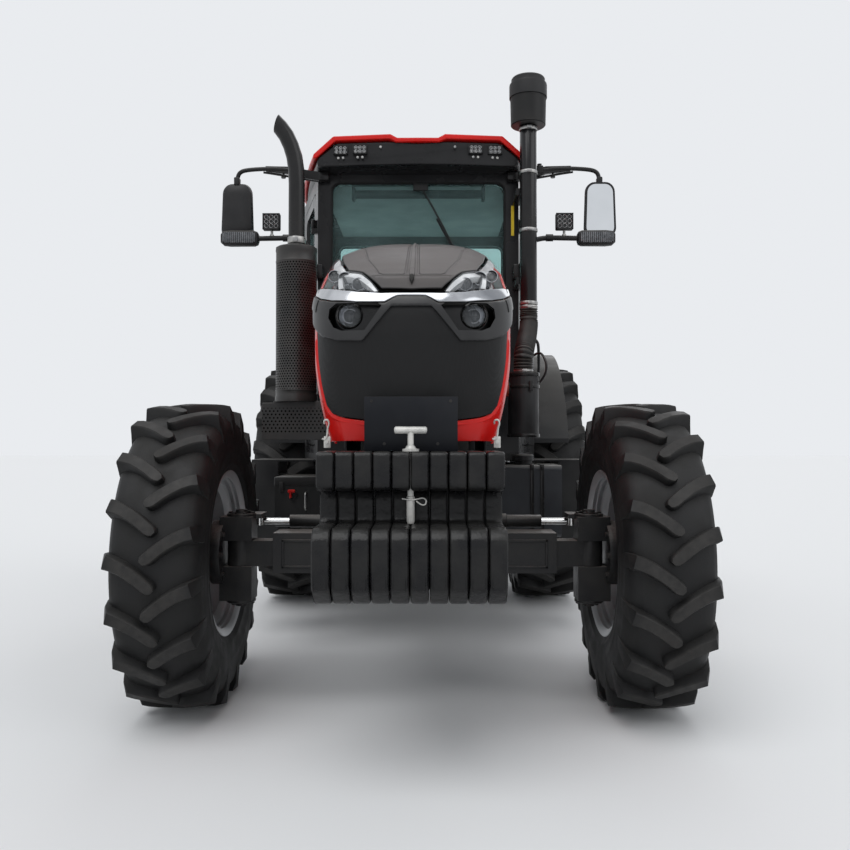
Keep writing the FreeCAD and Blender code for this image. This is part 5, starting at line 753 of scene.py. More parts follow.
def skin(outline, turn=0.0, tilt=0.0, pitch=0.014, lift=0.0, grooves=()):
    """Part of the hood's skin inside an outline, as seen from a direction; grooves are pressed
    in along lines. Points are (across, back, up) near the skin; both sides come from one."""
    turn = math.radians(turn)
    tilt = math.radians(tilt)
    inward = Vector((-math.sin(turn) * math.cos(tilt), math.cos(turn) * math.cos(tilt),
        -math.sin(tilt)))
    right = Vector((math.cos(turn), math.sin(turn), 0))
    up = right.cross(inward)
    flat, edges, depths, central = [], [], [], set()

    def lay(points, closed, depth):
        first = len(flat)
        spots = [Vector((Vector(p).dot(right), Vector(p).dot(up))) for p in points]
        pairs = list(zip(spots, spots[1:] + spots[:1] if closed else spots[1:]))
        for i, (a, b) in enumerate(pairs):
            parts = max(1, round((b - a).length / pitch))
            if closed and points[i][0] == 0 and points[(i + 1) % len(points)][0] == 0:
                central.update(range(len(flat), len(flat) + parts))
                central.add(0 if i + 1 == len(points) else len(flat) + parts)
            for k in range(parts):
                flat.append(a + (b - a) * k / parts)
                depths.append(depth)
        if not closed:
            flat.append(spots[-1])
            depths.append(depth)
        count = len(flat) - first
        for k in range(count - (0 if closed else 1)):
            edges.append((first + k, first + (k + 1) % count))
        return spots

    border = lay(outline, True, 0.0)
    rim = len(flat)
    for line, half, depth in grooves:
        spots = [Vector((Vector(p).dot(right), Vector(p).dot(up))) for p in line]
        for offset, pressed in ((-half, 0.0), (0.0, depth), (half, 0.0)):
            moved = []
            for i, spot in enumerate(spots):
                before = (spot - spots[i - 1]).normalized() if i else None
                after = (spots[i + 1] - spot).normalized() if i + 1 < len(spots) else None
                run = (before or after) + (after or before)
                run.normalize()
                across = Vector((-run.y, run.x))
                reach = offset / max(0.5, across.dot(Vector((-(after or before).y,
                    (after or before).x))))
                place = spot + across * reach
                moved.append(right * place.x + up * place.y)
            lay(moved, False, pressed)
    low = Vector((min(p.x for p in border), min(p.y for p in border)))
    high = Vector((max(p.x for p in border), max(p.y for p in border)))
    rows = int((high.y - low.y) / pitch) + 1
    columns = int((high.x - low.x) / pitch) + 1
    walls = [(flat[a], flat[b]) for a, b in edges]
    for row in range(rows):
        level = low.y + (row + 0.5) * pitch
        crossings = []
        for a, b in zip(border, border[1:] + border[:1]):
            if (a.y > level) != (b.y > level):
                crossings.append(a.x + (b.x - a.x) * (level - a.y) / (b.y - a.y))
        crossings.sort()
        near = [(a, b) for a, b in walls if min(a.y, b.y) - pitch < level < max(a.y, b.y) + pitch]
        for column in range(columns):
            reach = low.x + (column + 0.5) * pitch
            if sum(1 for c in crossings if c < reach) % 2 == 0:
                continue
            spot = Vector((reach, level))
            clear = True
            for a, b in near:
                if abs(a.x - reach) > 2 * pitch:
                    continue
                along = b - a
                share = min(max((spot - a).dot(along) / max(along.length_squared, 1e-12), 0), 1)
                if (spot - a - along * share).length < pitch * 0.45:
                    clear = False
                    break
            if clear:
                flat.append(spot)
                depths.append(0.0)
    points, _, faces, origins, _, _ = delaunay_2d_cdt(flat, edges, [list(range(rim))], 1, 1e-6)
    shape = bmesh.new()
    made = []
    for point, source in zip(points, origins):
        start = right * point.x + up * point.y - inward * 2.2
        near, far = 0.0, 4.4
        step = 0.04
        travel = 0.6
        while travel < far and outside_hood(*(start + inward * travel)) > 0:
            near = travel
            travel += step
        far = travel
        for _ in range(18):
            middle = (near + far) / 2
            if outside_hood(*(start + inward * middle)) > 0:
                near = middle
            else:
                far = middle
        spot = start + inward * far
        middle_line = any(i in central for i in source)
        for _ in range(4 if middle_line else 0):
            spot.x = 0.0
            slope = slope_at(spot)
            slope.x = 0.0
            spot -= slope * outside_hood(*spot) / slope.length_squared
        rise = lift + min((depths[i] for i in source), default=0.0)
        if rise:
            slope = slope_at(spot)
            if middle_line:
                slope.x = 0.0
            spot = spot + slope.normalized() * rise
        made.append(shape.verts.new((spot.x, FRONT_AXLE + spot.y, spot.z)))
    for corners in faces:
        if len(corners) > 2:
            shape.faces.new([made[i] for i in corners])
    twin = bmesh.ops.duplicate(shape, geom=shape.verts[:] + shape.edges[:] + shape.faces[:])
    for item in twin["geom"]:
        if isinstance(item, bmesh.types.BMVert):
            item.co.x = -item.co.x
    bmesh.ops.remove_doubles(shape, verts=shape.verts, dist=0.0004)
    bmesh.ops.recalc_face_normals(shape, faces=shape.faces)
    pointing = sum(face.normal.dot(-inward) * face.calc_area() for face in shape.faces)
    if pointing < 0:
        bmesh.ops.reverse_faces(shape, faces=shape.faces)
    return shape


def panel(name, shape, material, body, slot, *stands_for, wall=0.006, edge=0.002):
    """A skin given its wall, inwards, and a small round on its edges."""
    made = piece(name, mesh_as_is(shape), material, body, slot, *stands_for)
    thick = made.modifiers.new("wall", "SOLIDIFY")
    thick.thickness = wall
    thick.offset = -1
    return eased(made, edge, 50, 2) if edge else made


def mesh_as_is(shape):
    """The plain mesh of an open skin, its faces left as they point."""
    mesh = bpy.data.meshes.new("skin")
    shape.to_mesh(mesh)
    shape.free()
    return mesh


def red_enamel(name):
    """Glossy red enamel: faint orange peel, a clear top layer and dust in the upper places."""
    material = finish(name, (0.6, 0.008, 0.006, 1), (0.7, 0.012, 0.009, 1), patch=2.5, grain=900,
        roughness=(0.26, 0.36), bump=0.03, depth=0.0006, dust=0.14,
        dust_colour=(0.6, 0.2, 0.16, 1), shine=0.22)
    shader = material.node_tree.nodes["Principled BSDF"]
    shader.inputs["Coat Weight"].default_value = 0.12
    shader.inputs["Coat Roughness"].default_value = 0.06
    return material


enamel = red_enamel("hood_red_enamel")
hood_plastic = finish("hood_matt_plastic", (0.024, 0.0235, 0.024, 1), (0.05, 0.046, 0.045, 1),
    patch=3.2, grain=1400, roughness=(0.4, 0.56), bump=0.12, depth=0.0006, dust=0.24,
    dust_colour=(0.2, 0.165, 0.155, 1), shine=0.35)
mask_plastic = finish("mask_plastic", (0.016, 0.016, 0.017, 1), (0.026, 0.026, 0.027, 1), patch=6,
    grain=1200, roughness=(0.32, 0.46), bump=0.1, depth=0.0005, dust=0.3, shine=0.4)
pod_plastic = finish("pod_plastic", (0.006, 0.006, 0.0065, 1), (0.011, 0.011, 0.0115, 1), patch=6,
    grain=900, roughness=(0.22, 0.36), bump=0.1, depth=0.0005, dust=0.1)
chrome = finish("bright_chrome", (0.26, 0.27, 0.29, 1), (0.62, 0.63, 0.65, 1), patch=5, grain=500,
    roughness=(0.06, 0.16), bump=0.02, metal=1.0, dust=0.05)
# Near-black: the own colour of the keel tip and the exhaust can, and painted shade as the hood's
# liner and the side covers' slots.
black_and_painted_shade = finish("black_and_painted_shade", (0.006, 0.006, 0.006, 1), (0.012, 0.012, 0.012, 1), patch=8,
    grain=300, roughness=(0.6, 0.8), dust=0.1, shine=0.2)

# The red skin: a lower lip round the nose and the two long sides, stepped up beside the engine.
nose_lip = [(0.0, -0.79, 1.262), (0.171, -0.778, 1.27), (0.25, -0.742, 1.281), (0.3, -0.7, 1.296),
    (0.328, -0.676, 1.33), (0.346, -0.662, 1.408), (0.359, -0.65, 1.515), (0.366, -0.64, 1.64),
    (0.374, -0.6, 1.7), (0.384, -0.54, 1.776), (0.392, -0.47, 1.812), (0.392, -0.3, 1.7),
    (0.392, -0.3, 1.195), (0.345, -0.6, 1.195), (0.3, -0.69, 1.195), (0.171, -0.77, 1.195),
    (0.0, -0.79, 1.195)]
red_front = skin(nose_lip, 48, 4, pitch=0.016)
flank = [(0.392, -0.3, 1.195), (0.392, -0.3, 1.7), (0.392, -0.47, 1.812), (0.39, -0.33, 1.9),
    (0.385, -0.08, 1.985), (0.368, 0.11, 2.062), (0.366, 0.14, 2.07), (0.37, 0.6, 2.105),
    (0.37, 1.03, 2.118), (0.392, 1.03, 1.575), (0.392, 0.17, 1.575), (0.392, 0.105, 1.54),
    (0.392, 0.085, 1.48), (0.392, 0.075, 1.195)]
red_side = skin(flank, 88, 12, pitch=0.022)
both = joined(mesh_as_is(red_front), mesh_as_is(red_side))
bmesh.ops.remove_doubles(both, verts=both.verts, dist=0.0015)
panel("hood_red_skin", both, enamel, "hood", "hood_red", "hood_shell", wall=0.01, edge=0.003)


def lofted(rings, shape=None, open_start=False):
    """Joins rings of points into a closed skin, capped at both ends or at the last alone."""
    shape = shape or bmesh.new()
    made = [[shape.verts.new(point) for point in ring] for ring in rings]
    count = len(rings[0])
    for here, beyond in zip(made, made[1:]):
        for i in range(count):
            j = (i + 1) % count
            shape.faces.new((here[i], here[j], beyond[j], beyond[i]))
    if not open_start:
        shape.faces.new(made[0][::-1])
    shape.faces.new(made[-1])
    return shape


def smoothed(made, levels):
    """Rounds a whole piece with a modifier."""
    smooth = made.modifiers.new("smooth", "SUBSURF")
    smooth.levels = levels
    smooth.render_levels = levels


# A rounded bead runs along the edge of the lip, from the middle up to the mask on both sides.
bevel_line = [(0.0, -0.7935, 1.262), (0.1, -0.788, 1.265), (0.171, -0.778, 1.27),
    (0.25, -0.742, 1.281), (0.3, -0.7, 1.296), (0.328, -0.676, 1.33), (0.346, -0.662, 1.408),
    (0.359, -0.65, 1.515), (0.366, -0.64, 1.6)]
upper = [Vector(point) for point in bevel_line]
bead = bmesh.new()
for out in (-1, 1):
    rows = []
    for i, spot in enumerate(upper):
        here = spot.copy()
        for _ in range(5):
            slope = slope_at(here)
            here -= slope * outside_hood(*here) / slope.length_squared
        out_way = slope_at(here).normalized()
        along = (upper[min(i + 1, len(upper) - 1)] - upper[max(i - 1, 0)]).normalized()
        down = along.cross(out_way).normalized()
        if down.z > 0 or (abs(down.z) < 0.3 and down.x < 0):
            down = -down
        ring = []
        for sink, stand in ((-0.003, -0.006), (-0.001, 0.0005), (0.013, 0.0062), (0.018, 0.0045),
                (0.021, 0.001), (0.021, -0.006)):
            point = here + down * sink + out_way * stand
            ring.append((out * point.x, FRONT_AXLE + point.y, point.z))
        rows.append(ring)
    lofted(rows, bead, open_start=True)
bmesh.ops.remove_doubles(bead, verts=bead.verts, dist=0.0002)
smoothed(piece("hood_lip_bevel", bead, enamel, "hood", "hood_red", crease=50), 2)

# Liner: a thin near-black shell just inside the skin, painted shade for the seams between
# the pieces, so that they look dark.
liner = skin([(0.0, -0.79, 1.24), (0.25, -0.74, 1.26), (0.33, -0.67, 1.3), (0.38, -0.55, 1.66),
    (0.388, -0.45, 1.8), (0.385, -0.08, 1.97), (0.362, 0.15, 2.06), (0.2, 0.15, 2.12),
    (0.0, 0.15, 2.14)], 30, 22, pitch=0.03, lift=-0.045)
panel("hood_painted_shade_liner", liner, black_and_painted_shade, "hood", "hood_black", wall=0.004, edge=0)

# The top panel: matt plastic, clipped to the hood, with two pressed fields and a keel down
# its middle.
top_panel = [(0.0, -0.777, 1.765), (0.112, -0.768, 1.768), (0.15, -0.723, 1.806),
    (0.19, -0.65, 1.848), (0.252, -0.575, 1.866), (0.292, -0.385, 1.935), (0.35, 0.095, 2.075),
    (0.352, 0.14, 2.078), (0.352, 0.6, 2.12), (0.348, 0.985, 2.138), (0.215, 0.985, 2.165),
    (0.215, 1.03, 2.17), (0.0, 1.03, 2.2)]
field = [(0.018, 0.6, 2.19), (0.018, -0.1, 2.07), (0.024, -0.69, 1.832), (0.034, -0.7, 1.828),
    (0.112, -0.696, 1.829), (0.13, -0.68, 1.835), (0.186, -0.455, 1.935), (0.222, -0.16, 2.04),
    (0.24, 0.1, 2.11), (0.25, 0.6, 2.16)]
fold = [(0.008, -0.716, 1.82), (0.08, -0.714, 1.82), (0.15, -0.706, 1.82)]
top = skin(top_panel, 0, 62, pitch=0.016, lift=0.004,
    grooves=((field, 0.006, -0.0045), (fold, 0.005, -0.002)))
panel("hood_top_panel", top, hood_plastic, "hood", "hood_black", "hood_top", wall=0.008,
    edge=0.0035)
keel = skin([(0.0, -0.74, 1.8), (0.008, -0.722, 1.816), (0.01, -0.7, 1.826), (0.006, -0.1, 2.075),
    (0.004, 0.14, 2.138), (0.0, 0.14, 2.138)], 0, 62, pitch=0.006, lift=0.011)
panel("hood_keel", keel, hood_plastic, "hood", "hood_black", wall=0.01, edge=0.0025)
tip = skin([(0.0, -0.764, 1.78), (0.0085, -0.738, 1.803), (0.0085, -0.726, 1.813),
    (0.0, -0.716, 1.818)], 0, 55, pitch=0.006, lift=0.015)
panel("hood_keel_tip", tip, black_and_painted_shade, "hood", "hood_black", wall=0.012, edge=0.002)

# The bright strip under the headlamps: chromed plastic, broad at the sides and drawn thin
# over the mask.
strip_outline = [(0.0, -0.795, 1.744), (0.115, -0.79, 1.744), (0.2, -0.765, 1.751),
    (0.262, -0.725, 1.762), (0.325, -0.655, 1.78), (0.372, -0.565, 1.798), (0.392, -0.48, 1.815),
    (0.392, -0.475, 1.8), (0.374, -0.56, 1.768), (0.335, -0.65, 1.738), (0.29, -0.712, 1.722),
    (0.2, -0.772, 1.711), (0.098, -0.802, 1.708), (0.058, -0.805, 1.734), (0.0, -0.805, 1.734)]
strip = skin(strip_outline, 34, 8, pitch=0.01, lift=0.008)
panel("hood_bright_strip", strip, chrome, "hood", "trim_chrome", "hood_trim", wall=0.016,
    edge=0.004)

# The lamp mask: one plastic moulding, a raised brow that drops into a pod round each round
# fog lamp.
mask_outline = [(0.0, -0.806, 1.73), (0.056, -0.806, 1.73), (0.096, -0.803, 1.704),
    (0.2, -0.776, 1.707), (0.29, -0.716, 1.718), (0.335, -0.656, 1.733), (0.374, -0.566, 1.763),
    (0.391, -0.5, 1.785), (0.386, -0.54, 1.72), (0.374, -0.6, 1.65), (0.355, -0.665, 1.615),
    (0.325, -0.705, 1.588), (0.268, -0.752, 1.57), (0.178, -0.794, 1.566), (0.15, -0.802, 1.6),
    (0.074, -0.812, 1.692), (0.0, -0.816, 1.692)]
FOG = (0.233, 1.667)
mask = skin(mask_outline, 34, 4, pitch=0.009, lift=0.01)
hole = bmesh.new()
for out in (-1, 1):
    turned(hole, [(FRONT_AXLE - 0.9, 0.0004), (FRONT_AXLE - 0.9, 0.054), (FRONT_AXLE - 0.5, 0.048),
        (FRONT_AXLE - 0.5, 0.0004)], (out * FOG[0], 0, FOG[1]), 40, "Y")
hole_mesh = mesh_of(hole)


def cut_out(made, tool_mesh):
    """Cuts a piece with a solid, once and for all, so that no live cutter stays on it."""
    tool = placed("cutter", tool_mesh)
    cutting = made.modifiers.new("cut", "BOOLEAN")
    cutting.operation = "DIFFERENCE"
    cutting.solver = "EXACT"
    cutting.object = tool
    mesh = baked(made)
    made.modifiers.clear()
    made.data = mesh
    bpy.data.objects.remove(tool)
    for face in mesh.polygons:
        face.use_smooth = True
    mesh.set_sharp_from_angle(angle=math.radians(32))


pod_hole = bmesh.new()
POD = [(0.1055, 1.698), (0.12, 1.7085), (0.285, 1.7145), (0.314, 1.695), (0.319, 1.66),
    (0.297, 1.62), (0.262, 1.6045), (0.172, 1.6035)]
for out in (-1, 1):
    lofted([[(out * (0.233 + (x - 0.233) * grow), FRONT_AXLE + y, 1.655 + (z - 1.655) * grow)
             for x, z in POD] for y, grow in ((-0.95, 1.0), (-0.5, 0.9))], pod_hole)
pod_mesh = mesh_of(pod_hole)
mask_piece = panel("lamp_mask_shell", mask, mask_plastic, "hood", "hood_black", "lamp_mask",
    wall=0.022, edge=0.004)
cut_out(mask_piece, pod_mesh)
pod_outline = [(x, -0.8, z) for x, z in ((0.06, 1.662), (0.115, 1.712), (0.31, 1.724),
    (0.352, 1.695), (0.357, 1.65), (0.325, 1.602), (0.278, 1.586), (0.15, 1.584), (0.135, 1.6))]
pods = skin(pod_outline, 34, 4, pitch=0.012, lift=-0.03)
pod_piece = panel("lamp_pods", pods, pod_plastic, "hood", "hood_black", wall=0.006, edge=0)
cut_out(pod_piece, hole_mesh)
end_blocks = skin([(0.34, -0.655, 1.735), (0.372, -0.57, 1.762), (0.378, -0.575, 1.715),
    (0.35, -0.65, 1.69)], 50, 4, pitch=0.01, lift=0.013)
panel("mask_end_blocks", end_blocks, pod_plastic, "hood", "hood_black", wall=0.01, edge=0.002)

# The grille: a fine screen in one curved piece, framed by the red lip; its holes are far too
# small to model and are dimples in its finish.
screen = finish("grille_screen", (0.0045, 0.0045, 0.005, 1), (0.0085, 0.0085, 0.009, 1), patch=3,
    grain=500, roughness=(0.36, 0.5), bump=0.1, dust=0.06, shine=0.22)
tree = screen.node_tree
holes = node(tree, "TexVoronoi", {"Vector": node(tree, "TexCoord").outputs["Object"], "Scale": 260,
    "Randomness": 0.0})
dimples = node(tree, "Bump", {"Height": holes.outputs["Distance"], "Strength": 0.7,
    "Distance": 0.0015})
tree.links.new(dimples.outputs["Normal"], tree.nodes["Principled BSDF"].inputs["Normal"])
grille_outline = [(0.0, -0.815, 1.702), (0.078, -0.812, 1.702), (0.16, -0.8, 1.612),
    (0.186, -0.792, 1.578), (0.268, -0.752, 1.582), (0.325, -0.705, 1.6), (0.355, -0.662, 1.624),
    (0.364, -0.64, 1.636), (0.357, -0.65, 1.515), (0.344, -0.662, 1.408), (0.326, -0.676, 1.332),
    (0.298, -0.7, 1.299), (0.25, -0.742, 1.285), (0.171, -0.778, 1.274), (0.0, -0.79, 1.266)]
net = skin(grille_outline, 34, 0, pitch=0.02, lift=0.001)
panel("nose_grille", net, screen, "hood", "grille_black", "front_grille", wall=0.012, edge=0.004)

# Headlamps: clear lenses over silvered reflectors with two dark lens modules each, a white
# strip along the inner edge; below them sit round fog lamps, deep in the mask's pods.
lamp_white = finish("lamp_white", (0.7, 0.71, 0.72, 1), (0.82, 0.83, 0.84, 1), patch=8, grain=300,
    roughness=(0.18, 0.3), metal=0.35, bump=0.05, dust=0)
lamp_dark = finish("lamp_dark", (0.01, 0.011, 0.013, 1), (0.03, 0.032, 0.036, 1), patch=30,
    grain=200, roughness=(0.05, 0.12), bump=0.05, dust=0)


def clear_cover(name, tint, alpha, roughness=0.03):
    """Clear moulded or sheet cover: mostly see-through, with a faint tint and a gloss."""
    material, tree, shader = new_material(name)
    place = node(tree, "TexCoord").outputs["Object"]
    smears = node(tree, "TexNoise", {"Vector": place, "Scale": 7, "Detail": 6}).outputs["Fac"]
    film = node(tree, "MapRange", {"Value": smears, "From Min": 0.35, "From Max": 0.75,
        "To Min": alpha, "To Max": alpha + 0.1})
    haze = node(tree, "MapRange", {"Value": smears, "To Min": roughness,
        "To Max": roughness + 0.12})
    plug(tree, shader.inputs, {"Base Color": tint, "Coat Weight": 0.5, "Coat Roughness": 0.03,
        "IOR": 1.5, "Alpha": film.outputs[0], "Roughness": haze.outputs[0]})
    return material


clear_lens = clear_cover("clear_lens", (0.4, 0.43, 0.46, 1), 0.05)
lens_outline = [(0.122, -0.772, 1.756), (0.155, -0.732, 1.803), (0.195, -0.656, 1.846),
    (0.258, -0.584, 1.864), (0.3, -0.39, 1.934), (0.357, 0.088, 2.072), (0.368, 0.1, 2.06),
    (0.384, -0.08, 1.985), (0.39, -0.3, 1.91), (0.39, -0.44, 1.852), (0.388, -0.48, 1.822),
    (0.368, -0.575, 1.806), (0.325, -0.65, 1.788), (0.264, -0.715, 1.772), (0.2, -0.757, 1.76)]
LAMP_VIEW = {"turn": 32, "tilt": 34}
lens = skin(lens_outline, **LAMP_VIEW, pitch=0.014, lift=0.003)
panel("headlamp_lenses", lens, clear_lens, "hood", "lamp_clear", "front_lamps", wall=0.004,
    edge=0.0015)
# The reflector buckets, silvered in the lamp, are near-black gloss here: painted dark reflection.
bucket = skin(lens_outline, **LAMP_VIEW, pitch=0.014, lift=-0.04)
panel("headlamp_buckets", bucket, lamp_dark, "hood", "trim_chrome", wall=0.004, edge=0)
strip_outline = [(0.126, -0.77, 1.759), (0.156, -0.732, 1.802), (0.196, -0.656, 1.844),
    (0.258, -0.586, 1.862), (0.3, -0.392, 1.932), (0.356, 0.08, 2.07), (0.366, 0.04, 2.045),
    (0.33, -0.38, 1.905), (0.276, -0.598, 1.84), (0.206, -0.682, 1.818), (0.166, -0.745, 1.783),
    (0.142, -0.768, 1.757)]
white = skin(strip_outline, **LAMP_VIEW, pitch=0.01, lift=-0.004)
panel("headlamp_inner_strips", white, lamp_white, "hood", "trim_chrome", wall=0.028, edge=0.003)
divider_outline = [(0.262, -0.705, 1.778), (0.272, -0.61, 1.838), (0.29, -0.6, 1.84),
    (0.284, -0.695, 1.78)]
divider = skin(divider_outline, **LAMP_VIEW, pitch=0.008, lift=-0.008)
panel("headlamp_dividers", divider, lamp_white, "hood", "trim_chrome", wall=0.024, edge=0.002)

modules = bmesh.new()
rings = bmesh.new()


def behind_skin(x, z):
    """How far back the hood's skin lies at a place seen from straight ahead."""
    near, far = -0.95, 0.3
    for _ in range(40):
        half = (near + far) / 2
        if outside_hood(x, half, z) > 0:
            near = half
        else:
            far = half
    return half


for out in (-1, 1):
    for x, z, radius in ((0.205, 1.796, 0.021), (0.264, 1.832, 0.022), (0.318, 1.862, 0.02)):
        front = FRONT_AXLE + behind_skin(x, z) + 0.03
        dome = [(front - 0.004 + radius * 0.5 * (1 - math.cos(math.radians(a))),
            max(radius * math.sin(math.radians(a)), 0.0004)) for a in (0, 25, 50, 75, 90)]
        dome += [(front + 0.03, radius), (front + 0.03, 0.0004)]
        turned(modules, dome, (out * x, 0, z), 24, "Y")
        turned(rings, [(front + 0.008, radius + 0.001), (front + 0.002, radius + 0.003),
            (front + 0.002, radius + 0.005), (front + 0.03, radius + 0.006),
            (front + 0.03, radius + 0.001)], (out * x, 0, z), 24, "Y")
piece("headlamp_modules", modules, lamp_dark, "hood", "lamp_clear")
piece("headlamp_rings", rings, chrome, "hood", "trim_chrome")

gloss_ring = finish("gloss_ring", (0.006, 0.006, 0.006, 1), (0.012, 0.012, 0.012, 1), patch=20,
    grain=400, roughness=(0.12, 0.22), bump=0.04, dust=0.06, shine=0.5)
fog_rings = bmesh.new()
fog_bowls = bmesh.new()
fog_glass = bmesh.new()
fog_domes = bmesh.new()
for out in (-1, 1):
    centre = (out * FOG[0], 0, FOG[1])
    face = FRONT_AXLE - 0.742
    turned(fog_rings, [(face - 0.006, 0.042), (face - 0.01, 0.045), (face - 0.006, 0.05),
        (face + 0.004, 0.053), (face + 0.004, 0.0545), (face + 0.05, 0.0545),
        (face + 0.05, 0.042)], centre, 48, "Y")
    turned(fog_bowls, [(face, 0.0415), (face + 0.018, 0.034), (face + 0.032, 0.02),
        (face + 0.036, 0.0004), (face + 0.04, 0.0004), (face + 0.04, 0.0415)], centre, 48, "Y")
    turned(fog_domes, [(face + 0.0, 0.0004), (face + 0.003, 0.012), (face + 0.01, 0.021),
        (face + 0.034, 0.023), (face + 0.034, 0.0004)], centre, 32, "Y")
    turned(fog_bowls, [(face + 0.006, 0.024), (face + 0.004, 0.0255), (face + 0.006, 0.0275),
        (face + 0.03, 0.029), (face + 0.03, 0.024)], centre, 40, "Y")
    turned(fog_glass, [(face - 0.009, 0.0004), (face - 0.008, 0.02), (face - 0.004, 0.0415),
        (face - 0.001, 0.0415), (face - 0.005, 0.02), (face - 0.006, 0.0004)], centre, 48, "Y")
piece("fog_lamp_rings", fog_rings, gloss_ring, "hood", "hood_black")
piece("fog_lamp_bowls", fog_bowls, chrome, "hood", "trim_chrome")
piece("fog_lamp_domes", fog_domes, lamp_dark, "hood", "lamp_clear")
piece("fog_lamp_glasses", fog_glass, clear_lens, "hood", "lamp_clear")

# Engine sides: pressed covers under the hood, the exhaust on the right in its perforated heat
# shield with a guard plate in front, the air intake on the left. Black paint and plastic.
def perforated(material, pitch, hole, axis=None, reach=None):
    """Paints a finish with small near-black holes in staggered rows, flat or round an axis:
    painted shade in the holes.
    """
    tree = material.node_tree
    shader = tree.nodes["Principled BSDF"].inputs

    def sums(operation, *values):
        return number(tree, operation, *values)

    place = node(tree, "TexCoord").outputs["Object"]
    part = node(tree, "SeparateXYZ", {0: place}).outputs
    across = part["X"]
    if axis:
        angle = sums("ARCTAN2", sums("SUBTRACT", part["Y"], axis[1]),
            sums("SUBTRACT", part["X"], axis[0]))
        across = sums("MULTIPLY", angle, axis[2])
    rows = sums("DIVIDE", part["Z"], pitch * 0.866)
    shift = sums("MULTIPLY", sums("FLOORED_MODULO", sums("FLOOR", rows), 2.0), 0.5)
    cells = sums("ADD", sums("DIVIDE", across, pitch), shift)
    u = sums("SUBTRACT", sums("FRACT", cells), 0.5)
    v = sums("MULTIPLY", sums("SUBTRACT", sums("FRACT", rows), 0.5), 0.866)
    far = sums("SQRT", sums("ADD", sums("MULTIPLY", u, u), sums("MULTIPLY", v, v)))
    metal = sums("GREATER_THAN", far, hole / pitch / 2)
    if reach:
        plain = sums("MAXIMUM", sums("LESS_THAN", part["Z"], reach[0]),
            sums("GREATER_THAN", part["Z"], reach[1]))
        metal = sums("MAXIMUM", metal, plain)
    # The holes are near-black and without shine: painted shade inside them.
    holes = node(tree, "Mix", {"A": (0.001, 0.001, 0.001, 1), "Factor": metal,
        "B": shader["Base Color"].links[0].from_socket}, data_type="RGBA")
    plug(tree, shader, {"Base Color": holes.outputs["Result"],
        "Specular IOR Level": sums("MULTIPLY", metal, 0.5)})
    return material


def clamp(shape, centre, radius, width=0.016, along="Z"):
    """A worm-drive hose clamp: a thin band with its screw housing."""
    half = width / 2
    axis = "XYZ".index(along)
    spot = [centre[0], centre[1], centre[2]]
    level = spot[axis]
    spot[axis] = 0.0
    turned(shape, [(level - half, radius + 0.0006), (level - half, radius + 0.003),
        (level - half + 0.002, radius + 0.0042), (level + half - 0.002, radius + 0.0042),
        (level + half, radius + 0.003), (level + half, radius + 0.0006)], spot, 40, along)
    x, y, z = centre
    block(shape, (x - 0.014, y - radius - 0.013, z - half * 0.8),
        (x + 0.014, y - radius - 0.002, z + half * 0.8), 0.002)


gloss_black = finish("gloss_black", (0.01, 0.01, 0.011, 1), (0.019, 0.0185, 0.018, 1), patch=5,
    grain=500, roughness=(0.18, 0.3), bump=0.06, depth=0.001, dust=0.18)
satin_black = finish("satin_black", (0.012, 0.012, 0.013, 1), (0.022, 0.022, 0.022, 1), patch=4,
    grain=700, roughness=(0.34, 0.5), bump=0.12, depth=0.001, dust=0.22)
moulded_black = finish("moulded_black", (0.013, 0.013, 0.014, 1), (0.022, 0.022, 0.023, 1),
    patch=7, grain=1300, roughness=(0.42, 0.6), bump=0.25, depth=0.0006, dust=0.25)
dress("air_cleaner", moulded_black, 0.004)
dress("intake_pipe", gloss_black, 0.003)
dress("pre_cleaner", moulded_black, 0.003)

EXHAUST = (-0.65, FRONT_AXLE + 0.65)
shield_paint = perforated(finish("shield_paint", (0.014, 0.0135, 0.013, 1),
    (0.028, 0.026, 0.024, 1), patch=9, grain=420, roughness=(0.34, 0.5), bump=0.2, dust=0.15),
    0.0155, 0.0085, (*EXHAUST, 0.1085), (1.47, 2.15))
shield = turned(None, [(1.405, 0.1075), (1.405, 0.1105), (1.425, 0.1125), (1.44, 0.109),
    (1.462, 0.109), (1.466, 0.1115), (1.472, 0.109), (2.15, 0.109), (2.156, 0.1115),
    (2.162, 0.109), (2.205, 0.109), (2.215, 0.1115), (2.232, 0.11), (2.238, 0.1), (2.24, 0.0445),
    (2.236, 0.0445), (2.232, 0.098), (2.228, 0.1075)], (*EXHAUST, 0), 72, "Z")
piece("exhaust_heat_shield", shield, shield_paint, "chassis", "heat_black")
core = turned(None, [(1.4105, 0.0006), (1.4105, 0.107), (2.222, 0.107), (2.222, 0.0006)],
    (*EXHAUST, 0), 48, "Z")
piece("exhaust_can", core, black_and_painted_shade, "chassis", "heat_black")


def tail_pipe():
    """The outlet: a tube that bends outward, widens a little and is cut off at a slant."""
    x, y = EXHAUST
    line = [(x, 2.225), (x, 2.3), (x, 2.45), (x, 2.58), (x - 0.003, 2.66), (x - 0.013, 2.73),
        (x - 0.031, 2.79), (x - 0.056, 2.845), (x - 0.088, 2.89), (x - 0.122, 2.925)]
    rings = []
    end = len(line) - 1
    for inside in (False, True):
        for px, pz in line[::-1][:5] if inside else line:
            at = line.index((px, pz))
            ahead = (Vector(line[min(at + 1, end)]) - Vector(line[max(at - 1, 0)])).normalized()
            across = Vector((ahead.y, -ahead.x))
            radius = 0.0385 if inside else 0.0435
            ring = []
            for k in range(40):
                angle = 2 * math.pi * k / 40
                reach = radius * math.cos(angle)
                slip = 0.55 * reach - 0.018 if at == end else 0.0
                spot = Vector((px, pz)) + across * reach + ahead * slip
                ring.append((spot.x, y + radius * math.sin(angle), spot.y))
            rings.append(ring)
    return lofted(rings)


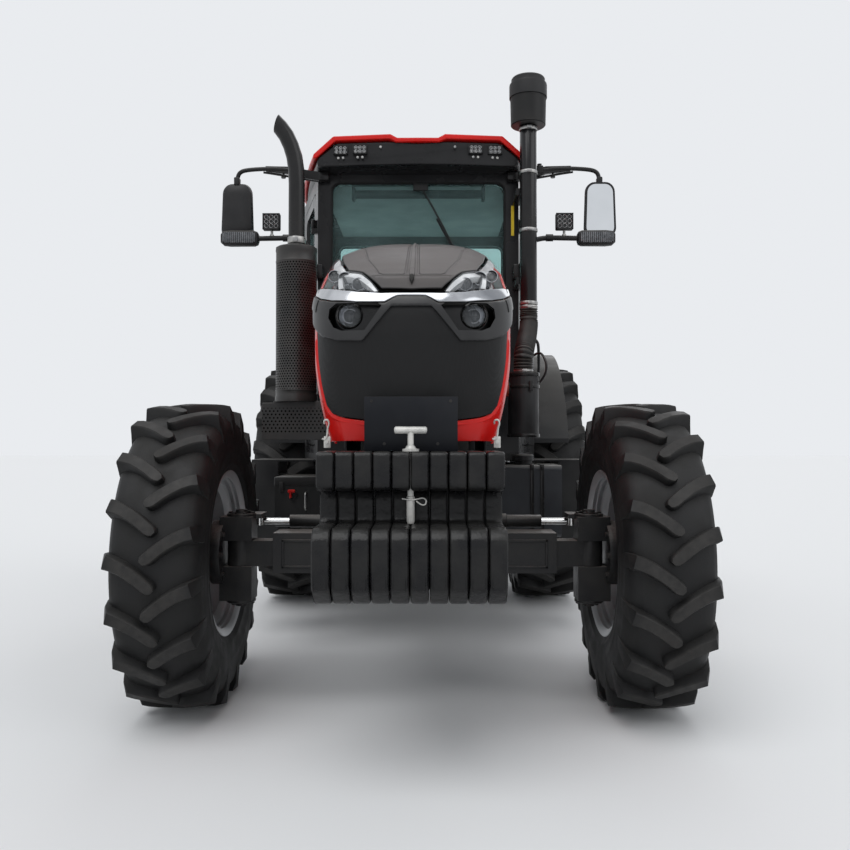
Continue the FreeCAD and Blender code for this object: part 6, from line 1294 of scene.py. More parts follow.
piece("exhaust_pipe", tail_pipe(), gloss_black, "chassis", "heat_black", "exhaust")
bands = bmesh.new()
clamp(bands, (*EXHAUST, 2.275), 0.0445, 0.034)
piece("exhaust_clamp", bands, bolt_zinc, "chassis", "zinc")
feet = bmesh.new()
for level in (1.44, 1.52):
    block(feet, (EXHAUST[0] + 0.1, EXHAUST[1] - 0.022, level),
        (EXHAUST[0] + 0.306, EXHAUST[1] + 0.022, level + 0.006), 0.002)
piece("exhaust_brackets", feet, satin_black, "chassis", "heat_black")

guard_paint = perforated(finish("guard_paint", (0.016, 0.016, 0.016, 1), (0.034, 0.032, 0.03, 1),
    patch=6, grain=300, roughness=(0.38, 0.55), bump=0.2, dust=0.4), 0.021, 0.0095, None,
    (1.232, 1.372))
dress("muffler_guard", guard_paint, 0.004)
dress("front_plate", satin_black, 0)
dress("engine_side_covers", satin_black, 0.006)

# Side covers' openings: slots in the pressed sheet, with louvres bent out over them in rows
# of six; the slots are drawn as near-black blocks, painted shade in the openings.
cover_trim = bmesh.new()
cover_slot_painted_shade = bmesh.new()
for out in (-1, 1):
    for step in range(9):
        y = FRONT_AXLE + 0.3 + step * 0.072
        block(cover_slot_painted_shade, (out * 0.3405, y, 1.24), (out * 0.3445, y + 0.044, 1.5), 0.002)
        for rise in range(6):
            z = 1.252 + rise * 0.042
            block(cover_trim, (out * 0.341, y + 0.003, z), (out * 0.352, y + 0.041, z + 0.013),
                0.003)
piece("cover_slot_painted_shade", cover_slot_painted_shade, black_and_painted_shade, "chassis", "black_plastic")
piece("cover_louvres", cover_trim, satin_black, "chassis", "black_plastic")

# Air intake: a ribbed rubber hose from the can up to the tall pipe, with a screwed band clamp
# at each joint, a red silicone elbow, and a plastic pre-cleaner over a fine mesh on top.
INTAKE = (0.63, FRONT_AXLE + 0.9)


def ribbed(points, radius, rib, depth, sides=40):
    """A corrugated hose along a smooth line through points, ribs every so far along it."""
    line = []
    for a, b, c, d in zip(points[:1] + points, points, points[1:], points[2:] + points[-1:]):
        for k in range(24):
            t = k / 24
            line.append(0.5 * ((2 * Vector(b)) + (Vector(c) - Vector(a)) * t + (2 * Vector(a) - 5 *
                Vector(b) + 4 * Vector(c) - Vector(d)) * t * t + (3 * Vector(b) - Vector(a) - 3 *
                Vector(c) + Vector(d)) * t ** 3))
    line.append(Vector(points[-1]))
    far = [0.0]
    for a, b in zip(line, line[1:]):
        far.append(far[-1] + (b - a).length)
    side = Vector((1, 0, 0))
    rings = []
    count = int(far[-1] / rib) * 6
    at = 0
    for step in range(count + 1):
        want = far[-1] * step / count
        while at < len(far) - 2 and far[at + 1] < want:
            at += 1
        share = (want - far[at]) / max(far[at + 1] - far[at], 1e-9)
        spot = line[at].lerp(line[at + 1], min(share, 1.0))
        ahead = (line[min(at + 2, len(line) - 1)] - line[max(at - 1, 0)]).normalized()
        side = (side - ahead * side.dot(ahead)).normalized()
        other = ahead.cross(side)
        wide = radius + depth * (0.5 - 0.5 * math.cos(2 * math.pi * step / 6)) ** 0.7
        if step in (0, count):
            wide = radius
        rings.append([spot + (side * math.cos(2 * math.pi * i / sides) + other * math.sin(2 *
            math.pi * i / sides)) * wide for i in range(sides)])
    return lofted(rings)


hose_rubber = finish("hose_rubber", (0.014, 0.014, 0.014, 1), (0.03, 0.028, 0.026, 1), patch=10,
    grain=250, roughness=(0.42, 0.6), bump=0.1, dust=0.3)
CAN = (0.558, FRONT_AXLE + 0.52)
hose = ribbed([(*INTAKE, 1.9595), (*INTAKE, 1.9), (0.628, INTAKE[1] - 0.02, 1.845),
    (0.598, (INTAKE[1] + CAN[1]) / 2, 1.75), (0.565, CAN[1] + 0.02, 1.665), (*CAN, 1.61),
    (*CAN, 1.5505)], 0.0455, 0.0125, 0.0065)
piece("intake_ribbed_hose", hose, hose_rubber, "chassis", "hose_rubber", "intake_hose")
bands = bmesh.new()
for level, radius in ((1.952, 0.047), (1.975, 0.048), (2.39, 0.048), (2.72, 0.048), (2.968, 0.048),
        (1.56, 0.047)):
    place = CAN if level < 1.6 else INTAKE
    clamp(bands, (*place, level), radius, 0.018)
piece("intake_clamps", bands, bolt_zinc, "chassis", "zinc")
can_parts = bmesh.new()
for low, high in ((1.2149, 1.232), (1.47, 1.486), (1.532, 1.5505)):
    turned(can_parts, [(low, 0.079), (low, 0.0835), (low + 0.003, 0.085), (high - 0.003, 0.085),
        (high, 0.0835), (high, 0.079)], (*CAN, 0), 56, "Z")
for turn in (20, 140, 260):
    a = math.radians(turn)
    x, y = CAN[0] + 0.088 * math.sin(a), CAN[1] - 0.088 * math.cos(a)
    block(can_parts, (x - 0.009, y - 0.005, 1.452), (x + 0.009, y + 0.005, 1.505), 0.002)
piece("air_cleaner_bands", can_parts, gloss_black, "chassis", "black_plastic")
elbow = turned(None, [(0.352, 0.0405), (0.352, 0.046), (0.365, 0.0475), (0.42, 0.0475),
    (0.478, 0.044), (0.478, 0.0405)], (0, CAN[1], 1.47), 40)
red_rubber = finish("silicone_red", (0.34, 0.03, 0.015, 1), (0.44, 0.05, 0.022, 1), patch=18,
    grain=600, roughness=(0.35, 0.5), bump=0.1, dust=0.15)
piece("intake_elbow_sleeve", elbow, red_rubber, "chassis", "hose_rubber")
drain = pipe("drain", [(0.642, CAN[1] - 0.02, 1.5), (0.672, CAN[1] - 0.04, 1.54),
    (0.675, CAN[1] - 0.04, 1.6), (0.655, CAN[1], 1.655), (0.64, CAN[1] + 0.1, 1.665),
    (0.6, CAN[1] + 0.16, 1.64)], 0.0065)
piece("breather_pipe", drain, gloss_black, "chassis", "black_plastic")
mesh_black = perforated(finish("mesh_black", (0.016, 0.016, 0.016, 1), (0.032, 0.031, 0.03, 1),
    patch=9, grain=500, roughness=(0.4, 0.55), bump=0.15, dust=0.2), 0.0088, 0.0062,
    (*INTAKE, 0.0995))
skirt = turned(None, [(2.9875, 0.049), (2.9875, 0.094), (2.992, 0.0985), (3.14, 0.1015),
    (3.149, 0.1015), (3.149, 0.049)], (*INTAKE, 0), 72, "Z")
piece("pre_cleaner_mesh", skirt, mesh_black, "chassis", "black_plastic")
cap = turned(None, [(3.146, 0.104), (3.146, 0.1068), (3.215, 0.1068), (3.224, 0.1048),
    (3.228, 0.0965), (3.231, 0.0955), (3.252, 0.0955), (3.259, 0.091), (3.2615, 0.08),
    (3.2615, 0.0006), (3.16, 0.0006), (3.16, 0.104)], (*INTAKE, 0), 72, "Z")
piece("pre_cleaner_cap", cap, moulded_black, "chassis", "black_plastic", "pre_cleaner")

# Fuel tank on the left, moulded in grey plastic under two steel straps; battery box on the
# right, folded from sheet steel, with a lid, a red switch and a wire handle.
tank_grey = finish("tank_grey", (0.026, 0.028, 0.032, 1), (0.042, 0.045, 0.051, 1), patch=4,
    grain=900, roughness=(0.34, 0.5), bump=0.2, depth=0.0008, dust=0.4)
dress("fuel_tank", tank_grey, 0.018)
dress("battery_box", satin_black, 0.008)
straps = bmesh.new()
for x in (0.655, 0.713):
    y = FRONT_AXLE + 0.957
    block(straps, (x - 0.011, y - 0.001, 0.65), (x + 0.011, y + 0.004, 1.06), 0.0015)
    block(straps, (x - 0.011, y, 1.0555), (x + 0.011, y + 0.7, 1.0595), 0.0015)
    block(straps, (x - 0.008, y - 0.012, 1.03), (x + 0.008, y + 0.002, 1.052), 0.003)
piece("tank_straps", straps, gloss_black, "chassis", "black_plastic")
neck = turned(None, [(1.05, 0.0006), (1.05, 0.052), (1.078, 0.052), (1.08, 0.06), (1.108, 0.06),
    (1.116, 0.054), (1.118, 0.0006)], (0.62, FRONT_AXLE + 1.1, 0), 44, "Z")
piece("tank_cap", neck, moulded_black, "chassis", "black_plastic")
box_front = FRONT_AXLE + 0.96
lid = block(None, (-0.823, box_front - 0.004, 0.936), (-0.507, -0.033, 0.9885), 0.006)
for x in (-0.78, -0.55):
    block(lid, (x - 0.012, box_front - 0.012, 0.905), (x + 0.012, box_front - 0.002, 0.96), 0.003)
piece("battery_lid", lid, satin_black, "chassis", "black_plastic")
switch = turned(None, [(box_front - 0.006, 0.0006), (box_front - 0.006, 0.026),
    (box_front + 0.004, 0.028), (box_front + 0.004, 0.0006)], (-0.715, 0, 0.885), 32, "Y")
piece("switch_rose", switch, moulded_black, "chassis", "black_plastic")
key = block(None, (-0.732, box_front - 0.032, 0.868), (-0.719, box_front - 0.004, 0.916), 0.004)
block(key, (-0.74, box_front - 0.036, 0.9), (-0.698, box_front - 0.026, 0.918), 0.004)
switch_red = finish("switch_red", (0.5, 0.012, 0.01, 1), (0.6, 0.02, 0.015, 1), patch=20,
    grain=400, roughness=(0.3, 0.45), dust=0.15)
piece("battery_switch", key, switch_red, "chassis", "black_plastic")
loop = pipe("loop", [(-0.64, box_front, 0.8), (-0.64, box_front - 0.026, 0.8),
    (-0.64, box_front - 0.03, 0.83), (-0.64, box_front - 0.03, 0.872),
    (-0.64, box_front - 0.026, 0.9), (-0.64, box_front, 0.9)], 0.006)
piece("battery_handle", loop, bolt_zinc, "chassis", "zinc")
dress("steps", satin_black, 0.003)

# Cab: a welded frame of rounded steel posts in black paint, with tinted green-blue panes held in
# rubber seals; the doors hang on the front posts and have long bent handles.
cab_paint = finish("cab_paint", (0.01, 0.01, 0.011, 1), (0.019, 0.019, 0.02, 1), patch=3,
    grain=700, roughness=(0.22, 0.36), bump=0.08, depth=0.001, dust=0.22)
dress("cab_frame", cab_paint, 0.012)
dress("cab_floor", satin_black, 0.006)
for side in ("left", "right"):
    dress(f"door_frame_{side}", cab_paint, 0.008)


def pane_glass(name, tint, film):
    """Tinted toughened glass: coloured, clear enough to see in, reflecting at a flat angle."""
    material, tree, shader = new_material(name)
    place = node(tree, "TexCoord").outputs["Object"]
    smears = node(tree, "TexNoise", {"Vector": place, "Scale": 3.5, "Detail": 8}).outputs["Fac"]
    dusty = node(tree, "MapRange", {"Value": smears, "From Min": 0.35, "From Max": 0.8,
        "To Min": film, "To Max": film + 0.1})
    haze = node(tree, "MapRange", {"Value": smears, "To Min": 0.015, "To Max": 0.09})
    plug(tree, shader.inputs, {"Base Color": tint, "IOR": 1.5, "Roughness": haze.outputs[0],
        "Specular Tint": (0.9, 1.0, 1.0, 1)})
    through = node(tree, "BsdfTransparent", {"Color": (0.82, 0.93, 0.92, 1)})
    both = node(tree, "MixShader", {0: dusty.outputs[0], 1: through.outputs[0],
        2: shader.outputs[0]})
    tree.links.new(both.outputs[0], tree.nodes["Material Output"].inputs["Surface"])
    return material


tinted = pane_glass("tinted_glass", (0.3, 0.42, 0.42, 1), 0.09)
dress("cab_glass", tinted, 0)
for side in ("left", "right"):
    dress(f"door_glass_{side}", tinted, 0)

# Door handles: bent tubes screwed to each door's rear stile, over a round key lock.
def cab_side(y):
    """How far out the cab's slanting side is at a place along it."""
    return 0.6 + (y + 0.255) * 0.2533


for side, out in (("left", 1), ("right", -1)):
    face = cab_side(0.388)
    handle = pipe("handle", [(out * (face - 0.004), 0.388, 1.56),
        (out * (face + 0.03), 0.384, 1.57), (out * (face + 0.038), 0.383, 1.64),
        (out * (face + 0.038), 0.383, 1.8), (out * (face + 0.03), 0.384, 1.87),
        (out * (face - 0.004), 0.388, 1.88)], 0.01, order=3)
    latch = block(None, (out * (face - 0.01), 0.364, 1.47), (out * (face + 0.012), 0.412, 1.54),
        0.006)
    turned(latch, [(out * (face + 0.012), 0.0006), (out * (face + 0.012), 0.012),
        (out * (face + 0.02), 0.011), (out * (face + 0.02), 0.0006)], (0, 0.388, 1.505), 24)
    piece(f"door_handle_{side}", joined(handle, mesh_of(latch)), gloss_black, f"door_{side}",
        "cab_black")

wiper = [pipe("arm", [(0.02, -0.262, 2.7), (0.03, -0.275, 2.69), (0.16, -0.28, 2.45),
    (0.27, -0.274, 2.235)], 0.006)]
wiper.append(mesh_of(block(None, (-0.03, -0.275, 2.688), (0.06, -0.256, 2.74), 0.008)))
wiper.append(pipe("blade", [(0.11, -0.268, 2.52), (0.195, -0.27, 2.36), (0.28, -0.268, 2.2)],
    0.0055))
piece("windscreen_wiper", joined(*wiper), satin_black, "chassis", "cab_black")
blind = turned(None, [(-0.4, 0.0006), (-0.4, 0.026), (0.4, 0.026), (0.4, 0.0006)], (0, -0.15, 2.7),
    28)
for x in (-0.405, 0.385):
    block(blind, (x, -0.182, 2.66), (x + 0.02, -0.12, 2.745), 0.006)
piece("sun_blind", blind, moulded_black, "chassis", "interior_grey")

# Roof: a red moulded cap, raised at both front corners, its sides sloping down over a black
# surround that makes the visor; four square lamps are set into the front.
ROOF_PLAN = [(-0.455, 0.618), (-0.25, 0.668), (0.0, 0.72), (0.25, 0.765), (0.495, 0.803),
    (0.8, 0.8), (1.1, 0.788), (1.3, 0.776), (1.443, 0.765)]


def roof_ring(y, outline, back=0.0):
    """One section of the roof, bowed so that its corners lie further back than its middle."""
    ring = [(x, z) for x, z in outline] + [(-x, z) for x, z in reversed(outline) if x > 0.001]
    bow = max(0.0, 1 - (y + 0.455) / 0.5)
    return [(x, min(y + back + 0.055 * bow * (x / 0.62) ** 2, 1.443), z) for x, z in ring]


red = []
dark = []
for y, half in ROOF_PLAN:
    crest = 2.966
    dip = 2.944 if y < 0.3 else 2.95
    shell = [(0.0, dip), (0.118, dip), (0.158, crest), (half - 0.128, crest - 0.002),
        (half - 0.01, 2.866), (half - 0.006, 2.842), (half - 0.024, 2.838), (half - 0.142, 2.934),
        (0.165, 2.936), (0.125, 2.918), (0.0, 2.918)]
    red.append(roof_ring(y, shell))
    body = [(0.0, 2.916), (0.15, 2.926), (half - 0.15, 2.928), (half - 0.034, 2.846),
        (half - 0.03, 2.812), (half - 0.05, 2.7912), (half * 0.5, 2.7912), (0.0, 2.7912)]
    dark.append(roof_ring(y, body, 0.016))


roof_red = red_enamel("roof_red_enamel")
eased(piece("roof_red_cap", lofted(red), roof_red, "chassis", "roof_red", "roof"), 0.008)
eased(piece("roof_visor", lofted(dark), cab_paint, "chassis", "cab_black", "roof_surround"), 0.01)
hatch = block(None, (-0.3, 0.35, 2.944), (0.3, 0.95, 2.9655), 0.01, 3)
piece("roof_hatch", hatch, roof_red, "chassis", "roof_red")

lamp_glass = finish("led_lens", (0.5, 0.51, 0.52, 1), (0.66, 0.66, 0.66, 1), patch=60, grain=200,
    roughness=(0.08, 0.2), metal=0.4, bump=0.4, depth=0.004, dust=0)


def led_face(centre, across, high, columns, rows):
    """A square lamp's face: a bezel, silvered cells and a small bright emitter in each."""
    x, y, z = centre
    frame_part = bmesh.new()
    for dx0, dx1, dz0, dz1 in ((-across, across, high * 0.82, high),
            (-across, across, -high, -high * 0.82), (-across, -across * 0.84, -high, high),
            (across * 0.84, across, -high, high)):
        block(frame_part, (x + dx0, y - 0.006, z + dz0), (x + dx1, y + 0.004, z + dz1), 0.0015)
    cells = bmesh.new()
    pitch_x = across * 1.68 / columns
    pitch_z = high * 1.64 / rows
    for i in range(columns):
        for j in range(rows):
            spot = (x - across * 0.84 + (i + 0.5) * pitch_x, 0,
                z - high * 0.82 + (j + 0.5) * pitch_z)
            r = min(pitch_x, pitch_z) / 2
            turned(cells, [(y - 0.002, r * 0.96), (y + 0.004, r * 0.55), (y + 0.005, 0.0004),
                (y + 0.007, 0.0004), (y + 0.007, r * 0.96)], spot, 16, "Y")
            turned(cells, [(y + 0.001, 0.0004), (y + 0.002, r * 0.3), (y + 0.006, r * 0.34),
                (y + 0.006, 0.0004)], spot, 12, "Y")
    block(cells, (x - across * 0.86, y + 0.0035, z - high * 0.86),
        (x + across * 0.86, y + 0.009, z + high * 0.86))
    return frame_part, cells


led_frames = []
led_cells = []
for out in (-1, 1):
    for x in (0.448, 0.335):
        face_y = -0.446 + 0.055 * (x / 0.62) ** 2
        bezel, cells = led_face((out * x, face_y, 2.883), 0.042, 0.027, 3, 2)
        block(bezel, (out * x - 0.041, face_y + 0.003, 2.857), (out * x + 0.041, -0.4, 2.909),
            0.004)
        led_frames.append(mesh_of(bezel))
        led_cells.append(mesh_of(cells))
piece("roof_lamp_bezels", joined(*led_frames), moulded_black, "chassis", "black_plastic",
    "roof_lights")
screws = bmesh.new()
for out in (-1, 1):
    for x in (0.462, 0.434, 0.349, 0.321, 0.215):
        bow = 0.055 * (x / 0.62) ** 2
        turned(screws, [(bow - 0.4445, 0.0004), (bow - 0.4435, 0.007), (bow - 0.43, 0.007),
            (bow - 0.43, 0.0004)], (out * x, 0, 2.838 if x > 0.3 else 2.895), 12, "Y")
piece("visor_screws", screws, bolt_zinc, "chassis", "zinc")
# A pale grey cloth headliner, as cabs have; its paleness seen through the windscreen also paints
# the light reflection on the glass.
headliner_and_painted_reflection = finish("headliner_cloth_and_painted_reflection", (0.42, 0.43, 0.43, 1), (0.52, 0.53, 0.53, 1), patch=5,
    grain=1500, roughness=(0.85, 0.95), bump=0.4, depth=0.001, dust=0, shine=0.1)
ceiling = block(None, (-0.6, -0.18, 2.776), (0.6, 1.27, 2.7895), 0.004)
piece("cab_headliner_and_painted_reflection", ceiling, headliner_and_painted_reflection, "chassis", "interior_grey")
sign_yellow = finish("blank_yellow_strip", (0.62, 0.44, 0.02, 1), (0.7, 0.52, 0.04, 1), patch=20,
    grain=300, roughness=(0.35, 0.5), dust=0.1)
strip = block(None, (0.555, -0.2595, 2.42), (0.573, -0.2555, 2.6), 0.0008)
piece("blank_strip", strip, sign_yellow, "chassis", "cab_black")
piece("roof_lamp_cells", joined(*led_cells), lamp_glass, "chassis", "lamp_led")

# Mirrors: moulded plastic shells with flat silvered glass, clamped to bent steel tubes that
# start at the roof's front corners.
MIRROR = (1.075, -0.295, 2.56)


def rounded_box(half_x, half_z, corner, sides=5, slant=0.0):
    """The points of a rounded oblong, wider below by the slant."""
    points = []
    for sx, sz, start in ((1, 1, 0), (-1, 1, 90), (-1, -1, 180), (1, -1, 270)):
        for k in range(sides + 1):
            a = math.radians(start + 90 * k / sides)
            z = sz * (half_z - corner) + corner * math.sin(a)
            x = sx * (half_x - corner) + corner * math.cos(a)
            points.append((x * (1 - slant * z / half_z), z))
    return points


mirror_glass = finish("mirror_glass", (0.66, 0.68, 0.7, 1), (0.72, 0.74, 0.76, 1), patch=5,
    grain=400, roughness=(0.02, 0.07), metal=1.0, bump=0.01, dust=0)
shells = bmesh.new()
arms = []
glasses = bmesh.new()
for out, facing in ((1, -1), (-1, 1)):
    x, y, z = out * MIRROR[0], MIRROR[1], MIRROR[2]
    rings = []
    for reach, half_x, half_z, corner in ((0.027, 0.082, 0.155, 0.05), (0.029, 0.09, 0.163, 0.056),
            (0.01, 0.092, 0.165, 0.058), (-0.012, 0.086, 0.158, 0.056), (-0.024, 0.07, 0.14, 0.05),
            (-0.029, 0.04, 0.1, 0.03)):
        rings.append([(x + a, y + facing * reach, z + b) for a,
            b in rounded_box(half_x, half_z, corner, 6, 0.06)])
    lofted(rings, shells)
    face = [[(x + a, y + facing * reach, z + b) for a,
        b in rounded_box(half, high, 0.048, 6, 0.06)] for reach, half,
        high in ((0.0275, 0.079, 0.152), (0.0292, 0.078, 0.151))]
    lofted(face, glasses)
    block(shells, (x - 0.016, y - 0.024, z + 0.15), (x + 0.016, y + 0.024, z + 0.198), 0.006)
    arms.append(pipe("arm", [(out * 0.56, y, 2.765), (out * 0.64, y, 2.765),
        (out * 0.7, y - 0.004, 2.8), (out * 0.86, y - 0.01, 2.812), (out * 1.0, y - 0.006, 2.806),
        (x, y, 2.796), (x, y, 2.74), (x, y, 2.7)], 0.0125, order=4))
    arms.append(pipe("rod", [(out * 0.575, y + 0.012, 2.742), (out * 0.66, y + 0.012, 2.745),
        (out * 0.8, y + 0.008, 2.778), (out * 0.92, y + 0.004, 2.792)], 0.0065, order=4))
    joint = block(None, (out * 0.53, y - 0.018, 2.742), (out * 0.59, -0.257, 2.788), 0.006)
    block(joint, (out * 0.7, y - 0.022, 2.78), (out * 0.742, y + 0.018, 2.826), 0.006)
    taper = [[(out * x, y + dy * deep, level + dz * high) for dy,
        dz in ((1, 1), (-1, 1), (-1, -1), (1, -1))] for x, level, deep,
        high in ((0.585, 2.764, 0.016, 0.026), (0.66, 2.775, 0.016, 0.026),
        (0.76, 2.8, 0.015, 0.021), (0.905, 2.811, 0.0135, 0.0135))]
    lofted(taper, joint)
    turned(joint, [(2.756, 0.0006), (2.756, 0.013), (2.764, 0.015), (2.77, 0.006), (2.795, 0.006),
        (2.795, 0.0006)], (out * 0.8, y, 0), 20, "Z")
    turned(joint, [(2.69, 0.0006), (2.69, 0.019), (2.715, 0.019), (2.715, 0.0006)], (x, y, 0), 24,
        "Z")
    turned(joint, [(2.823, 0.0006), (2.823, 0.01), (2.838, 0.014), (2.843, 0.0006)],
        (out * 0.721, y, 0), 20, "Z")
    arms.append(mesh_of(joint))
eased(piece("mirror_shells", shells, moulded_black, "chassis", "cab_black", "mirrors", crease=50),
    0.002)
piece("mirror_arms", joined(*arms), gloss_black, "chassis", "cab_black")
piece("mirror_glasses", glasses, mirror_glass, "chassis", "trim_chrome")

# Lamp arms: bent steel tubes from the front posts carry the turn signals, in ribbed plastic,
# and square work lamps with cooling fins on their backs.
turn_lens = finish("turn_lens", (0.1, 0.108, 0.118, 1), (0.2, 0.208, 0.22, 1), patch=30, grain=400,
    roughness=(0.1, 0.22), bump=0.1, dust=0.2)
amber = finish("amber_lens", (0.55, 0.16, 0.01, 1), (0.7, 0.24, 0.02, 1), patch=30, grain=300,
    roughness=(0.1, 0.2), bump=0.15, dust=0.1)
LAMP_Y = -0.395
tubes = []
housings = bmesh.new()
ribs = bmesh.new()
ambers = bmesh.new()
posts = bmesh.new()
frames = []
cells_made = []
for out in (-1, 1):
    tubes.append(pipe("tube", [(out * 0.6, -0.3, 2.19), (out * 0.612, LAMP_Y, 2.25),
        (out * 0.64, LAMP_Y, 2.345), (out * 0.72, LAMP_Y, 2.376), (out * 0.85, LAMP_Y, 2.374),
        (out * 0.96, LAMP_Y, 2.372)], 0.015, order=3))
    root = block(None, (out * 0.56, -0.345, 2.15), (out * 0.63, -0.255, 2.235), 0.008)
    turned(root, [(out * 0.745, 0.015), (out * 0.745, 0.021), (out * 0.785, 0.021),
        (out * 0.785, 0.015)], (0, LAMP_Y, 2.3755), 24)
    tubes.append(mesh_of(root))
    rings = []
    for x, high, deep in ((0.925, 0.022, 0.02), (0.932, 0.036, 0.03), (0.95, 0.043, 0.034),
            (1.09, 0.044, 0.035), (1.128, 0.04, 0.032), (1.144, 0.026, 0.02)):
        rings.append([(out * x, LAMP_Y + a, 2.372 + b) for a,
            b in rounded_box(deep, high, min(high, deep) * 0.55, 5)])
    lofted(rings, housings)
    for step in range(17):
        x = 0.942 + step * 0.0112
        rise = 0.031 if 0 < step < 16 else 0.026
        block(ribs, (out * x, LAMP_Y - 0.0385, 2.372 - rise),
            (out * (x + 0.0085), LAMP_Y - 0.031, 2.372 + rise), 0.003)
    block(ambers, (out * 1.0, LAMP_Y + 0.029, 2.344), (out * 1.125, LAMP_Y + 0.037, 2.4), 0.006)
    turned(posts, [(2.386, 0.0006), (2.386, 0.012), (2.395, 0.012), (2.395, 0.0075),
        (2.424, 0.0075), (2.424, 0.0006)], (out * 0.85, LAMP_Y, 0), 24, "Z")
    block(housings, (out * 0.85 - 0.05, LAMP_Y - 0.024, 2.418),
        (out * 0.85 + 0.05, LAMP_Y + 0.016, 2.516), 0.007)
    for fin in range(7):
        x = out * 0.85 - 0.042 + fin * 0.0128
        block(housings, (x, LAMP_Y + 0.014, 2.426), (x + 0.005, LAMP_Y + 0.029, 2.508), 0.001)
    bezel, cells = led_face((out * 0.85, LAMP_Y - 0.0245, 2.467), 0.05, 0.047, 3, 3)
    frames.append(mesh_of(bezel))
    cells_made.append(mesh_of(cells))
piece("lamp_arm_tubes", joined(*tubes), gloss_black, "chassis", "cab_black", "lamp_arms")
piece("turn_lamp_housings", housings, moulded_black, "chassis", "black_plastic")
piece("turn_lamp_ribs", ribs, turn_lens, "chassis", "lamp_clear")
piece("turn_lamp_rear", ambers, amber, "chassis", "lamp_clear")
piece("work_lamp_posts", posts, bolt_zinc, "chassis", "zinc")
piece("work_lamp_bezels", joined(*frames), moulded_black, "chassis", "black_plastic")
piece("work_lamp_cells", joined(*cells_made), lamp_glass, "chassis", "lamp_led")

# Inside: a moulded dashboard, a rimmed steering wheel, and a sprung seat whose foam cushions
# are covered in sewn dark cloth with piping round their edges.
dress("dashboard", moulded_black, 0.01)
dress("steering_wheel", moulded_black, 0)
dress("seat_base", satin_black, 0.006)
seat_cloth = finish("seat_cloth", (0.02, 0.021, 0.024, 1), (0.036, 0.037, 0.041, 1), patch=14,
    grain=1500, roughness=(0.75, 0.92), bump=0.5, depth=0.001, dust=0.1, shine=0.15)
piping_grey = finish("piping_grey", (0.07, 0.072, 0.076, 1), (0.11, 0.112, 0.116, 1), patch=30,
    grain=1200, roughness=(0.6, 0.8), bump=0.3, dust=0.1)


def stuffed(name, low, high, lean, channels):
    """A foam cushion: blown up as cloth from a smaller block, then its channels sewn in."""
    skin_room = Vector((0.016, 0.016, 0.014))
    shape = block(None, Vector(low) + skin_room, Vector(high) - skin_room, 0.03, 4)
    for vert in shape.verts:
        vert.co.y += lean * (vert.co.z - low[2])
    work = placed("work", mesh_of(shape))
    voxels = work.modifiers.new("voxels", "REMESH")
    voxels.mode = "VOXEL"
    voxels.voxel_size = 0.0065
    fine = baked(work)
    work.modifiers.clear()
    work.data = fine
    start = [vert.co.copy() for vert in fine.vertices]
    cloth = work.modifiers.new("cloth", "CLOTH")
    cloth.settings.use_pressure = True
    cloth.settings.uniform_pressure_force = 4.0
    cloth.settings.quality = 4
    cloth.settings.effector_weights.gravity = 0.0
    cloth.collision_settings.use_collision = False
    scene = bpy.context.scene
    for step in range(1, 21):
        scene.frame_set(step)
    fine = baked(work)
    scene.frame_set(1)
    bpy.data.objects.remove(work)
    for vert, was in zip(fine.vertices, start):
        moved = vert.co - was
        if moved.length > 0.024:
            vert.co = was + moved.normalized() * 0.024
    normals = [vert.normal.copy() for vert in fine.vertices]
    for vert, out in zip(fine.vertices, normals):
        x, y, z = vert.co
        y -= lean * (z - low[2])
        sewn = sum(math.exp(-((x * a + y * b + z * c - d) / 0.01) ** 2) for a, b, c, d in channels)
        facing = max(0.0, out.z if lean < 0.05 else -out.y)
        vert.co -= out * 0.01 * min(sewn, 1.0) * facing
    made = piece(name, fine, seat_cloth, "chassis", "seat_fabric", crease=180)
    smoothed(made, 1)
    return made


def piping(name, made, outline, radius=0.0042):
    """A corded edge: a tube laid on the cushion's surface along the outline given."""
    tree = BVHTree.FromPolygons([vert.co for vert in made.data.vertices],
        [tuple(face.vertices) for face in made.data.polygons])
    spots = []
    for point in outline:
        found = tree.find_nearest(Vector(point))
        spots.append(found[0] + found[1] * radius * 0.3)
    piece(name, pipe(name, spots, radius, closed=True, sides=3), piping_grey, "chassis",
        "seat_fabric", crease=60)


SEAT_LOW = (-0.255, 0.545, 1.5)
SEAT_HIGH = (0.255, 1.025, 1.625)
BACK_LOW = (-0.255, 0.905, 1.625)
BACK_HIGH = (0.255, 1.025, 2.28)
LEAN = 0.168
cushion = stuffed("seat_cushion", SEAT_LOW, SEAT_HIGH, 0.0,
    ((1, 0, 0, 0.16), (1, 0, 0, -0.16), (0, 1, 0, 0.68), (0, 1, 0, 0.83)))
backrest = stuffed("seat_backrest", BACK_LOW, BACK_HIGH, LEAN,
    ((1, 0, 0, 0.16), (1, 0, 0, -0.16), (0, 0, 1, 1.8), (0, 0, 1, 1.95), (0, 0, 1, 2.09)))
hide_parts("seat")
edge_line = [(x, 0.785 + y, 1.612) for x, y in rounded_box(0.25, 0.235, 0.05, 6)]
piping("seat_piping", cushion, edge_line)
edge_line = [(x, 0.905 + LEAN * (0.33 + z) - 0.01, 1.955 + z) for x,
    z in rounded_box(0.25, 0.322, 0.06, 6)]
piping("backrest_piping", backrest, edge_line)
rings = []
for z in (1.64, 1.8, 2.0, 2.16, 2.255, 2.272):
    half = 0.235 if z < 2.2 else 0.235 - (z - 2.2) * 0.9
    y = 1.02 + LEAN * (z - 1.625)
    rings.append([(x, y + dy - abs(x) * 0.05, z) for x,
        dy in ((-half, -0.006), (-half * 0.5, 0.012), (0, 0.018), (half * 0.5, 0.012),
        (half, -0.006), (half * 0.5, 0.0), (0, 0.004), (-half * 0.5, 0.0))])
piece("backrest_shell", lofted(rings), moulded_black, "chassis", "black_plastic")
armrests = bmesh.new()
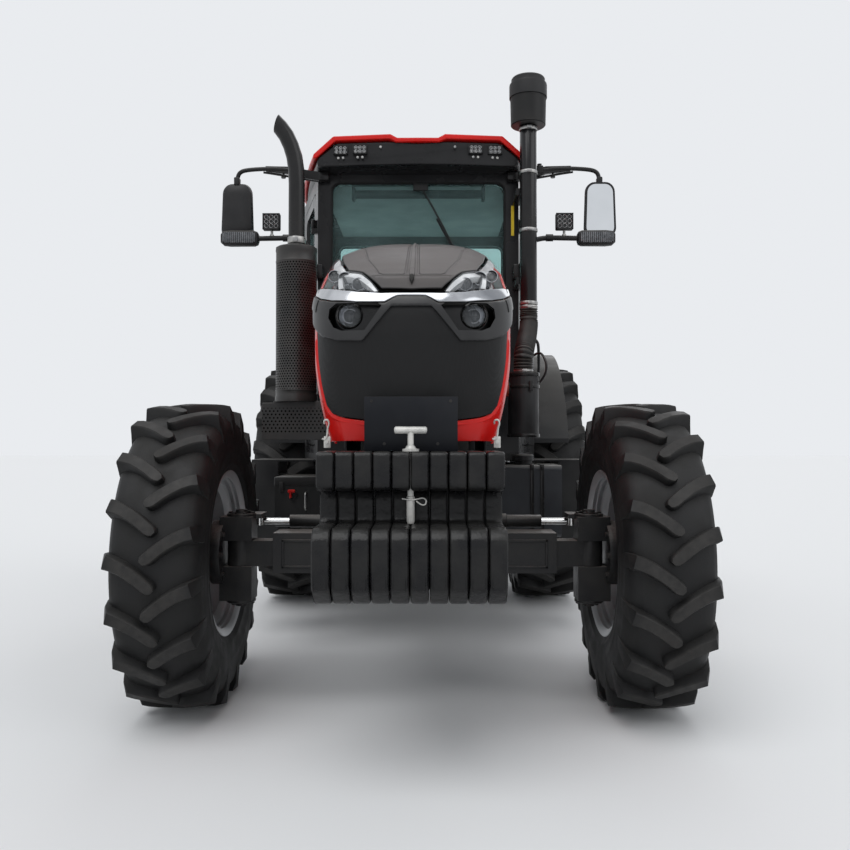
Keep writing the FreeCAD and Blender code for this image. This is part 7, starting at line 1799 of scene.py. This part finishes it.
for out in (-1, 1):
    block(armrests, (out * 0.268, 0.64, 1.785), (out * 0.322, 0.96, 1.835), 0.018, 3)
    block(armrests, (out * 0.258, 0.935, 1.66), (out * 0.3, 0.985, 1.81), 0.012)
piece("seat_armrests", armrests, seat_cloth, "chassis", "seat_fabric")

# Controls: three dials in chromed rings on the dashboard, and steel levers with red plastic
# knobs beside a moulded console.
dials = bmesh.new()
dial_faces = bmesh.new()
for x, y, radius in ((-0.085, 0.02, 0.04), (0.0, 0.02, 0.046), (0.085, 0.02, 0.04)):
    turned(dials, [(0.0, radius), (0.0, radius + 0.006), (0.01, radius + 0.004), (0.01, radius)],
        (x, y, 1.845), 36, "Z")
    turned(dial_faces, [(0.001, 0.0004), (0.001, radius), (0.004, radius), (0.004, 0.0004)],
        (x, y, 1.845), 36, "Z")
piece("dial_rings", dials, chrome, "chassis", "interior_grey")
dial_black = finish("dial_black", (0.004, 0.004, 0.005, 1), (0.01, 0.01, 0.012, 1), patch=30,
    grain=200, roughness=(0.05, 0.12), dust=0)
piece("dial_faces", dial_faces, dial_black, "chassis", "interior_grey")
levers = []
knobs = bmesh.new()
for k in (-3, -2, -1):
    levers.append(pipe("lever", [(-0.3, 0.66 + k * 0.06, 1.52), (-0.3, 0.65 + k * 0.06, 1.66),
        (-0.31, 0.61 + k * 0.06, 1.745)], 0.006))
    turned(knobs, [(1.735, 0.0006), (1.735, 0.01), (1.75, 0.017), (1.772, 0.017), (1.782, 0.01),
        (1.784, 0.0006)], (-0.31, 0.61 + k * 0.06, 0), 24, "Z")
piece("lever_stems", joined(*levers), satin_black, "chassis", "interior_grey")
piece("lever_knobs", knobs, switch_red, "chassis", "interior_grey")
console = block(None, (-0.37, 0.42, 1.12), (-0.285, 0.95, 1.53), 0.02, 3)
piece("side_console", console, moulded_black, "chassis", "interior_grey")

# Step treads: rows of raised teeth pressed up out of each steel plate, so that boots don't
# slip.
teeth = []
tooth = mesh_of(block(None, (-0.006, -0.016, 0.0), (0.006, 0.016, 0.004), 0.0015))
for level in range(3):
    for x in (-0.995, 0.9):
        for row in range(2):
            spot = (x, FRONT_AXLE + 1.375 + row * 0.13, 0.4705 + 0.255 * level)
            teeth.append(repeated(tooth, 8, satin_black, spot, move=(0.0136, 0.0, 0.0)))
piece("step_teeth", joined(*teeth), satin_black, "chassis", "black_plastic")

# Rear: moulded fenders over the wheels, with lamps of coloured plastic on them, and the
# forged three-point linkage and drawbar, pinned to the axle housing.
dress("rear_fenders", moulded_black, 0.008)
for name in ("lift_arms", "lower_links", "drawbar"):
    dress(name, cast_black, 0.003)

# Rubber seals round the rear window and the windscreen, pushed over the edge of the pane.
seal = finish("seal_rubber", (0.008, 0.008, 0.008, 1), (0.014, 0.014, 0.014, 1), patch=12,
    grain=400, roughness=(0.5, 0.68), bump=0.1, dust=0.12, shine=0.2)
for name, y, middle, half_x, half_z, thick in (("rear_window_seal", 1.3695, 2.34, 0.64, 0.375,
        0.009), ("windscreen_seal", -0.2585, 2.2475, 0.516, 0.488, 0.007)):
    edge_line = [(x, y, middle + z) for x, z in rounded_box(half_x, half_z, 0.05, 5)]
    piece(name, pipe("seal", edge_line, thick, closed=True, sides=3), seal, "chassis", "cab_black")
lamp_red = finish("tail_red", (0.42, 0.006, 0.006, 1), (0.52, 0.012, 0.01, 1), patch=20, grain=500,
    roughness=(0.08, 0.18), bump=0.1, dust=0.1)
reds = bmesh.new()
amber_ends = bmesh.new()
whites = bmesh.new()
for out in (-1, 1):
    y = FRONT_AXLE + 3.5985
    for shape, a, b in ((amber_ends, 0.902, 0.954), (reds, 0.846, 0.9), (whites, 0.806, 0.844)):
        x0, x1 = sorted((out * a, out * b))
        block(shape, (x0, y, 1.498), (x1, y + 0.01, 1.562), 0.004)
        for row in range(6):
            block(shape, (x0 + 0.003, y + 0.008, 1.503 + row * 0.0095),
                (x1 - 0.003, y + 0.0125, 1.508 + row * 0.0095), 0.001)
piece("tail_lamp_red", reds, lamp_red, "chassis", "lamp_clear")
piece("tail_lamp_amber", amber_ends, amber, "chassis", "lamp_clear")
piece("tail_lamp_white", whites, lamp_white, "chassis", "lamp_clear")
ball_steel = finish("worn_steel", (0.2, 0.19, 0.18, 1), (0.36, 0.35, 0.33, 1), patch=20, grain=300,
    roughness=(0.28, 0.5), metal=0.9, bump=0.2, dust=0.1)
for name in ("lift_rods", "top_link"):
    dress(name, ball_steel, 0.002)
